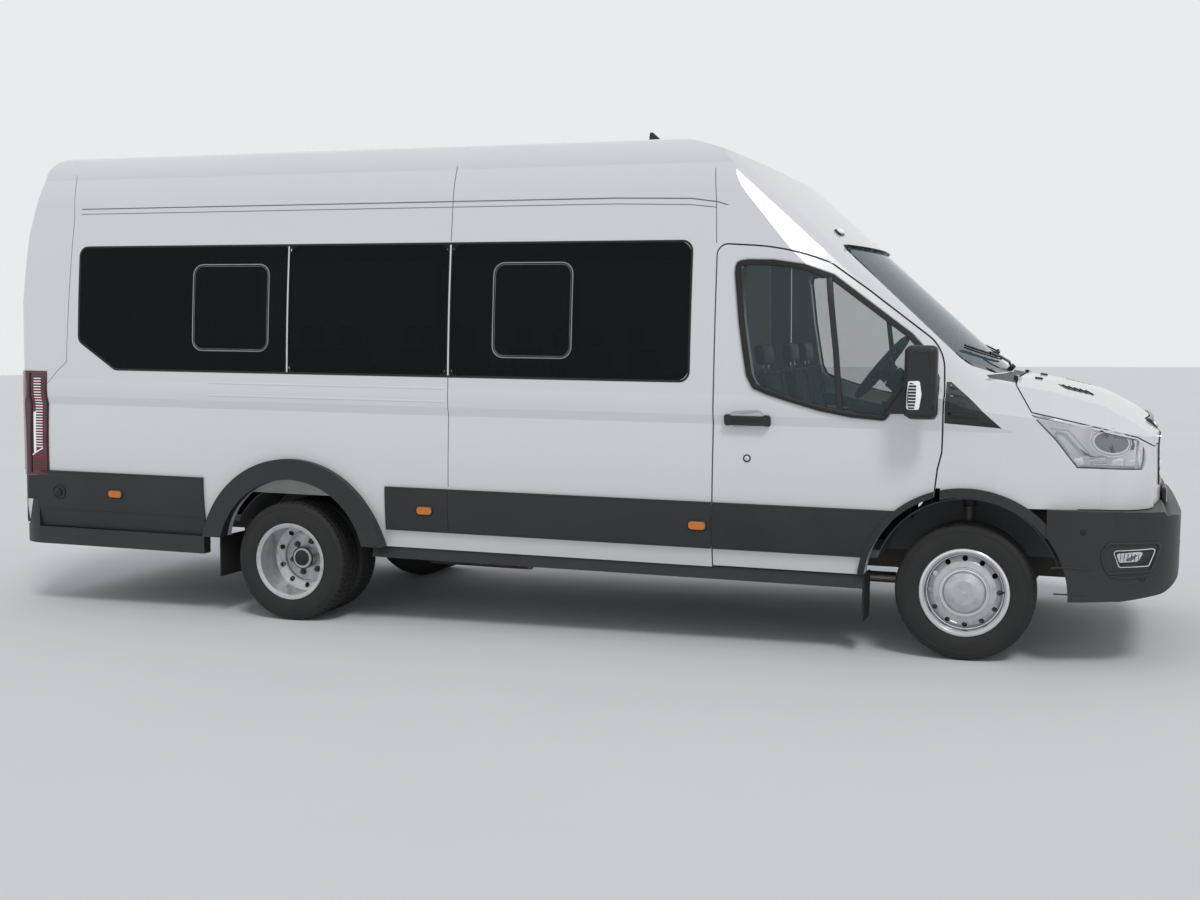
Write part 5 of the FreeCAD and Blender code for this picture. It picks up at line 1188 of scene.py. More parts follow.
class MINIBUS_OT_headlamps(bpy.types.Operator):
    """Builds each headlamp: clear lens, chrome bowl, projector, light strips and stepped reflectors"""

    bl_idname = "minibus.headlamps"
    bl_label = "Headlamps"

    def execute(self, context):
        node = NODES["front_lamps"]
        block = duplicate(node)
        face_outwards(block)
        pick(block, faces=lambda place, normal: place.y > 0)
        bpy.ops.mesh.delete(type="FACE")
        finish_edit()
        bowl = duplicate(block)
        pick(block, faces=lambda place, normal: normal.y > -0.02)
        bpy.ops.mesh.delete(type="FACE")
        finish_edit()
        lens = apply_modifier(block, "SOLIDIFY", thickness=0.003, offset=-1.0)
        pick(bowl, faces=lambda place, normal: normal.y < -0.02)
        bpy.ops.mesh.delete(type="FACE")
        finish_edit()
        bowl = apply_modifier(bowl, "SOLIDIFY", thickness=0.0015, offset=-1.0)
        # The bowl's silver carries a painted glow, though the lamp is not lit.
        self.lamp_pair(bowl, "lamp_bowl", "lamp_silver_painted_glow")
        self.inside()
        rim = ribbon(beside(LAMP_EDGE, -0.0045, True), 0.007, 0.02, level=0.0015, closed=True, step=0.05)
        lay_on(rim, ["front_lamps", "front_wings", "front_panel", "bonnet"])
        both_sides(rim, "lamp_gap", BODY, "rubber", "rubber")
        self.lamp_pair(lens, "lamp_lens", "lamp_glass", node=True)
        return {"FINISHED"}

    def lamp_pair(self, piece, name, finish, node=False):
        other = mirrored(piece)
        for side, half in (("right", piece), ("left", other)):
            complete(half, name + "_" + side, "body", finish, "lamp_glass", 30.0)
            if node:
                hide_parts("front_lamps")

    def inside(self):
        """Everything behind the lens, each part at its own depth below the skin."""
        nodes = ["front_lamps"]
        chrome, dark, milk, pearl = [], [], [], []
        ring = ribbon(oval((2.984, 1.143), (0.082, 0.054), -8), 0.012, 0.035, level=0.009, closed=True)
        chrome.append(round_edges(lay_on(ring, nodes), 0.003))
        collar = ribbon(oval((2.984, 1.143), (0.097, 0.069), -8), 0.010, 0.02, level=0.020, closed=True)
        chrome.append(round_edges(lay_on(collar, nodes), 0.003))
        face = plate(oval((2.984, 1.143), (0.076, 0.048), -8), 0.006, level=0.014, step=0.02)
        pearl.append(self.domed(lay_on(face, nodes), 0.010))
        bar = plate([(2.944, 1.186), (2.966, 1.184), (3.004, 1.096), (2.984, 1.094)], 0.018, level=0.004,
                    step=0.02)
        dark.append(round_edges(lay_on(bar, nodes), 0.003))
        crescent = ribbon([(3.052, 1.180), (3.077, 1.160), (3.084, 1.130), (3.080, 1.108)], 0.010,
                          0.018, level=0.006, step=0.01)
        dark.append(round_edges(lay_on(crescent, nodes), 0.002))
        for strip, width in (([(2.728, 1.188), (2.772, 1.176), (2.858, 1.078)], 0.016),
                             ([(2.727, 1.180), (2.733, 1.160), (2.796, 1.078)], 0.013),
                             ([(2.704, 1.206), (2.786, 1.196), (2.812, 1.170), (2.892, 1.078)], 0.006)):
            piece = ribbon(strip, width, 0.012, level=0.006, step=0.015)
            milk.append(round_edges(lay_on(piece, nodes), 0.003))
        tongue = plate([(2.632, 1.272), (2.700, 1.236), (2.872, 1.214), (2.905, 1.222), (2.860, 1.224)],
                       0.02, level=0.010, step=0.03)
        chrome.append(round_edges(lay_on(tongue, nodes), 0.004))
        for low, high, depth in ((2.806, 2.868, 0.012), (2.878, 2.972, 0.016), (2.982, 3.050, 0.012),
                                 (3.058, 3.116, 0.008)):
            cup = [(low, 1.030), (low + 0.010, 1.062), (high - 0.012, 1.062 + depth), (high, 1.030)]
            piece = plate(rounded(cup, 0.008, 3), 0.02, level=depth, step=0.02)
            chrome.append(round_edges(lay_on(piece, nodes), 0.004))
        step = plate([(2.838, 1.026), (2.852, 1.034), (3.118, 1.032), (3.118, 1.020), (2.98, 1.018)],
                     0.02, level=0.006, step=0.03)
        milk.append(round_edges(lay_on(step, nodes), 0.003))
        for index in range(7):
            run = 2.800 + index * 0.0085
            fin = ribbon([(run, 1.150 - index * 0.010), (run + 0.060, 1.078 - index * 0.001)], 0.003,
                         0.012, level=0.014, step=0.02)
            dark.append(lay_on(fin, nodes))
        for index in range(4):
            level = 1.043 + index * 0.010
            fin = ribbon([(2.886, level), (2.966, level)], 0.003, 0.008, level=0.010, step=0.03)
            dark.append(lay_on(fin, nodes))
        self.lamp_pair(raked(joined(chrome)), "lamp_bowls", "chrome")
        self.lamp_pair(raked(joined(dark)), "lamp_bezels", "gloss_black")
        self.lamp_pair(raked(joined(milk)), "lamp_strips", "lamp_milk")
        self.lamp_pair(raked(joined(pearl)), "lamp_projector", "lamp_pearl")

    def domed(self, piece, swell):
        """Swells the front of a small lens."""
        pick(piece, faces=lambda place, normal: normal.y < -0.5)
        bpy.ops.mesh.inset(thickness=0.012)
        bpy.ops.transform.translate(value=(0.002, -swell * 0.6, 0))
        bpy.ops.mesh.inset(thickness=0.014)
        bpy.ops.transform.translate(value=(0.001, -swell * 0.4, 0))
        finish_edit()
        return round_edges(piece, 0.002)


class MINIBUS_OT_grille(bpy.types.Operator):
    """Dresses the grille: chrome bars, a bare badge place with its ring, a mesh behind, a blank plate"""

    bl_idname = "minibus.grille"
    bl_label = "Grille"

    def execute(self, context):
        nodes = ["front_grille", "front_panel", "front_bumper"]
        bars = []
        for low, high, half in ((1.196, 1.222, 0.470), (1.140, 1.160, 0.525), (1.078, 1.098, 0.520),
                                (1.016, 1.036, 0.505), (0.956, 0.974, 0.490)):
            bar = plate(oblong((-half, low), (half, high), 0.008, 3), 0.016, "front", -0.007, 0.06)
            bars.append(round_edges(lay_on(bar, nodes, "front", reach=1.2), 0.003))
        on_body(joined(bars), "grille_bars", "body", "chrome", "chrome")
        edge = [(-0.470, 0.912), (-0.536, 1.108), (-0.452, 1.230), (0.452, 1.230), (0.536, 1.108),
                (0.470, 0.912)]
        surround = ribbon(rounded(edge, 0.034), 0.016, 0.018, "front", -0.006, True, 0.06)
        surround = round_edges(lay_on(surround, nodes, "front"), 0.004)
        on_body(surround, "grille_surround", "body", "gloss_black", "gloss_black")
        centre = (0.0, 1.1215)
        ring = ribbon(ring_points(centre, 0.068, 48), 0.010, 0.02, "front", -0.012, True)
        ring = round_edges(lay_on(ring, nodes, "front"), 0.003)
        on_body(ring, "badge_ring", "body", "chrome", "chrome")
        disk = plate(ring_points(centre, 0.063, 48), 0.014, "front", -0.008)
        disk = round_edges(lay_on(disk, nodes, "front"), 0.004, 3, 60)
        on_body(disk, "badge_blank", "body", "gloss_black", "gloss_black")
        teeth = []
        for index in range(17):
            across = -0.48 + index * 0.06
            if abs(across) > 0.075:
                fin = plate([(across - 0.003, 0.945), (across - 0.003, 1.195),
                             (across + 0.003, 1.195), (across + 0.003, 0.945)], 0.008, "front",
                            0.012, 0.05)
                teeth.append(lay_on(fin, nodes, "front"))
        on_body(joined(teeth), "grille_fins", "body", "black_plastic", "black_plastic")
        self.number_plate(nodes)
        return {"FINISHED"}

    def number_plate(self, nodes):
        """A blank plate in its holder below the grille."""
        holder = plate(oblong((-0.272, 0.744), (0.272, 0.872), 0.012), 0.020, "front", -0.012)
        blank = plate(oblong((-0.260, 0.752), (0.260, 0.864), 0.010), 0.004, "front", -0.0165)
        rim = ribbon(oblong((-0.257, 0.755), (0.257, 0.861), 0.009), 0.003, 0.003, "front", -0.0175,
                     True)
        place, _ = cast(nodes, at("front", 0.0, 0.80, -3.8), (-1, 0, 0), 1.2)
        stiff = [moved(piece, (place.x + 0.004, 0, 0)) for piece in (holder, blank, rim)]
        on_body(round_edges(stiff[0], 0.003), "plate_holder_front", "body", "black_plastic",
                "black_plastic")
        on_body(round_edges(stiff[1], 0.0008, 1), "plate_front", "body", "plate", "plate")
        on_body(stiff[2], "plate_line_front", "body", "rubber", "rubber")


class MINIBUS_OT_front_bumper(bpy.types.Operator):
    """Fog lamps in their frames, parking sensors, the step lines and the soft upper edge"""

    bl_idname = "minibus.front_bumper"
    bl_label = "Front bumper"

    def execute(self, context):
        nodes = ["front_bumper"]
        outer = [(2.957, 0.612), (2.988, 0.664), (3.200, 0.672), (3.222, 0.656), (3.184, 0.537),
                 (2.993, 0.519), (2.968, 0.560)]
        frame_edge = ribbon(rounded(outer, 0.018, 4), 0.013, 0.014, level=-0.006, closed=True, step=0.03)
        frame_edge = round_edges(lay_on(frame_edge, nodes), 0.004)
        both_sides(frame_edge, "fog_frame", BODY, "grey_plastic", "grey_plastic")
        inner = [(3.009, 0.630), (3.203, 0.645), (3.171, 0.561), (3.037, 0.553)]
        pan = plate(rounded(beside(inner, -0.006, True), 0.012, 4), 0.006, level=-0.0015, step=0.03)
        both_sides(lay_on(pan, nodes), "fog_pan", BODY, "gloss_black", "gloss_black")
        line = ribbon(rounded(inner, 0.012, 4), 0.005, 0.008, level=-0.004, closed=True, step=0.03)
        both_sides(round_edges(lay_on(line, nodes), 0.001, 1), "fog_line", BODY, "chrome", "chrome")
        lamp = [(3.023, 0.618), (3.122, 0.629), (3.146, 0.627), (3.122, 0.584), (3.038, 0.576)]
        bowl = plate(rounded(lamp, 0.010, 4), 0.006, level=-0.003, step=0.02)
        both_sides(lay_on(bowl, nodes), "fog_bowl", BODY, "chrome", "chrome")
        ribs = []
        for index in range(6):
            run = 3.046 + index * 0.016
            rib = ribbon([(run, 0.620), (run - 0.004, 0.584)], 0.0025, 0.004, level=-0.0045)
            ribs.append(lay_on(rib, nodes))
        both_sides(joined(ribs), "fog_ribs", BODY, "gloss_black", "gloss_black")
        lens = plate(rounded(beside(lamp, -0.004, True), 0.012, 4), 0.003, level=-0.0085, step=0.02)
        both_sides(round_edges(lay_on(lens, nodes), 0.001), "fog_lens", BODY, "lamp_glass", "lamp_glass")
        self.lines(nodes)
        self.sensors(nodes)
        self.intake(nodes)
        return {"FINISHED"}

    def lines(self, nodes):
        """Step lines beside the wheel arch, and the rolled upper edge."""
        upper = ribbon([(2.726, 0.538), (2.801, 0.545), (2.916, 0.537)], 0.009, 0.010, level=-0.004,
                       step=0.03)
        lower = ribbon([(2.744, 0.412), (2.820, 0.414), (2.895, 0.418)], 0.007, 0.010, level=-0.003,
                       step=0.03)
        brow = ribbon([(2.996, 0.508), (3.060, 0.500), (3.150, 0.510), (3.196, 0.524)], 0.012, 0.012,
                      level=-0.005, step=0.03)
        strips = [round_edges(lay_on(piece, nodes), 0.003) for piece in (upper, lower, brow)]
        both_sides(joined(strips), "bumper_lines", BODY, "grey_plastic", "grey_plastic")

    def sensors(self, nodes):
        """Round parking sensors, each in a thin ring."""
        pieces = []
        for spot, side in (((2.871, 0.717), "right"), ((3.144, 0.500), "right"),
                           ((-0.30, 0.60), "front"), ((0.30, 0.60), "front")):
            rim = ribbon(ring_points((0, 0), 0.0135), 0.003, 0.006, side, -0.002, True)
            cap = plate(ring_points((0, 0), 0.0105), 0.006, side, -0.0012)
            disk = joined([round_edges(rim, 0.0008, 1), round_edges(cap, 0.001, 2)])
            pieces.append((set_on(disk, nodes, side, spot), side))
        flank = joined([piece for piece, side in pieces if side == "right"])
        both_sides(flank, "corner_sensors", BODY, "gloss_black", "gloss_black")
        middle = joined([piece for piece, side in pieces if side == "front"])
        on_body(middle, "front_sensors", "body", "gloss_black", "gloss_black")

    def intake(self, nodes):
        """Honeycomb rods behind the lower intake's bars."""
        rods = []
        for index in range(24):
            across = -0.483 + index * 0.042
            rods.append(add_rod((3.170, across, 0.415), (3.170, across, 0.545), 0.003, sides=6))
        for level in (0.452, 0.508):
            rods.append(add_rod((3.170, -0.495, level), (3.170, 0.495, level), 0.003, sides=6))
        on_body(joined(rods), "intake_mesh", "body", "black_plastic", "black_plastic")


class MINIBUS_OT_doors(bpy.types.Operator):
    """Handles in their scoops, locks, hinge-side louvres and the inner door cards"""

    bl_idname = "minibus.doors"
    bl_label = "Doors"

    def execute(self, context):
        skin = ["right_cab_door"]
        # The scoop is a grey plate laid on the skin: painted shade for its recess, whose real finish is body
        # paint.
        scoop = plate(rounded([(1.140, 1.165), (1.130, 1.250), (1.305, 1.262), (1.335, 1.180)], 0.040, 8),
                      0.003, level=-0.0012, step=0.03)
        both_sides(round_edges(lay_on(scoop, skin), 0.001), "handle_scoop", DOORS, "scoop_painted_shade",
                   "body_paint")
        bezels = []
        for low, high in (((1.112, 1.176), (1.150, 1.234)), ((1.312, 1.176), (1.352, 1.234))):
            bezels.append(plate(oblong(low, high, 0.014), 0.024, level=-0.020, step=0.03))
        grip = ribbon([(1.146, 1.206), (1.230, 1.212), (1.318, 1.206)], 0.030, 0.014, level=-0.036,
                      step=0.02)
        handle = joined([round_edges(lay_on(piece, skin), 0.005, 3) for piece in bezels + [grip]])
        both_sides(handle, "handle_grip", DOORS, "black_plastic", "black_plastic")
        rim = ribbon(ring_points((1.232, 1.011), 0.0165), 0.007, 0.006, level=-0.004, closed=True)
        both_sides(round_edges(lay_on(rim, skin), 0.0015), "lock_rim", DOORS, "black_plastic",
                   "black_plastic")
        barrel = plate(ring_points((1.232, 1.011), 0.013), 0.006, level=-0.003)
        slot = plate(oblong((1.2312, 1.004), (1.2328, 1.018), 0.0005, 1), 0.003, level=-0.0036)
        both_sides(round_edges(lay_on(barrel, skin), 0.001), "lock_barrel", DOORS, "chrome", None)
        both_sides(lay_on(slot, skin), "lock_slot", DOORS, "rubber", "rubber")
        self.louvres()
        self.cards()
        return {"FINISHED"}

    def louvres(self):
        """Blades on the black triangle at the foot of the pillar, split at the shut line."""
        blades = [
            [(2.159, 1.421), (2.226, 1.415), (2.266, 1.380), (2.207, 1.388), (2.160, 1.407)],
            [(2.164, 1.372), (2.227, 1.364), (2.286, 1.352), (2.215, 1.346)],
            [(2.165, 1.330), (2.302, 1.322), (2.338, 1.290), (2.171, 1.292)],
            [(2.168, 1.276), (2.338, 1.270), (2.372, 1.242), (2.172, 1.246)],
        ]
        for name, node, bodies, keep in (("door_louvre", "right_door_trim", DOORS, (-9.0, 2.182)),
                                         ("wing_louvre", "side_mouldings", BODY, (2.228, 9.0))):
            pieces = []
            for blade in blades:
                inside = self.clipped(blade, *keep)
                if len(inside) > 2:
                    piece = plate(inside, 0.008, level=-0.0025, step=0.03)
                    pieces.append(round_edges(lay_on(piece, [node]), 0.003))
            both_sides(joined(pieces), name, bodies, "gloss_black", "black_plastic")

    def clipped(self, outline, low, high):
        """The part of an outline between two upright lines."""
        for limit, sign in ((low, 1), (high, -1)):
            kept = []
            for first, last in zip(outline, outline[1:] + outline[:1]):
                inside, leaves = (sign * (spot[0] - limit) >= 0 for spot in (first, last))
                if inside:
                    kept.append(first)
                if inside != leaves:
                    share = (limit - first[0]) / (last[0] - first[0])
                    kept.append((limit, first[1] + share * (last[1] - first[1])))
            outline = kept
        return outline

    def cards(self):
        """Inner door cards with an armrest, a pocket and a speaker."""
        skin = ["right_cab_door"]
        edge = [(1.110, 0.520), (1.110, 1.200), (1.300, 1.270), (1.620, 1.205), (1.900, 1.170),
                (2.080, 1.150), (2.080, 0.980), (1.960, 0.900), (1.830, 0.760), (1.760, 0.520)]
        card = plate(rounded(edge, 0.030), 0.010, "cabin", -0.010, 0.12)
        rest = plate(oblong((1.230, 0.985), (1.700, 1.050), 0.025), 0.050, "cabin", -0.058, 0.10)
        pocket = plate(oblong((1.180, 0.560), (1.700, 0.700), 0.030), 0.036, "cabin", -0.045, 0.10)
        cards = [round_edges(lay_on(piece, skin, "cabin", reach=1.2), 0.006) for piece in
                 (card, rest, pocket)]
        ring = ribbon(ring_points((1.830, 0.900), 0.070), 0.012, 0.010, "cabin", -0.018, True)
        pull = ribbon([(1.36, 1.10), (1.42, 1.125), (1.52, 1.125), (1.57, 1.10)], 0.020, 0.02, "cabin",
                      -0.030, step=0.03)
        more = [round_edges(lay_on(piece, skin, "cabin", reach=1.2), 0.003) for piece in (ring, pull)]
        both_sides(joined(cards + more), "door_card", DOORS, "cabin_plastic", "cabin_plastic")


class MINIBUS_OT_mirrors(bpy.types.Operator):
    """Glasses, side lamps, split lines and foot rims of the door mirrors"""

    bl_idname = "minibus.mirrors"
    bl_label = "Mirrors"

    def execute(self, context):
        skin = ["right_door_trim"]
        panes, rims = [], []
        for low, high in (((-1.212, 1.372), (-1.112, 1.578)), ((-1.206, 1.262), (-1.116, 1.350))):
            rim = ribbon(oblong(low, high, 0.020), 0.010, 0.010, "rear", -0.006, True, 0.05)
            pane = plate(oblong((low[0] + 0.004, low[1] + 0.004), (high[0] - 0.004, high[1] - 0.004),
                                0.017), 0.004, "rear", -0.0025, 0.05)
            rims.append(round_edges(lay_on(rim, skin, "rear", reach=6.5), 0.002))
            panes.append(lay_on(pane, skin, "rear", reach=6.5))
        both_sides(joined(panes), "mirror_pane", DOORS, "mirror_glass", None)
        both_sides(joined(rims), "mirror_rim", DOORS, "black_plastic", "black_plastic")
        # The side lamp's lens and its ribs below are silver with a painted glow, though the lamp is not lit.
        lamp = [(2.058, 1.428), (2.112, 1.430), (2.122, 1.366), (2.110, 1.292), (2.050, 1.292),
                (2.052, 1.370)]
        lens = plate(rounded(lamp, 0.010), 0.008, level=-0.0018, step=0.02)
        lens = round_edges(lay_on(lens, skin), 0.003)
        both_sides(lens, "mirror_lamp", DOORS, "lamp_silver_painted_glow", "lamp_glass")
        ribs = []
        for index in range(8):
            level = 1.306 + index * 0.015
            ribs.append(lay_on(ribbon([(2.060, level), (2.110, level)], 0.004, 0.004, level=-0.0023),
                               skin))
        both_sides(joined(ribs), "mirror_lamp_ribs", DOORS, "lamp_silver_painted_glow", None)
        split = ribbon([(2.070, 1.560), (2.150, 1.566), (2.158, 1.500), (2.156, 1.300), (2.132, 1.262)],
                       0.006, 0.006, level=-0.0002, step=0.03)
        foot = ribbon([(2.056, 1.262), (2.090, 1.254), (2.140, 1.256)], 0.012, 0.008, level=-0.0005,
                      step=0.02)
        trim = joined([round_edges(lay_on(piece, skin), 0.002) for piece in (split, foot)])
        both_sides(trim, "mirror_split", DOORS, "gloss_black", "black_plastic")
        return {"FINISHED"}


class MINIBUS_OT_body_lines(bpy.types.Operator):
    """Waist ribs, moulding edges, marker bezels, the sliding door's rail and handle, the fuel flap"""

    bl_idname = "minibus.body_lines"
    bl_label = "Body lines"

    def execute(self, context):
        ribs = []
        for level, rear, front in ((1.330, -1.950, -0.452), (1.258, -1.950, -0.452)):
            rib = ribbon([(rear, level), (front, level)], 0.012, 0.008, level=-0.0022, step=0.10)
            ribs.append(round_edges(lay_on(rib, ["right_rear_quarter"]), 0.0035, 3))
        both_sides(joined(ribs), "waist_rib", BODY, "body_paint", "body_paint")
        edges = []
        for rear, front in ((-3.150, -1.990), (-0.790, -0.440), (-0.434, 1.040)):
            for level in (0.772, 0.541):
                edge = ribbon([(rear, level), (front, level)], 0.007, 0.008, level=-0.0028, step=0.10)
                edges.append(round_edges(lay_on(edge, ["side_mouldings"]), 0.002))
        both_sides(joined(edges), "moulding_edge", BODY, "grey_plastic", "grey_plastic")
        edges = []
        for points in ([(1.060, 0.772), (1.860, 0.772)], [(1.060, 0.541), (1.790, 0.541)]):
            edge = ribbon(points, 0.007, 0.008, level=-0.0028, step=0.08)
            edges.append(round_edges(lay_on(edge, ["right_door_trim"]), 0.002))
        both_sides(joined(edges), "door_moulding_edge", DOORS, "grey_plastic", "grey_plastic")
        self.seams()
        self.corners()
        self.markers()
        self.sliding_door()
        self.fuel_flap()
        return {"FINISHED"}

    def seams(self):
        """Fine lines of the roof gutter and of the joints between the panels."""
        nodes = ["roof", "right_middle_panel", "right_rear_quarter"]
        gutter = [(-2.860, 2.343), (0.500, 2.343), (0.900, 2.334), (1.045, 2.314), (1.140, 2.282),
                  (1.216, 2.252), (1.271, 2.227)]
        lower = [(-2.860, 2.313), (0.500, 2.313), (0.900, 2.302), (1.040, 2.286)]
        pillar = [(1.020, 2.490), (1.037, 2.308), (1.047, 2.103)]
        corner = [(-2.935, 2.550), (-2.915, 2.375), (-2.909, 2.283), (-2.943, 1.434), (-3.011, 1.378),
                  (-3.081, 1.304)]
        lines = [self.seam(points, width, nodes) for points, width in
                 ((gutter, 0.006), (lower, 0.004), (pillar, 0.004), (corner, 0.003))]
        both_sides(joined(lines), "panel_line", BODY, "seam", "body_paint")
        middle = [self.seam([(-0.437, low), (-0.437, high)], 0.004, nodes)
                  for low, high in ((2.128, 2.540), (0.790, 1.388))]
        on_body(joined(middle), "middle_line", "body", "seam", "body_paint")
        base = plate(oblong((-0.046, -0.024), (0.046, 0.024), 0.020), 0.014, "front", -0.010)
        lens = plate(oblong((-0.036, -0.016), (0.036, 0.016), 0.014), 0.014, "front", -0.020)
        # The roof lamp's silver lens carries a painted glow, though the lamp is not lit.
        for piece, name, finish, slot in ((base, "roof_lamp_base", "gloss_black", "black_plastic"),
                                          (lens, "roof_lamp", "lamp_silver_painted_glow", "lamp_glass")):
            piece = set_on(round_edges(piece, 0.006, 3), ["roof"], "front", (-0.600, 2.171))
            both_sides(piece, name, BODY, finish, slot)

    def seam(self, points, width, nodes):
        return lay_on(ribbon(points, width, 0.0015, level=-0.0008, step=0.015), nodes)

    def corners(self):
        """Moulding round the foot of the rear corners, under the tail lamps."""
        nodes = ["right_rear_quarter"]
        parts = []
        for index in range(16):
            level = 0.733 - index * 0.018
            end = -3.163 if level > 0.595 else -3.262
            strip = ribbon([(-3.281, level), (end, level)], 0.0195, 0.004, level=-0.0016, step=0.006)
            parts.append(lay_on(strip, nodes, reach=0.62))
        back = plate([(-0.988, 0.470), (-0.988, 0.743), (-0.880, 0.743), (-0.880, 0.640),
                      (-0.903, 0.470)], 0.004, "rear", -0.0016, 0.02)
        parts.append(lay_on(back, nodes, "rear", reach=1.0))
        both_sides(joined(parts), "corner_moulding", BODY, "grey_plastic", "grey_plastic")

    def markers(self):
        """Bezels and fine ribs of the amber side markers."""
        bezels, ribs = [], []
        for x in (-2.604, -0.575, 0.977):
            ring = ribbon(oblong((x - 0.049, 0.630), (x + 0.049, 0.679), 0.021), 0.007, 0.012,
                          level=-0.004, closed=True)
            bezels.append(round_edges(lay_on(ring, ["side_mouldings", "marker_lamps"]), 0.002))
            for index in range(11):
                run = x - 0.035 + index * 0.007
                rib = ribbon([(run, 0.640), (run, 0.669)], 0.002, 0.002, level=-0.0008)
                ribs.append(lay_on(rib, ["marker_lamps"]))
        both_sides(joined(bezels), "marker_bezel", BODY, "black_plastic", "black_plastic")
        both_sides(joined(ribs), "marker_ribs", BODY, "amber_lens", "amber_lens")

    def sliding_door(self):
        """The left-hand door's rail along the quarter and its pull handle."""
        nodes = ["right_rear_quarter"]
        rail = ribbon([(-1.900, 1.296), (-0.470, 1.296)], 0.030, 0.006, level=-0.002, step=0.10)
        lips = [ribbon([(-1.905, level), (-0.468, level)], 0.006, 0.012, level=-0.008, step=0.10)
                for level in (1.282, 1.310)]
        slot = left_only(lay_on(rail, nodes))
        on_body(slot, "door_rail_slot", "body", "gloss_black", "black_plastic")
        lip = left_only(joined([round_edges(lay_on(piece, nodes), 0.002) for piece in lips]))
        on_body(lip, "door_rail_lips", "body", "body_paint", "body_paint")
        skin = ["right_middle_panel"]
        base = plate(oblong((0.790, 1.160), (0.990, 1.262), 0.030), 0.006, level=-0.002, step=0.04)
        grip = ribbon([(0.812, 1.213), (0.890, 1.218), (0.968, 1.213)], 0.034, 0.018, level=-0.036,
                      step=0.02)
        ends = [plate(oblong((x, 1.196), (x + 0.026, 1.232), 0.008), 0.036, level=-0.030)
                for x in (0.800, 0.954)]
        handle = joined([round_edges(lay_on(piece, skin), 0.004) for piece in [base, grip] + ends])
        on_body(left_only(handle), "sliding_door_handle", "body", "black_plastic", "black_plastic")

    def fuel_flap(self):
        """A round-cornered flap low on the left-hand side, with its finger notch."""
        edge = ribbon(oblong((0.600, 0.880), (0.790, 1.090), 0.035), 0.004, 0.003, level=-0.0008,
                      closed=True, step=0.04)
        notch = plate(oblong((0.604, 0.960), (0.616, 1.010), 0.005), 0.003, level=-0.0009)
        flap = joined([lay_on(piece, ["right_middle_panel"]) for piece in (edge, notch)])
        on_body(left_only(flap), "fuel_flap_line", "body", "rubber", "rubber")


class MINIBUS_OT_front_details(bpy.types.Operator):
    """Wipers with their arms, washer jets and bonnet vents"""

    bl_idname = "minibus.front_details"
    bl_label = "Front details"

    def glass(self, across, rise, proud):
        """A place on the windscreen, a distance above its bowed foot."""
        level = 1.448 + 0.085 * (across / 0.85) ** 2 + rise
        place, slope = cast(["windscreen"], (3.6, across, level), (-1, 0, 0), 2.6)
        return place + slope * proud

    def execute(self, context):
        arms, blades = [], []
        for pivot, far, side in ((-0.020, -0.640, -1), (0.700, 0.075, -1)):
            start, end = pivot + side * 0.02, far
            rises = [0.060 + 0.020 * share for share in (0.0, 0.2, 0.4, 0.6, 0.8, 1.0)]
            path = [self.glass(start + (end - start) * index / 5, rise, 0.010)
                    for index, rise in enumerate(rises)]
            blades.append(tube(path, 0.0042, 2))
            spine = [self.glass(start + (end - start) * index / 5, rise + 0.004, 0.020)
                     for index, rise in enumerate(rises)]
            blades.append(tube(spine, 0.0055, 2))
            hub = self.glass(pivot, 0.012, 0.012)
            middle = (start + end) / 2
            arm = [hub, self.glass(pivot + (middle - pivot) * 0.3, 0.030, 0.034),
                   self.glass(pivot + (middle - pivot) * 0.7, 0.056, 0.034),
                   self.glass(middle, 0.074, 0.026)]
            arms.append(tube(arm, 0.0075, 2))
            post = add_rod(hub - Vector((0.02, 0, 0.02)), hub + Vector((0.014, 0, 0.016)), 0.016, 0.013)
            arms.append(round_edges(post, 0.003))
        on_body(joined(arms), "wiper_arms", "body", "gloss_black", "black_plastic")
        on_body(joined(blades), "wiper_blades", "body", "rubber", "rubber")
        jets = []
        for across in (-0.36, 0.36):
            jet = plate(oblong((2.600, across - 0.018), (2.640, across + 0.018), 0.008), 0.012, "top",
                        -0.009)
            jets.append(round_edges(lay_on(jet, ["bonnet"], "top", reach=2.2), 0.004))
        on_body(joined(jets), "washer_jets", "bonnet", "black_plastic", "black_plastic")
        self.vents()
        return {"FINISHED"}

    def vents(self):
        """Dark vents at the back corners of the bonnet, with slats."""
        edge = [(2.712, -0.470), (2.858, -0.440), (2.905, -0.545), (2.762, -0.590)]
        pan = plate(rounded(edge, 0.018), 0.006, "top", -0.0015, 0.05)
        parts = [lay_on(pan, ["bonnet"], "top", reach=2.2)]
        for index in range(5):
            run = 2.742 + index * 0.028
            slat = ribbon([(run, -0.470 + index * 0.004), (run + 0.036, -0.562 + index * 0.006)], 0.008,
                          0.008, "top", -0.006, step=0.04)
            parts.append(round_edges(lay_on(slat, ["bonnet"], "top", reach=2.2), 0.002))
        vent = raked(joined(parts))
        other = mirrored(vent)
        complete(vent, "bonnet_vent_right", "bonnet", "black_plastic", "black_plastic")
        complete(other, "bonnet_vent_left", "bonnet", "black_plastic", "black_plastic")


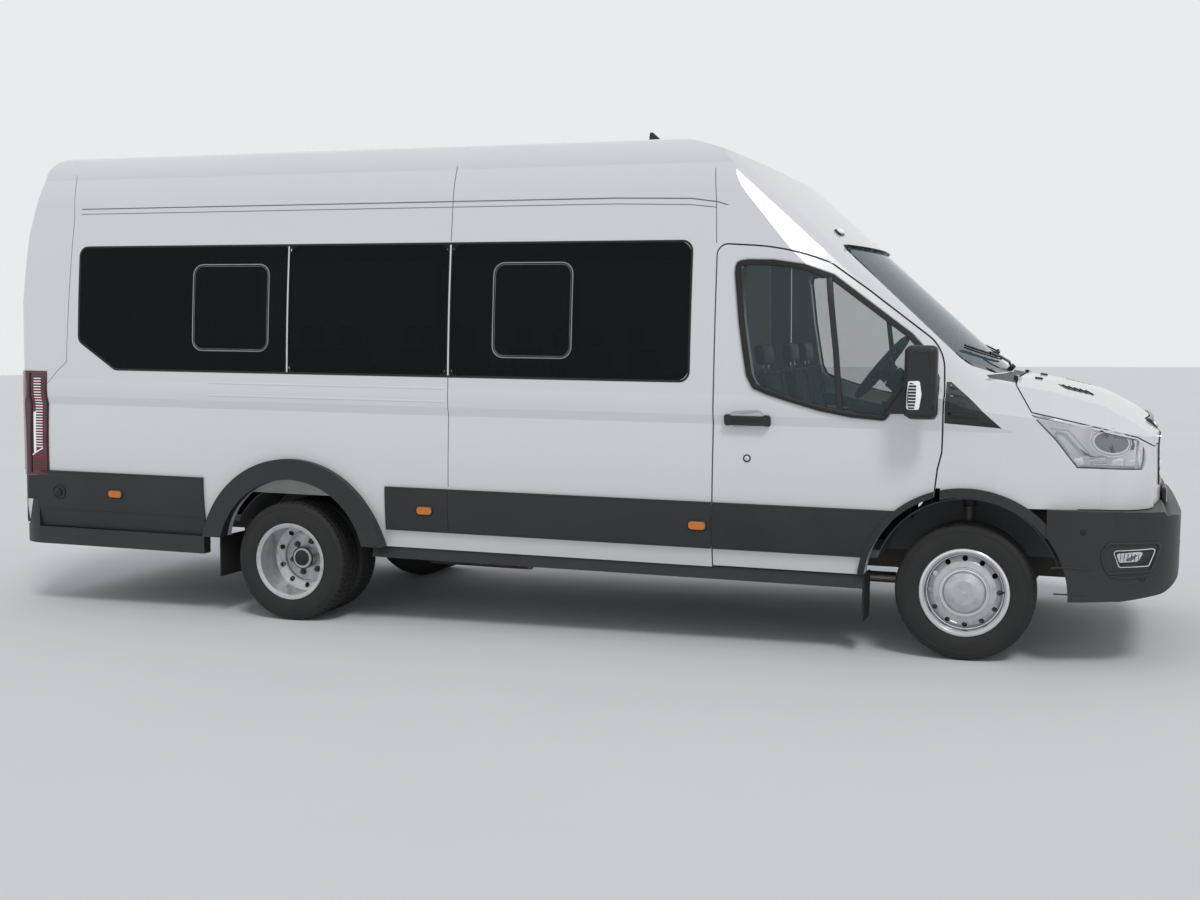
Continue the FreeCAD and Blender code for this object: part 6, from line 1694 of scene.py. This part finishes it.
class MINIBUS_OT_rear(bpy.types.Operator):
    """Ribbed tail lamps, door handle, wiper, high brake lamp, blank plate, camera and step treads"""

    bl_idname = "minibus.rear"
    bl_label = "Rear"

    def execute(self, context):
        self.tail_lamps()
        self.doors()
        self.treads()
        return {"FINISHED"}

    def tail_lamps(self):
        """Prism ribs round the corner, the bright comb, its slanted foot and the dark surround."""
        node = ["tail_lamps"]
        ribs, comb = [], []
        for index in range(36):
            level = 0.775 + index * 0.0165
            near = plate([(-3.195, level), (-3.195, level + 0.009), (-3.098, level + 0.009),
                          (-3.098, level)], 0.004, level=-0.0022, step=0.03)
            back = plate([(-1.000, level), (-1.000, level + 0.009), (-0.940, level + 0.009),
                          (-0.940, level)], 0.004, "rear", -0.0022, 0.03)
            ribs.append(joined([lay_on(near, node), lay_on(back, node, "rear", reach=1.0)]))
            if level > 0.905 and level < 1.330:
                low = level + 0.010
                bar = plate([(-3.176, low), (-3.176, low + 0.006), (-3.126, low + 0.006),
                             (-3.126, low)], 0.004, level=-0.0032, step=0.03)
                end = plate([(-0.985, low), (-0.985, low + 0.006), (-0.950, low + 0.006),
                             (-0.950, low)], 0.004, "rear", -0.0032, 0.03)
                comb.append(joined([lay_on(bar, node), lay_on(end, node, "rear", reach=1.0)]))
        foot = ribbon([(-3.200, 0.868), (-3.176, 0.884), (-3.124, 0.912)], 0.007, 0.004, level=-0.0032,
                      step=0.03)
        spine = ribbon([(-3.181, 0.884), (-3.183, 1.130)], 0.016, 0.004, level=-0.003, step=0.05)
        comb += [lay_on(foot, node), lay_on(spine, node)]
        both_sides(joined(ribs), "tail_ribs", BODY, "ruby", "red_lens")
        # The comb's silver carries a painted glow, though the lamp is not lit.
        both_sides(joined(comb), "tail_comb", BODY, "lamp_silver_painted_glow", "lamp_glass")
        column = ribbon([(-3.212, 0.760), (-3.206, 1.366)], 0.014, 0.006, level=-0.004, step=0.05)
        edge = ribbon([(-3.094, 0.756), (-3.088, 1.330)], 0.008, 0.006, level=-0.003, step=0.05)
        trim = joined([round_edges(lay_on(piece, node), 0.002) for piece in (column, edge)])
        both_sides(trim, "tail_trim", BODY, "gloss_black", "black_plastic")

    def doors(self):
        """What the two rear leaves carry."""
        right, left = ["rear_door_right"], ["rear_door_left"]
        base = plate(oblong((-0.190, 1.165), (-0.050, 1.255), 0.020), 0.010, "rear", -0.006, 0.04)
        grip = plate(oblong((-0.178, 1.205), (-0.062, 1.238), 0.012), 0.024, "rear", -0.030, 0.04)
        lock = ribbon(ring_points((-0.120, 1.135), 0.014), 0.006, 0.008, "rear", -0.004, True)
        parts = [round_edges(lay_on(piece, right, "rear", reach=1.0), 0.004) for piece in
                 (base, grip, lock)]
        on_body(joined(parts), "rear_handle", "rear_door_right", "black_plastic", "black_plastic")
        box = plate(oblong((0.100, 0.930), (0.680, 1.085), 0.020), 0.008, "rear", -0.006, 0.06)
        hood = plate(oblong((0.110, 1.082), (0.670, 1.112), 0.012), 0.040, "rear", -0.034, 0.06)
        parts = [round_edges(lay_on(piece, left, "rear", reach=1.0), 0.004) for piece in (box, hood)]
        on_body(joined(parts), "plate_holder_rear", "rear_door_left", "black_plastic", "black_plastic")
        blank = plate(oblong((0.130, 0.944), (0.650, 1.056), 0.010), 0.004, "rear", -0.0095, 0.06)
        blank = round_edges(lay_on(blank, left, "rear", reach=1.0), 0.001, 1)
        on_body(blank, "plate_rear", "rear_door_left", "plate")
        lamps = [plate(oblong((y, 1.076), (y + 0.045, 1.084), 0.003), 0.018, "rear", -0.026)
                 for y in (0.22, 0.51)]
        lamps = joined([lay_on(piece, left, "rear", reach=1.0) for piece in lamps])
        on_body(lamps, "plate_lamps", "rear_door_left", "lamp_milk", "lamp_glass")
        for side, node, sign in (("right", right, -1), ("left", left, 1)):
            seal = ribbon([(sign * 0.010, 0.660), (sign * 0.010, 2.440)], 0.012, 0.014, "rear", -0.004,
                          step=0.06)
            seal = round_edges(lay_on(seal, node, "rear", reach=1.0), 0.003)
            on_body(seal, "leaf_seal_" + side, "rear_door_" + side, "rubber", "rubber")
            heat = []
            glass = ["rear_glass_" + side]
            for index in range(12):
                level = 1.440 + index * 0.052
                wire = ribbon([(sign * 0.090, level), (sign * 0.770, level)], 0.0022, 0.001, "rear",
                              -0.0006, step=0.08)
                heat.append(lay_on(wire, glass, "rear", reach=1.0))
            on_body(joined(heat), "heating_wires_" + side, "rear_door_" + side, "vent_grey",
                    "black_plastic")
        self.wiper()
        brake = plate(oblong((-0.160, 2.520), (0.160, 2.548), 0.010), 0.016, "rear", -0.010, 0.04)
        brake = round_edges(lay_on(brake, ["roof"], "rear", reach=1.4), 0.003)
        on_body(brake, "high_brake_lamp", "body", "ruby", "red_lens")
        frame = ribbon(oblong((-0.166, 2.514), (0.166, 2.554), 0.012), 0.008, 0.016, "rear", -0.008,
                       True, 0.05)
        eye = plate(ring_points((0.0, 2.490), 0.014), 0.022, "rear", -0.018)
        trim = [round_edges(lay_on(piece, ["roof"], "rear", reach=1.4), 0.002) for piece in (frame, eye)]
        on_body(joined(trim), "high_lamp_frame", "body", "gloss_black", "black_plastic")

    def wiper(self):
        """Arm and blade on the left leaf's glass."""
        glass = ["rear_glass_left"]
        blade = ribbon([(0.140, 1.470), (0.460, 1.500)], 0.012, 0.014, "rear", -0.016, step=0.05)
        arm = ribbon([(0.640, 1.385), (0.520, 1.420), (0.300, 1.486)], 0.016, 0.010, "rear", -0.030,
                     step=0.05)
        pivot = plate(ring_points((0.650, 1.382), 0.020), 0.034, "rear", -0.030)
        parts = [round_edges(lay_on(piece, glass + ["rear_door_left"], "rear", reach=1.0), 0.003)
                 for piece in (blade, arm, pivot)]
        on_body(joined(parts), "rear_wiper", "rear_door_left", "gloss_black", "black_plastic")

    def treads(self):
        """Grip ribs on the rear step, reflectors and sensors in the bumper."""
        node = ["rear_bumper"]
        ribs = []
        for index in range(9):
            x = -3.330 + index * 0.020
            rib = plate([(x, -0.55), (x, 0.55), (x + 0.008, 0.55), (x + 0.008, -0.55)], 0.006, "top",
                        -0.0025, 0.10)
            ribs.append(round_edges(lay_on(rib, node, "top", reach=2.7), 0.002, 1))
        on_body(joined(ribs), "step_ribs", "body", "grey_plastic", "grey_plastic")
        sensors = []
        for spot in (-0.62, -0.24, 0.24, 0.62):
            cap = plate(ring_points((0, 0), 0.0105), 0.006, "rear", -0.0004)
            rim = ribbon(ring_points((0, 0), 0.0135), 0.003, 0.006, "rear", -0.0008, True)
            disk = joined([round_edges(cap, 0.001), rim])
            sensors.append(set_on(disk, node, "rear", (spot, 0.490)))
        on_body(joined(sensors), "rear_sensors", "body", "gloss_black", "black_plastic")
        cap = plate(ring_points((-3.016, 0.648), 0.026), 0.012, level=-0.008)
        ring = ribbon(ring_points((-3.008, 0.650), 0.042), 0.007, 0.008, level=-0.004, closed=True)
        disk = joined([round_edges(lay_on(piece, ["side_mouldings"]), 0.0015) for piece in (cap, ring)])
        both_sides(disk, "flank_sensor", BODY, "gloss_black", "black_plastic")
        reflectors = [plate(oblong((y - 0.070, 0.420), (y + 0.070, 0.450), 0.008), 0.008, "rear",
                            -0.001, 0.04) for y in (-0.80, 0.80)]
        reflectors = [round_edges(lay_on(piece, node, "rear", reach=1.0), 0.002) for piece in reflectors]
        on_body(joined(reflectors), "rear_reflectors", "body", "ruby", "red_lens")


SEATS = {
    "cab_seats": (0.880, [(1.477, -0.470, 0.480), (1.477, 0.250, 0.430), (1.477, 0.690, 0.430)]),
    "passenger_seats": (0.960, [
        (x, y, 0.420)
        for x, places in ((0.407, (-0.720, -0.270, 0.640)), (-0.383, (-0.720, -0.270, 0.640)),
                          (-1.173, (-0.720, -0.270, 0.640)), (-1.963, (-0.690, -0.235, 0.235, 0.690)))
        for y in places]),
}
LEAN = math.tan(math.radians(12.0))


class MINIBUS_OT_seats(bpy.types.Operator):
    """Pads every seat: swollen cushions, backs and headrests with sewn channels and piped edges"""

    bl_idname = "minibus.seats"
    bl_label = "Seats"

    def execute(self, context):
        crown = context.scene.minibus_sizes.pad_crown
        cushion = self.pad([(-0.140, 0.012), (0.222, 0.020), (0.232, 0.082), (0.190, 0.100),
                            (-0.140, 0.090)], 0.195, crown)
        back = self.pad([(-0.140, 0.105), (-0.142 - 0.46 * LEAN, 0.560), (-0.208 - 0.46 * LEAN, 0.560),
                         (-0.216, 0.105)], 0.195, crown)
        rest = self.pad([(-0.146 - 0.49 * LEAN, 0.592), (-0.140 - 0.60 * LEAN, 0.706),
                         (-0.196 - 0.60 * LEAN, 0.706), (-0.200 - 0.49 * LEAN, 0.592)], 0.128,
                        crown * 0.6)
        self.channel(cushion, lambda spot: spot.z > 0.06, Vector((0, 0, -1)))
        self.channel(back, lambda spot: spot.x > -0.180 - (spot.z - 0.1) * LEAN, Vector((-1, 0, 0)))
        kinds = {"seat_cushions": (cushion, "seat_cloth", 0.75), "seat_backs": (back, "seat_cloth", 0.7),
                 "headrests": (rest, "seat_trim", 0.8), "seat_piping": (self.piping(), "seat_trim", None),
                 "seat_shells": (self.shell(), "cabin_plastic", None),
                 "seat_belts": (self.belt(), "belt_webbing", None),
                 "seat_metal": (self.metal(), "chrome", None)}
        for node, (floor, places) in SEATS.items():
            for kind, (pattern, finish, fill) in kinds.items():
                copies = []
                for x, y, width in places:
                    copy = duplicate(pattern)
                    copy.data.transform(Matrix.Translation((x, y, floor))
                                        @ Matrix.Scale(width / 0.420, 4, Vector((0, 1, 0))))
                    copies.append(copy)
                name = node.split("_")[0] + "_" + kind
                piece = on_body(joined(copies), name, "body", finish, "seat_cloth", 50.0)
                if fill:
                    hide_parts(node)
        for pattern, _, _ in kinds.values():
            bpy.data.objects.remove(pattern)
        return {"FINISHED"}

    def pad(self, outline, half, crown):
        """A block of foam of a side outline, waisted between its corners and swollen as cloth."""
        piece = plate(rounded(outline, 0.022, 4), half * 2, level=-half)
        piece = round_edges(piece, 0.020, 3, 50)
        apply_modifier(piece, "REMESH", mode="VOXEL", voxel_size=0.012)
        middle = sum((vert.co for vert in piece.data.vertices), Vector()) / len(piece.data.vertices)
        for vert in piece.data.vertices:
            waist = 1 - min(1.0, abs(vert.co.z - middle.z) / 0.3 + abs(vert.co.x - middle.x) / 0.3)
            vert.co.y *= 1 - 0.035 * max(0.0, waist)
        self.swell(piece, crown)
        apply_modifier(piece, "SMOOTH", factor=0.5, iterations=3)
        return piece

    def swell(self, piece, crown):
        """Cloth under pressure, with no point moving further than the crown."""
        before = [vert.co.copy() for vert in piece.data.vertices]
        start_clean()
        bpy.context.view_layer.objects.active = piece
        piece.select_set(True)
        modifier = piece.modifiers.new("Cloth", "CLOTH")
        modifier.settings.use_pressure = True
        modifier.settings.uniform_pressure_force = 4.0
        modifier.settings.effector_weights.gravity = 0.0
        for step in range(1, 21):
            bpy.context.scene.frame_set(step)
        bpy.ops.object.modifier_apply(modifier=modifier.name)
        bpy.context.scene.frame_set(1)
        for vert, old in zip(piece.data.vertices, before):
            step = vert.co - old
            if step.length > crown:
                vert.co = old + step * (crown / step.length)

    def channel(self, piece, front, inwards):
        """Presses sewn channels into the face of a pad."""
        cross = 0.0 if inwards.z else 0.33
        for vert in piece.data.vertices:
            if front(vert.co):
                for seam in (-0.118, 0.118):
                    depth = max(0.0, 1 - abs(vert.co.y - seam) / 0.020)
                    vert.co += inwards * 0.008 * depth
                if abs(vert.co.y) < 0.118 and cross:
                    depth = max(0.0, 1 - abs(vert.co.z - cross) / 0.020)
                    vert.co += inwards * 0.006 * depth
                elif abs(vert.co.y) < 0.118:
                    depth = max(0.0, 1 - abs(vert.co.x - 0.06) / 0.020)
                    vert.co += inwards * 0.006 * depth

    def piping(self):
        """Welts sewn along the edges of the cushion and the back."""
        welts = []
        for sign in (-1, 1):
            y = sign * 0.188
            welts.append(tube([(-0.130, y, 0.094), (0.000, y, 0.099), (0.170, y, 0.103),
                               (0.215, y, 0.094), (0.232, y, 0.066), (0.230, y, 0.020)], 0.0035, 1))
            welts.append(tube([(-0.136 - run * LEAN, y, 0.110 + run) for run in
                               (0.0, 0.1, 0.2, 0.3, 0.4, 0.445)], 0.0035, 1))
        welts.append(tube([(-0.139 - 0.450 * LEAN, y, 0.556) for y in (-0.180, -0.09, 0.0, 0.09, 0.180)],
                          0.0035, 1))
        return joined(welts)

    def shell(self):
        """Moulded pan under the cushion and cover behind the back."""
        pan = plate(rounded([(-0.230, 0.003), (0.222, 0.003), (0.222, 0.024), (-0.150, 0.020),
                             (-0.226, 0.110)], 0.006, 2), 0.390, level=-0.195)
        cover = plate(rounded([(-0.214, 0.100), (-0.210 - 0.47 * LEAN, 0.566), (-0.200 - 0.47 * LEAN, 0.566),
                               (-0.200, 0.100)], 0.004, 2), 0.384, level=-0.192)
        hinge = [add_rod((-0.160, sign * 0.190, 0.096), (-0.160, sign * 0.206, 0.096), 0.034)
                 for sign in (-1, 1)]
        parts = [round_edges(piece, 0.004) for piece in [pan, cover] + hinge]
        return joined(parts)

    def belt(self):
        """Shoulder and lap webbing lying on the pads."""
        shoulder = self.webbing([(-0.124 - 0.445 * LEAN, 0.130, 0.566), (-0.118 - 0.30 * LEAN, 0.080, 0.42),
                                 (-0.112 - 0.14 * LEAN, -0.030, 0.25), (-0.104, -0.110, 0.150),
                                 (-0.090, -0.150, 0.118)], (0, 0.046, 0))
        lap = self.webbing([(-0.120, 0.200, 0.096), (-0.105, 0.150, 0.110), (-0.100, 0.0, 0.108),
                            (-0.105, -0.150, 0.112)], (0.046, 0, 0.004))
        return joined([shoulder, lap])

    def webbing(self, points, across):
        """A flat strap along a line, its width along another direction."""
        strap = draw_chain([Vector(point) for point in points])
        bpy.ops.mesh.extrude_region_move(TRANSFORM_OT_translate={"value": across})
        finish_edit()
        return face_outwards(apply_modifier(strap, "SOLIDIFY", thickness=0.002))

    def metal(self):
        """Headrest posts and the buckle."""
        posts = [add_rod((-0.176 - 0.46 * LEAN, y, 0.545), (-0.172 - 0.51 * LEAN, y, 0.612), 0.006,
                         sides=12) for y in (-0.060, 0.060)]
        tongue = plate(oblong((-0.105, 0.112), (-0.070, 0.150), 0.006), 0.012, level=-0.138)
        return joined([round_edges(piece, 0.001, 1) for piece in posts + [tongue]])


class MINIBUS_OT_cabin(bpy.types.Operator):
    """Dresses the cabin: instruments, vents, levers, wheel trim, linings, rails and the inner mirror"""

    bl_idname = "minibus.cabin"
    bl_label = "Cabin"

    def execute(self, context):
        self.dashboard()
        self.steering_wheel()
        self.linings()
        self.rails()
        return {"FINISHED"}

    def dashboard(self):
        """Hood over the instruments, centre stack, vents, shelf and levers."""
        node = ["dashboard"]
        hood = plate(rounded([(1.905, 1.340), (1.900, 1.395), (1.990, 1.428), (2.120, 1.410),
                              (2.150, 1.362), (1.96, 1.345)], 0.020), 0.400, level=-0.670)
        dials = add_block((1.905, -0.640, 1.300), (1.915, -0.300, 1.392))
        stack = plate(rounded([(1.880, 1.330), (1.890, 1.080), (1.950, 0.960), (2.060, 0.960),
                               (2.060, 1.360)], 0.015), 0.300, level=-0.130)
        lever_base = add_block((1.840, -0.060, 1.030), (1.960, 0.080, 1.090))
        shelf = add_block((1.880, 0.240, 1.150), (1.960, 0.800, 1.165))
        parts = [round_edges(piece, 0.010, 3) for piece in (hood, stack, lever_base)]
        parts.append(round_edges(shelf, 0.004))
        on_body(joined(parts), "dashboard_mouldings", "body", "cabin_plastic", "cabin_plastic")
        dark = [round_edges(dials, 0.004),
                round_edges(add_block((1.872, -0.105, 1.190), (1.886, 0.150, 1.335)), 0.006)]
        for y in (-0.800, -0.215, 0.235, 0.800):
            vent = plate(oblong((y - 0.062, 1.248), (y + 0.062, 1.312), 0.016), 0.010, "rear", 0.0)
            dark.append(round_edges(moved(vent, (1.882, 0, 0)), 0.003))
            for row in range(4):
                slat = add_block((1.876, y - 0.052, 1.262 + row * 0.012),
                                 (1.890, y + 0.052, 1.2645 + row * 0.012))
                dark.append(slat)
        on_body(joined(dark), "dashboard_displays", "body", "gloss_black", "black_plastic")
        lever = [tube([(1.890, 0.010, 1.085), (1.870, 0.008, 1.150), (1.862, 0.006, 1.190)], 0.006),
                 lathe([(1.185, 0.0), (1.188, 0.016), (1.205, 0.022), (1.222, 0.018), (1.228, 0.0)],
                       (1.860, 0.006, 0.0), 24, (0, 0, 1))]
        boot = lathe([(1.088, 0.045), (1.105, 0.036), (1.120, 0.028), (1.140, 0.012), (1.150, 0.008)],
                     (1.886, 0.010, 0.0), 24, (0, 0, 1))
        on_body(joined(lever + [boot]), "gear_lever", "body", "seat_trim", "cabin_plastic")
        pedals = []
        for y in (-0.560, -0.470, -0.385):
            pad = add_block((2.010, y - 0.030, 0.690), (2.022, y + 0.030, 0.760))
            stalk = tube([(2.018, y, 0.740), (2.070, y, 0.830), (2.090, y, 0.920)], 0.007)
            pedals += [round_edges(pad, 0.004), stalk]
        on_body(joined(pedals), "pedals", "body", "black_plastic", "black_plastic")
        glass = plate(oblong((-0.105, 2.010), (0.105, 2.072), 0.022), 0.006, "rear", 0.0)
        shell = plate(oblong((-0.115, 2.002), (0.115, 2.080), 0.026), 0.030, "rear", 0.0)
        stem = tube([(1.690, 0.0, 2.045), (1.720, 0.0, 2.080), (1.735, 0.0, 2.092)], 0.007)
        shell = round_edges(moved(shell, (1.655, 0, 0)), 0.008, 3)
        on_body(joined([shell, stem]), "inner_mirror", "body", "black_plastic", "black_plastic")
        on_body(moved(glass, (1.652, 0, 0)), "inner_mirror_glass", "body", "mirror_glass")

    def steering_wheel(self):
        """Seams round the wrapped rim, a padded boss, and two stalks on the column shroud."""
        tilt = math.radians(38.6)
        along = Vector((math.cos(tilt), 0, -math.sin(tilt)))
        centre = Vector((1.826, -0.470, 1.470))
        rings = []
        for angle in (35, 145, 215, 325):
            turn = math.radians(angle)
            up = along.cross(Vector((0, 1, 0)))
            out = Vector((0, 1, 0)) * math.cos(turn) + up * math.sin(turn)
            spot = centre + out * 0.195
            tangent = along.cross(out)
            rings.append(add_rod(spot - tangent * 0.004, spot + tangent * 0.004, 0.0165, sides=20))
        rings = [round_edges(ring, 0.001, 1) for ring in rings]
        seams = raked(joined(rings))
        complete(seams, "wheel_rim_seams", "steering_wheel", "gloss_black", "cabin_plastic")
        profile = [(-0.032, 0.0), (-0.030, 0.038), (-0.022, 0.060), (-0.008, 0.072), (0.012, 0.074),
                   (0.030, 0.060)]
        boss = lathe(profile, centre, 40, along)
        complete(raked(boss), "wheel_boss", "steering_wheel", "cabin_plastic", "cabin_plastic")
        stalks = [tube([centre + along * 0.075 + Vector((0, side * 0.030, 0)),
                        centre + along * 0.070 + Vector((0, side * 0.110, 0.010)),
                        centre + along * 0.060 + Vector((0, side * 0.165, 0.018))], 0.008)
                  for side in (-1, 1)]
        shroud = lathe([(0.066, 0.046), (0.074, 0.062), (0.150, 0.060), (0.200, 0.050)], centre, 32,
                       along)
        on_body(joined([round_edges(stalk, 0.002) for stalk in stalks] + [shroud]), "column_stalks",
                "body", "cabin_plastic", "cabin_plastic")

    def linings(self):
        """Headlining with its lamps, side linings above and below the windows and the floor mats."""
        roof = ["roof"]
        lining = plate([(-3.000, -0.640), (-3.000, 0.640), (0.900, 0.640), (0.900, -0.640)], 0.012,
                       "ceiling", -0.014, 0.16)
        lining = lay_on(lining, roof, "ceiling", reach=0.9)
        lamps = []
        for x in (0.300, -0.700, -1.700, -2.600):
            lamp = plate(oblong((x - 0.110, -0.055), (x + 0.110, 0.055), 0.020), 0.014, "ceiling", -0.026)
            lamps.append(round_edges(lay_on(lamp, roof, "ceiling", reach=0.9), 0.004))
        on_body(lining, "headlining", "body", "lining", "cabin_plastic")
        on_body(joined(lamps), "cabin_lamps", "body", "lamp_milk", "lamp_glass")
        bins = [(-3.000, 2.130), (-3.000, 2.300), (0.860, 2.300), (0.860, 2.130)]
        ducts = plate(bins, 0.012, "cabin", -0.020, 0.30)
        ducts = round_edges(lay_on(ducts, ["right_middle_panel", "right_rear_quarter"], "cabin",
                                   reach=0.7), 0.004)
        low = plate([(-2.960, 0.700), (-2.960, 1.372), (0.900, 1.372), (0.900, 0.700)], 0.010, "cabin",
                    -0.014, 0.30)
        low = lay_on(low, ["right_middle_panel", "right_rear_quarter"], "cabin", reach=0.8)
        trims = joined([ducts, low])
        both_sides(trims, "side_lining", BODY, "lining", "cabin_plastic")
        mat = [add_block((1.200, -0.780, 0.561), (1.820, 0.780, 0.572)),
               add_block((1.820, -0.500, 0.561), (2.200, 0.500, 0.572)),
               add_block((-3.050, -0.200, 0.561), (0.700, 0.150, 0.568))]
        on_body(joined([round_edges(piece, 0.003, 1) for piece in mat]), "floor_mats", "body",
                "mat_rubber", "rubber")

    def rails(self):
        """Grab rails by the door and behind the cab, and a pillar of tubes at the step."""
        bars = [tube([(0.880, y, 0.570), (0.880, y, 1.300), (0.880, y, 2.250)], 0.016, 3)
                for y in (-0.420, 0.330)]
        bars.append(tube([(0.880, -0.420, 1.250), (0.880, -0.700, 1.250), (0.880, -0.900, 1.250)], 0.014, 3))
        bars.append(tube([(0.780, 0.330, 2.250), (-0.400, 0.330, 2.250), (-1.400, 0.330, 2.250)], 0.014, 3))
        for x in (0.780, -0.400, -1.400):
            bars.append(tube([(x, 0.330, 2.250), (x, 0.330, 2.560), (x, 0.330, 2.640)], 0.010, 2))
        on_body(joined(bars), "grab_rails", "body", "rail_yellow", "cabin_plastic")


CLASSES = [
    MinibusSizes,
    MinibusStage,
    MINIBUS_OT_stage,
    MINIBUS_OT_finishes,
    MINIBUS_OT_tyres,
    MINIBUS_OT_wheel_details,
    MINIBUS_OT_side_windows,
    MINIBUS_OT_cab_windows,
    MINIBUS_OT_screens,
    MINIBUS_OT_headlamps,
    MINIBUS_OT_grille,
    MINIBUS_OT_front_bumper,
    MINIBUS_OT_doors,
    MINIBUS_OT_mirrors,
    MINIBUS_OT_body_lines,
    MINIBUS_OT_front_details,
    MINIBUS_OT_rear,
    MINIBUS_OT_seats,
    MINIBUS_OT_cabin,
]
OPERATORS = [item for item in CLASSES if issubclass(item, bpy.types.Operator)]


class MINIBUS_PT_panel(bpy.types.Panel):
    """Lists the sizes and the steps."""

    bl_label = "Minibus"
    bl_idname = "MINIBUS_PT_panel"
    bl_space_type = "VIEW_3D"
    bl_region_type = "UI"
    bl_category = "Minibus"

    def draw(self, context):
        for group in (context.scene.minibus_sizes, context.scene.minibus_stage):
            for name in group.__annotations__:
                self.layout.prop(group, name)
        for operator in OPERATORS:
            self.layout.operator(operator.bl_idname)


def register():
    for item in CLASSES + [MINIBUS_PT_panel]:
        bpy.utils.register_class(item)
    bpy.types.Scene.minibus_sizes = bpy.props.PointerProperty(type=MinibusSizes)
    bpy.types.Scene.minibus_stage = bpy.props.PointerProperty(type=MinibusStage)


def unregister():
    del bpy.types.Scene.minibus_stage
    del bpy.types.Scene.minibus_sizes
    for item in reversed(CLASSES + [MINIBUS_PT_panel]):
        bpy.utils.unregister_class(item)


def main():
    """Builds everything in order."""
    register()
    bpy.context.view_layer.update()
    bpy.ops.minibus.finishes()
    bpy.ops.minibus.stage()
    bpy.ops.minibus.tyres()
    bpy.ops.minibus.wheel_details()
    bpy.ops.minibus.side_windows()
    bpy.ops.minibus.cab_windows()
    bpy.ops.minibus.screens()
    bpy.ops.minibus.headlamps()
    bpy.ops.minibus.grille()
    bpy.ops.minibus.front_bumper()
    bpy.ops.minibus.doors()
    bpy.ops.minibus.mirrors()
    bpy.ops.minibus.body_lines()
    bpy.ops.minibus.front_details()
    bpy.ops.minibus.rear()
    bpy.ops.minibus.seats()
    bpy.ops.minibus.cabin()


if __name__ == "__main__":
    main()
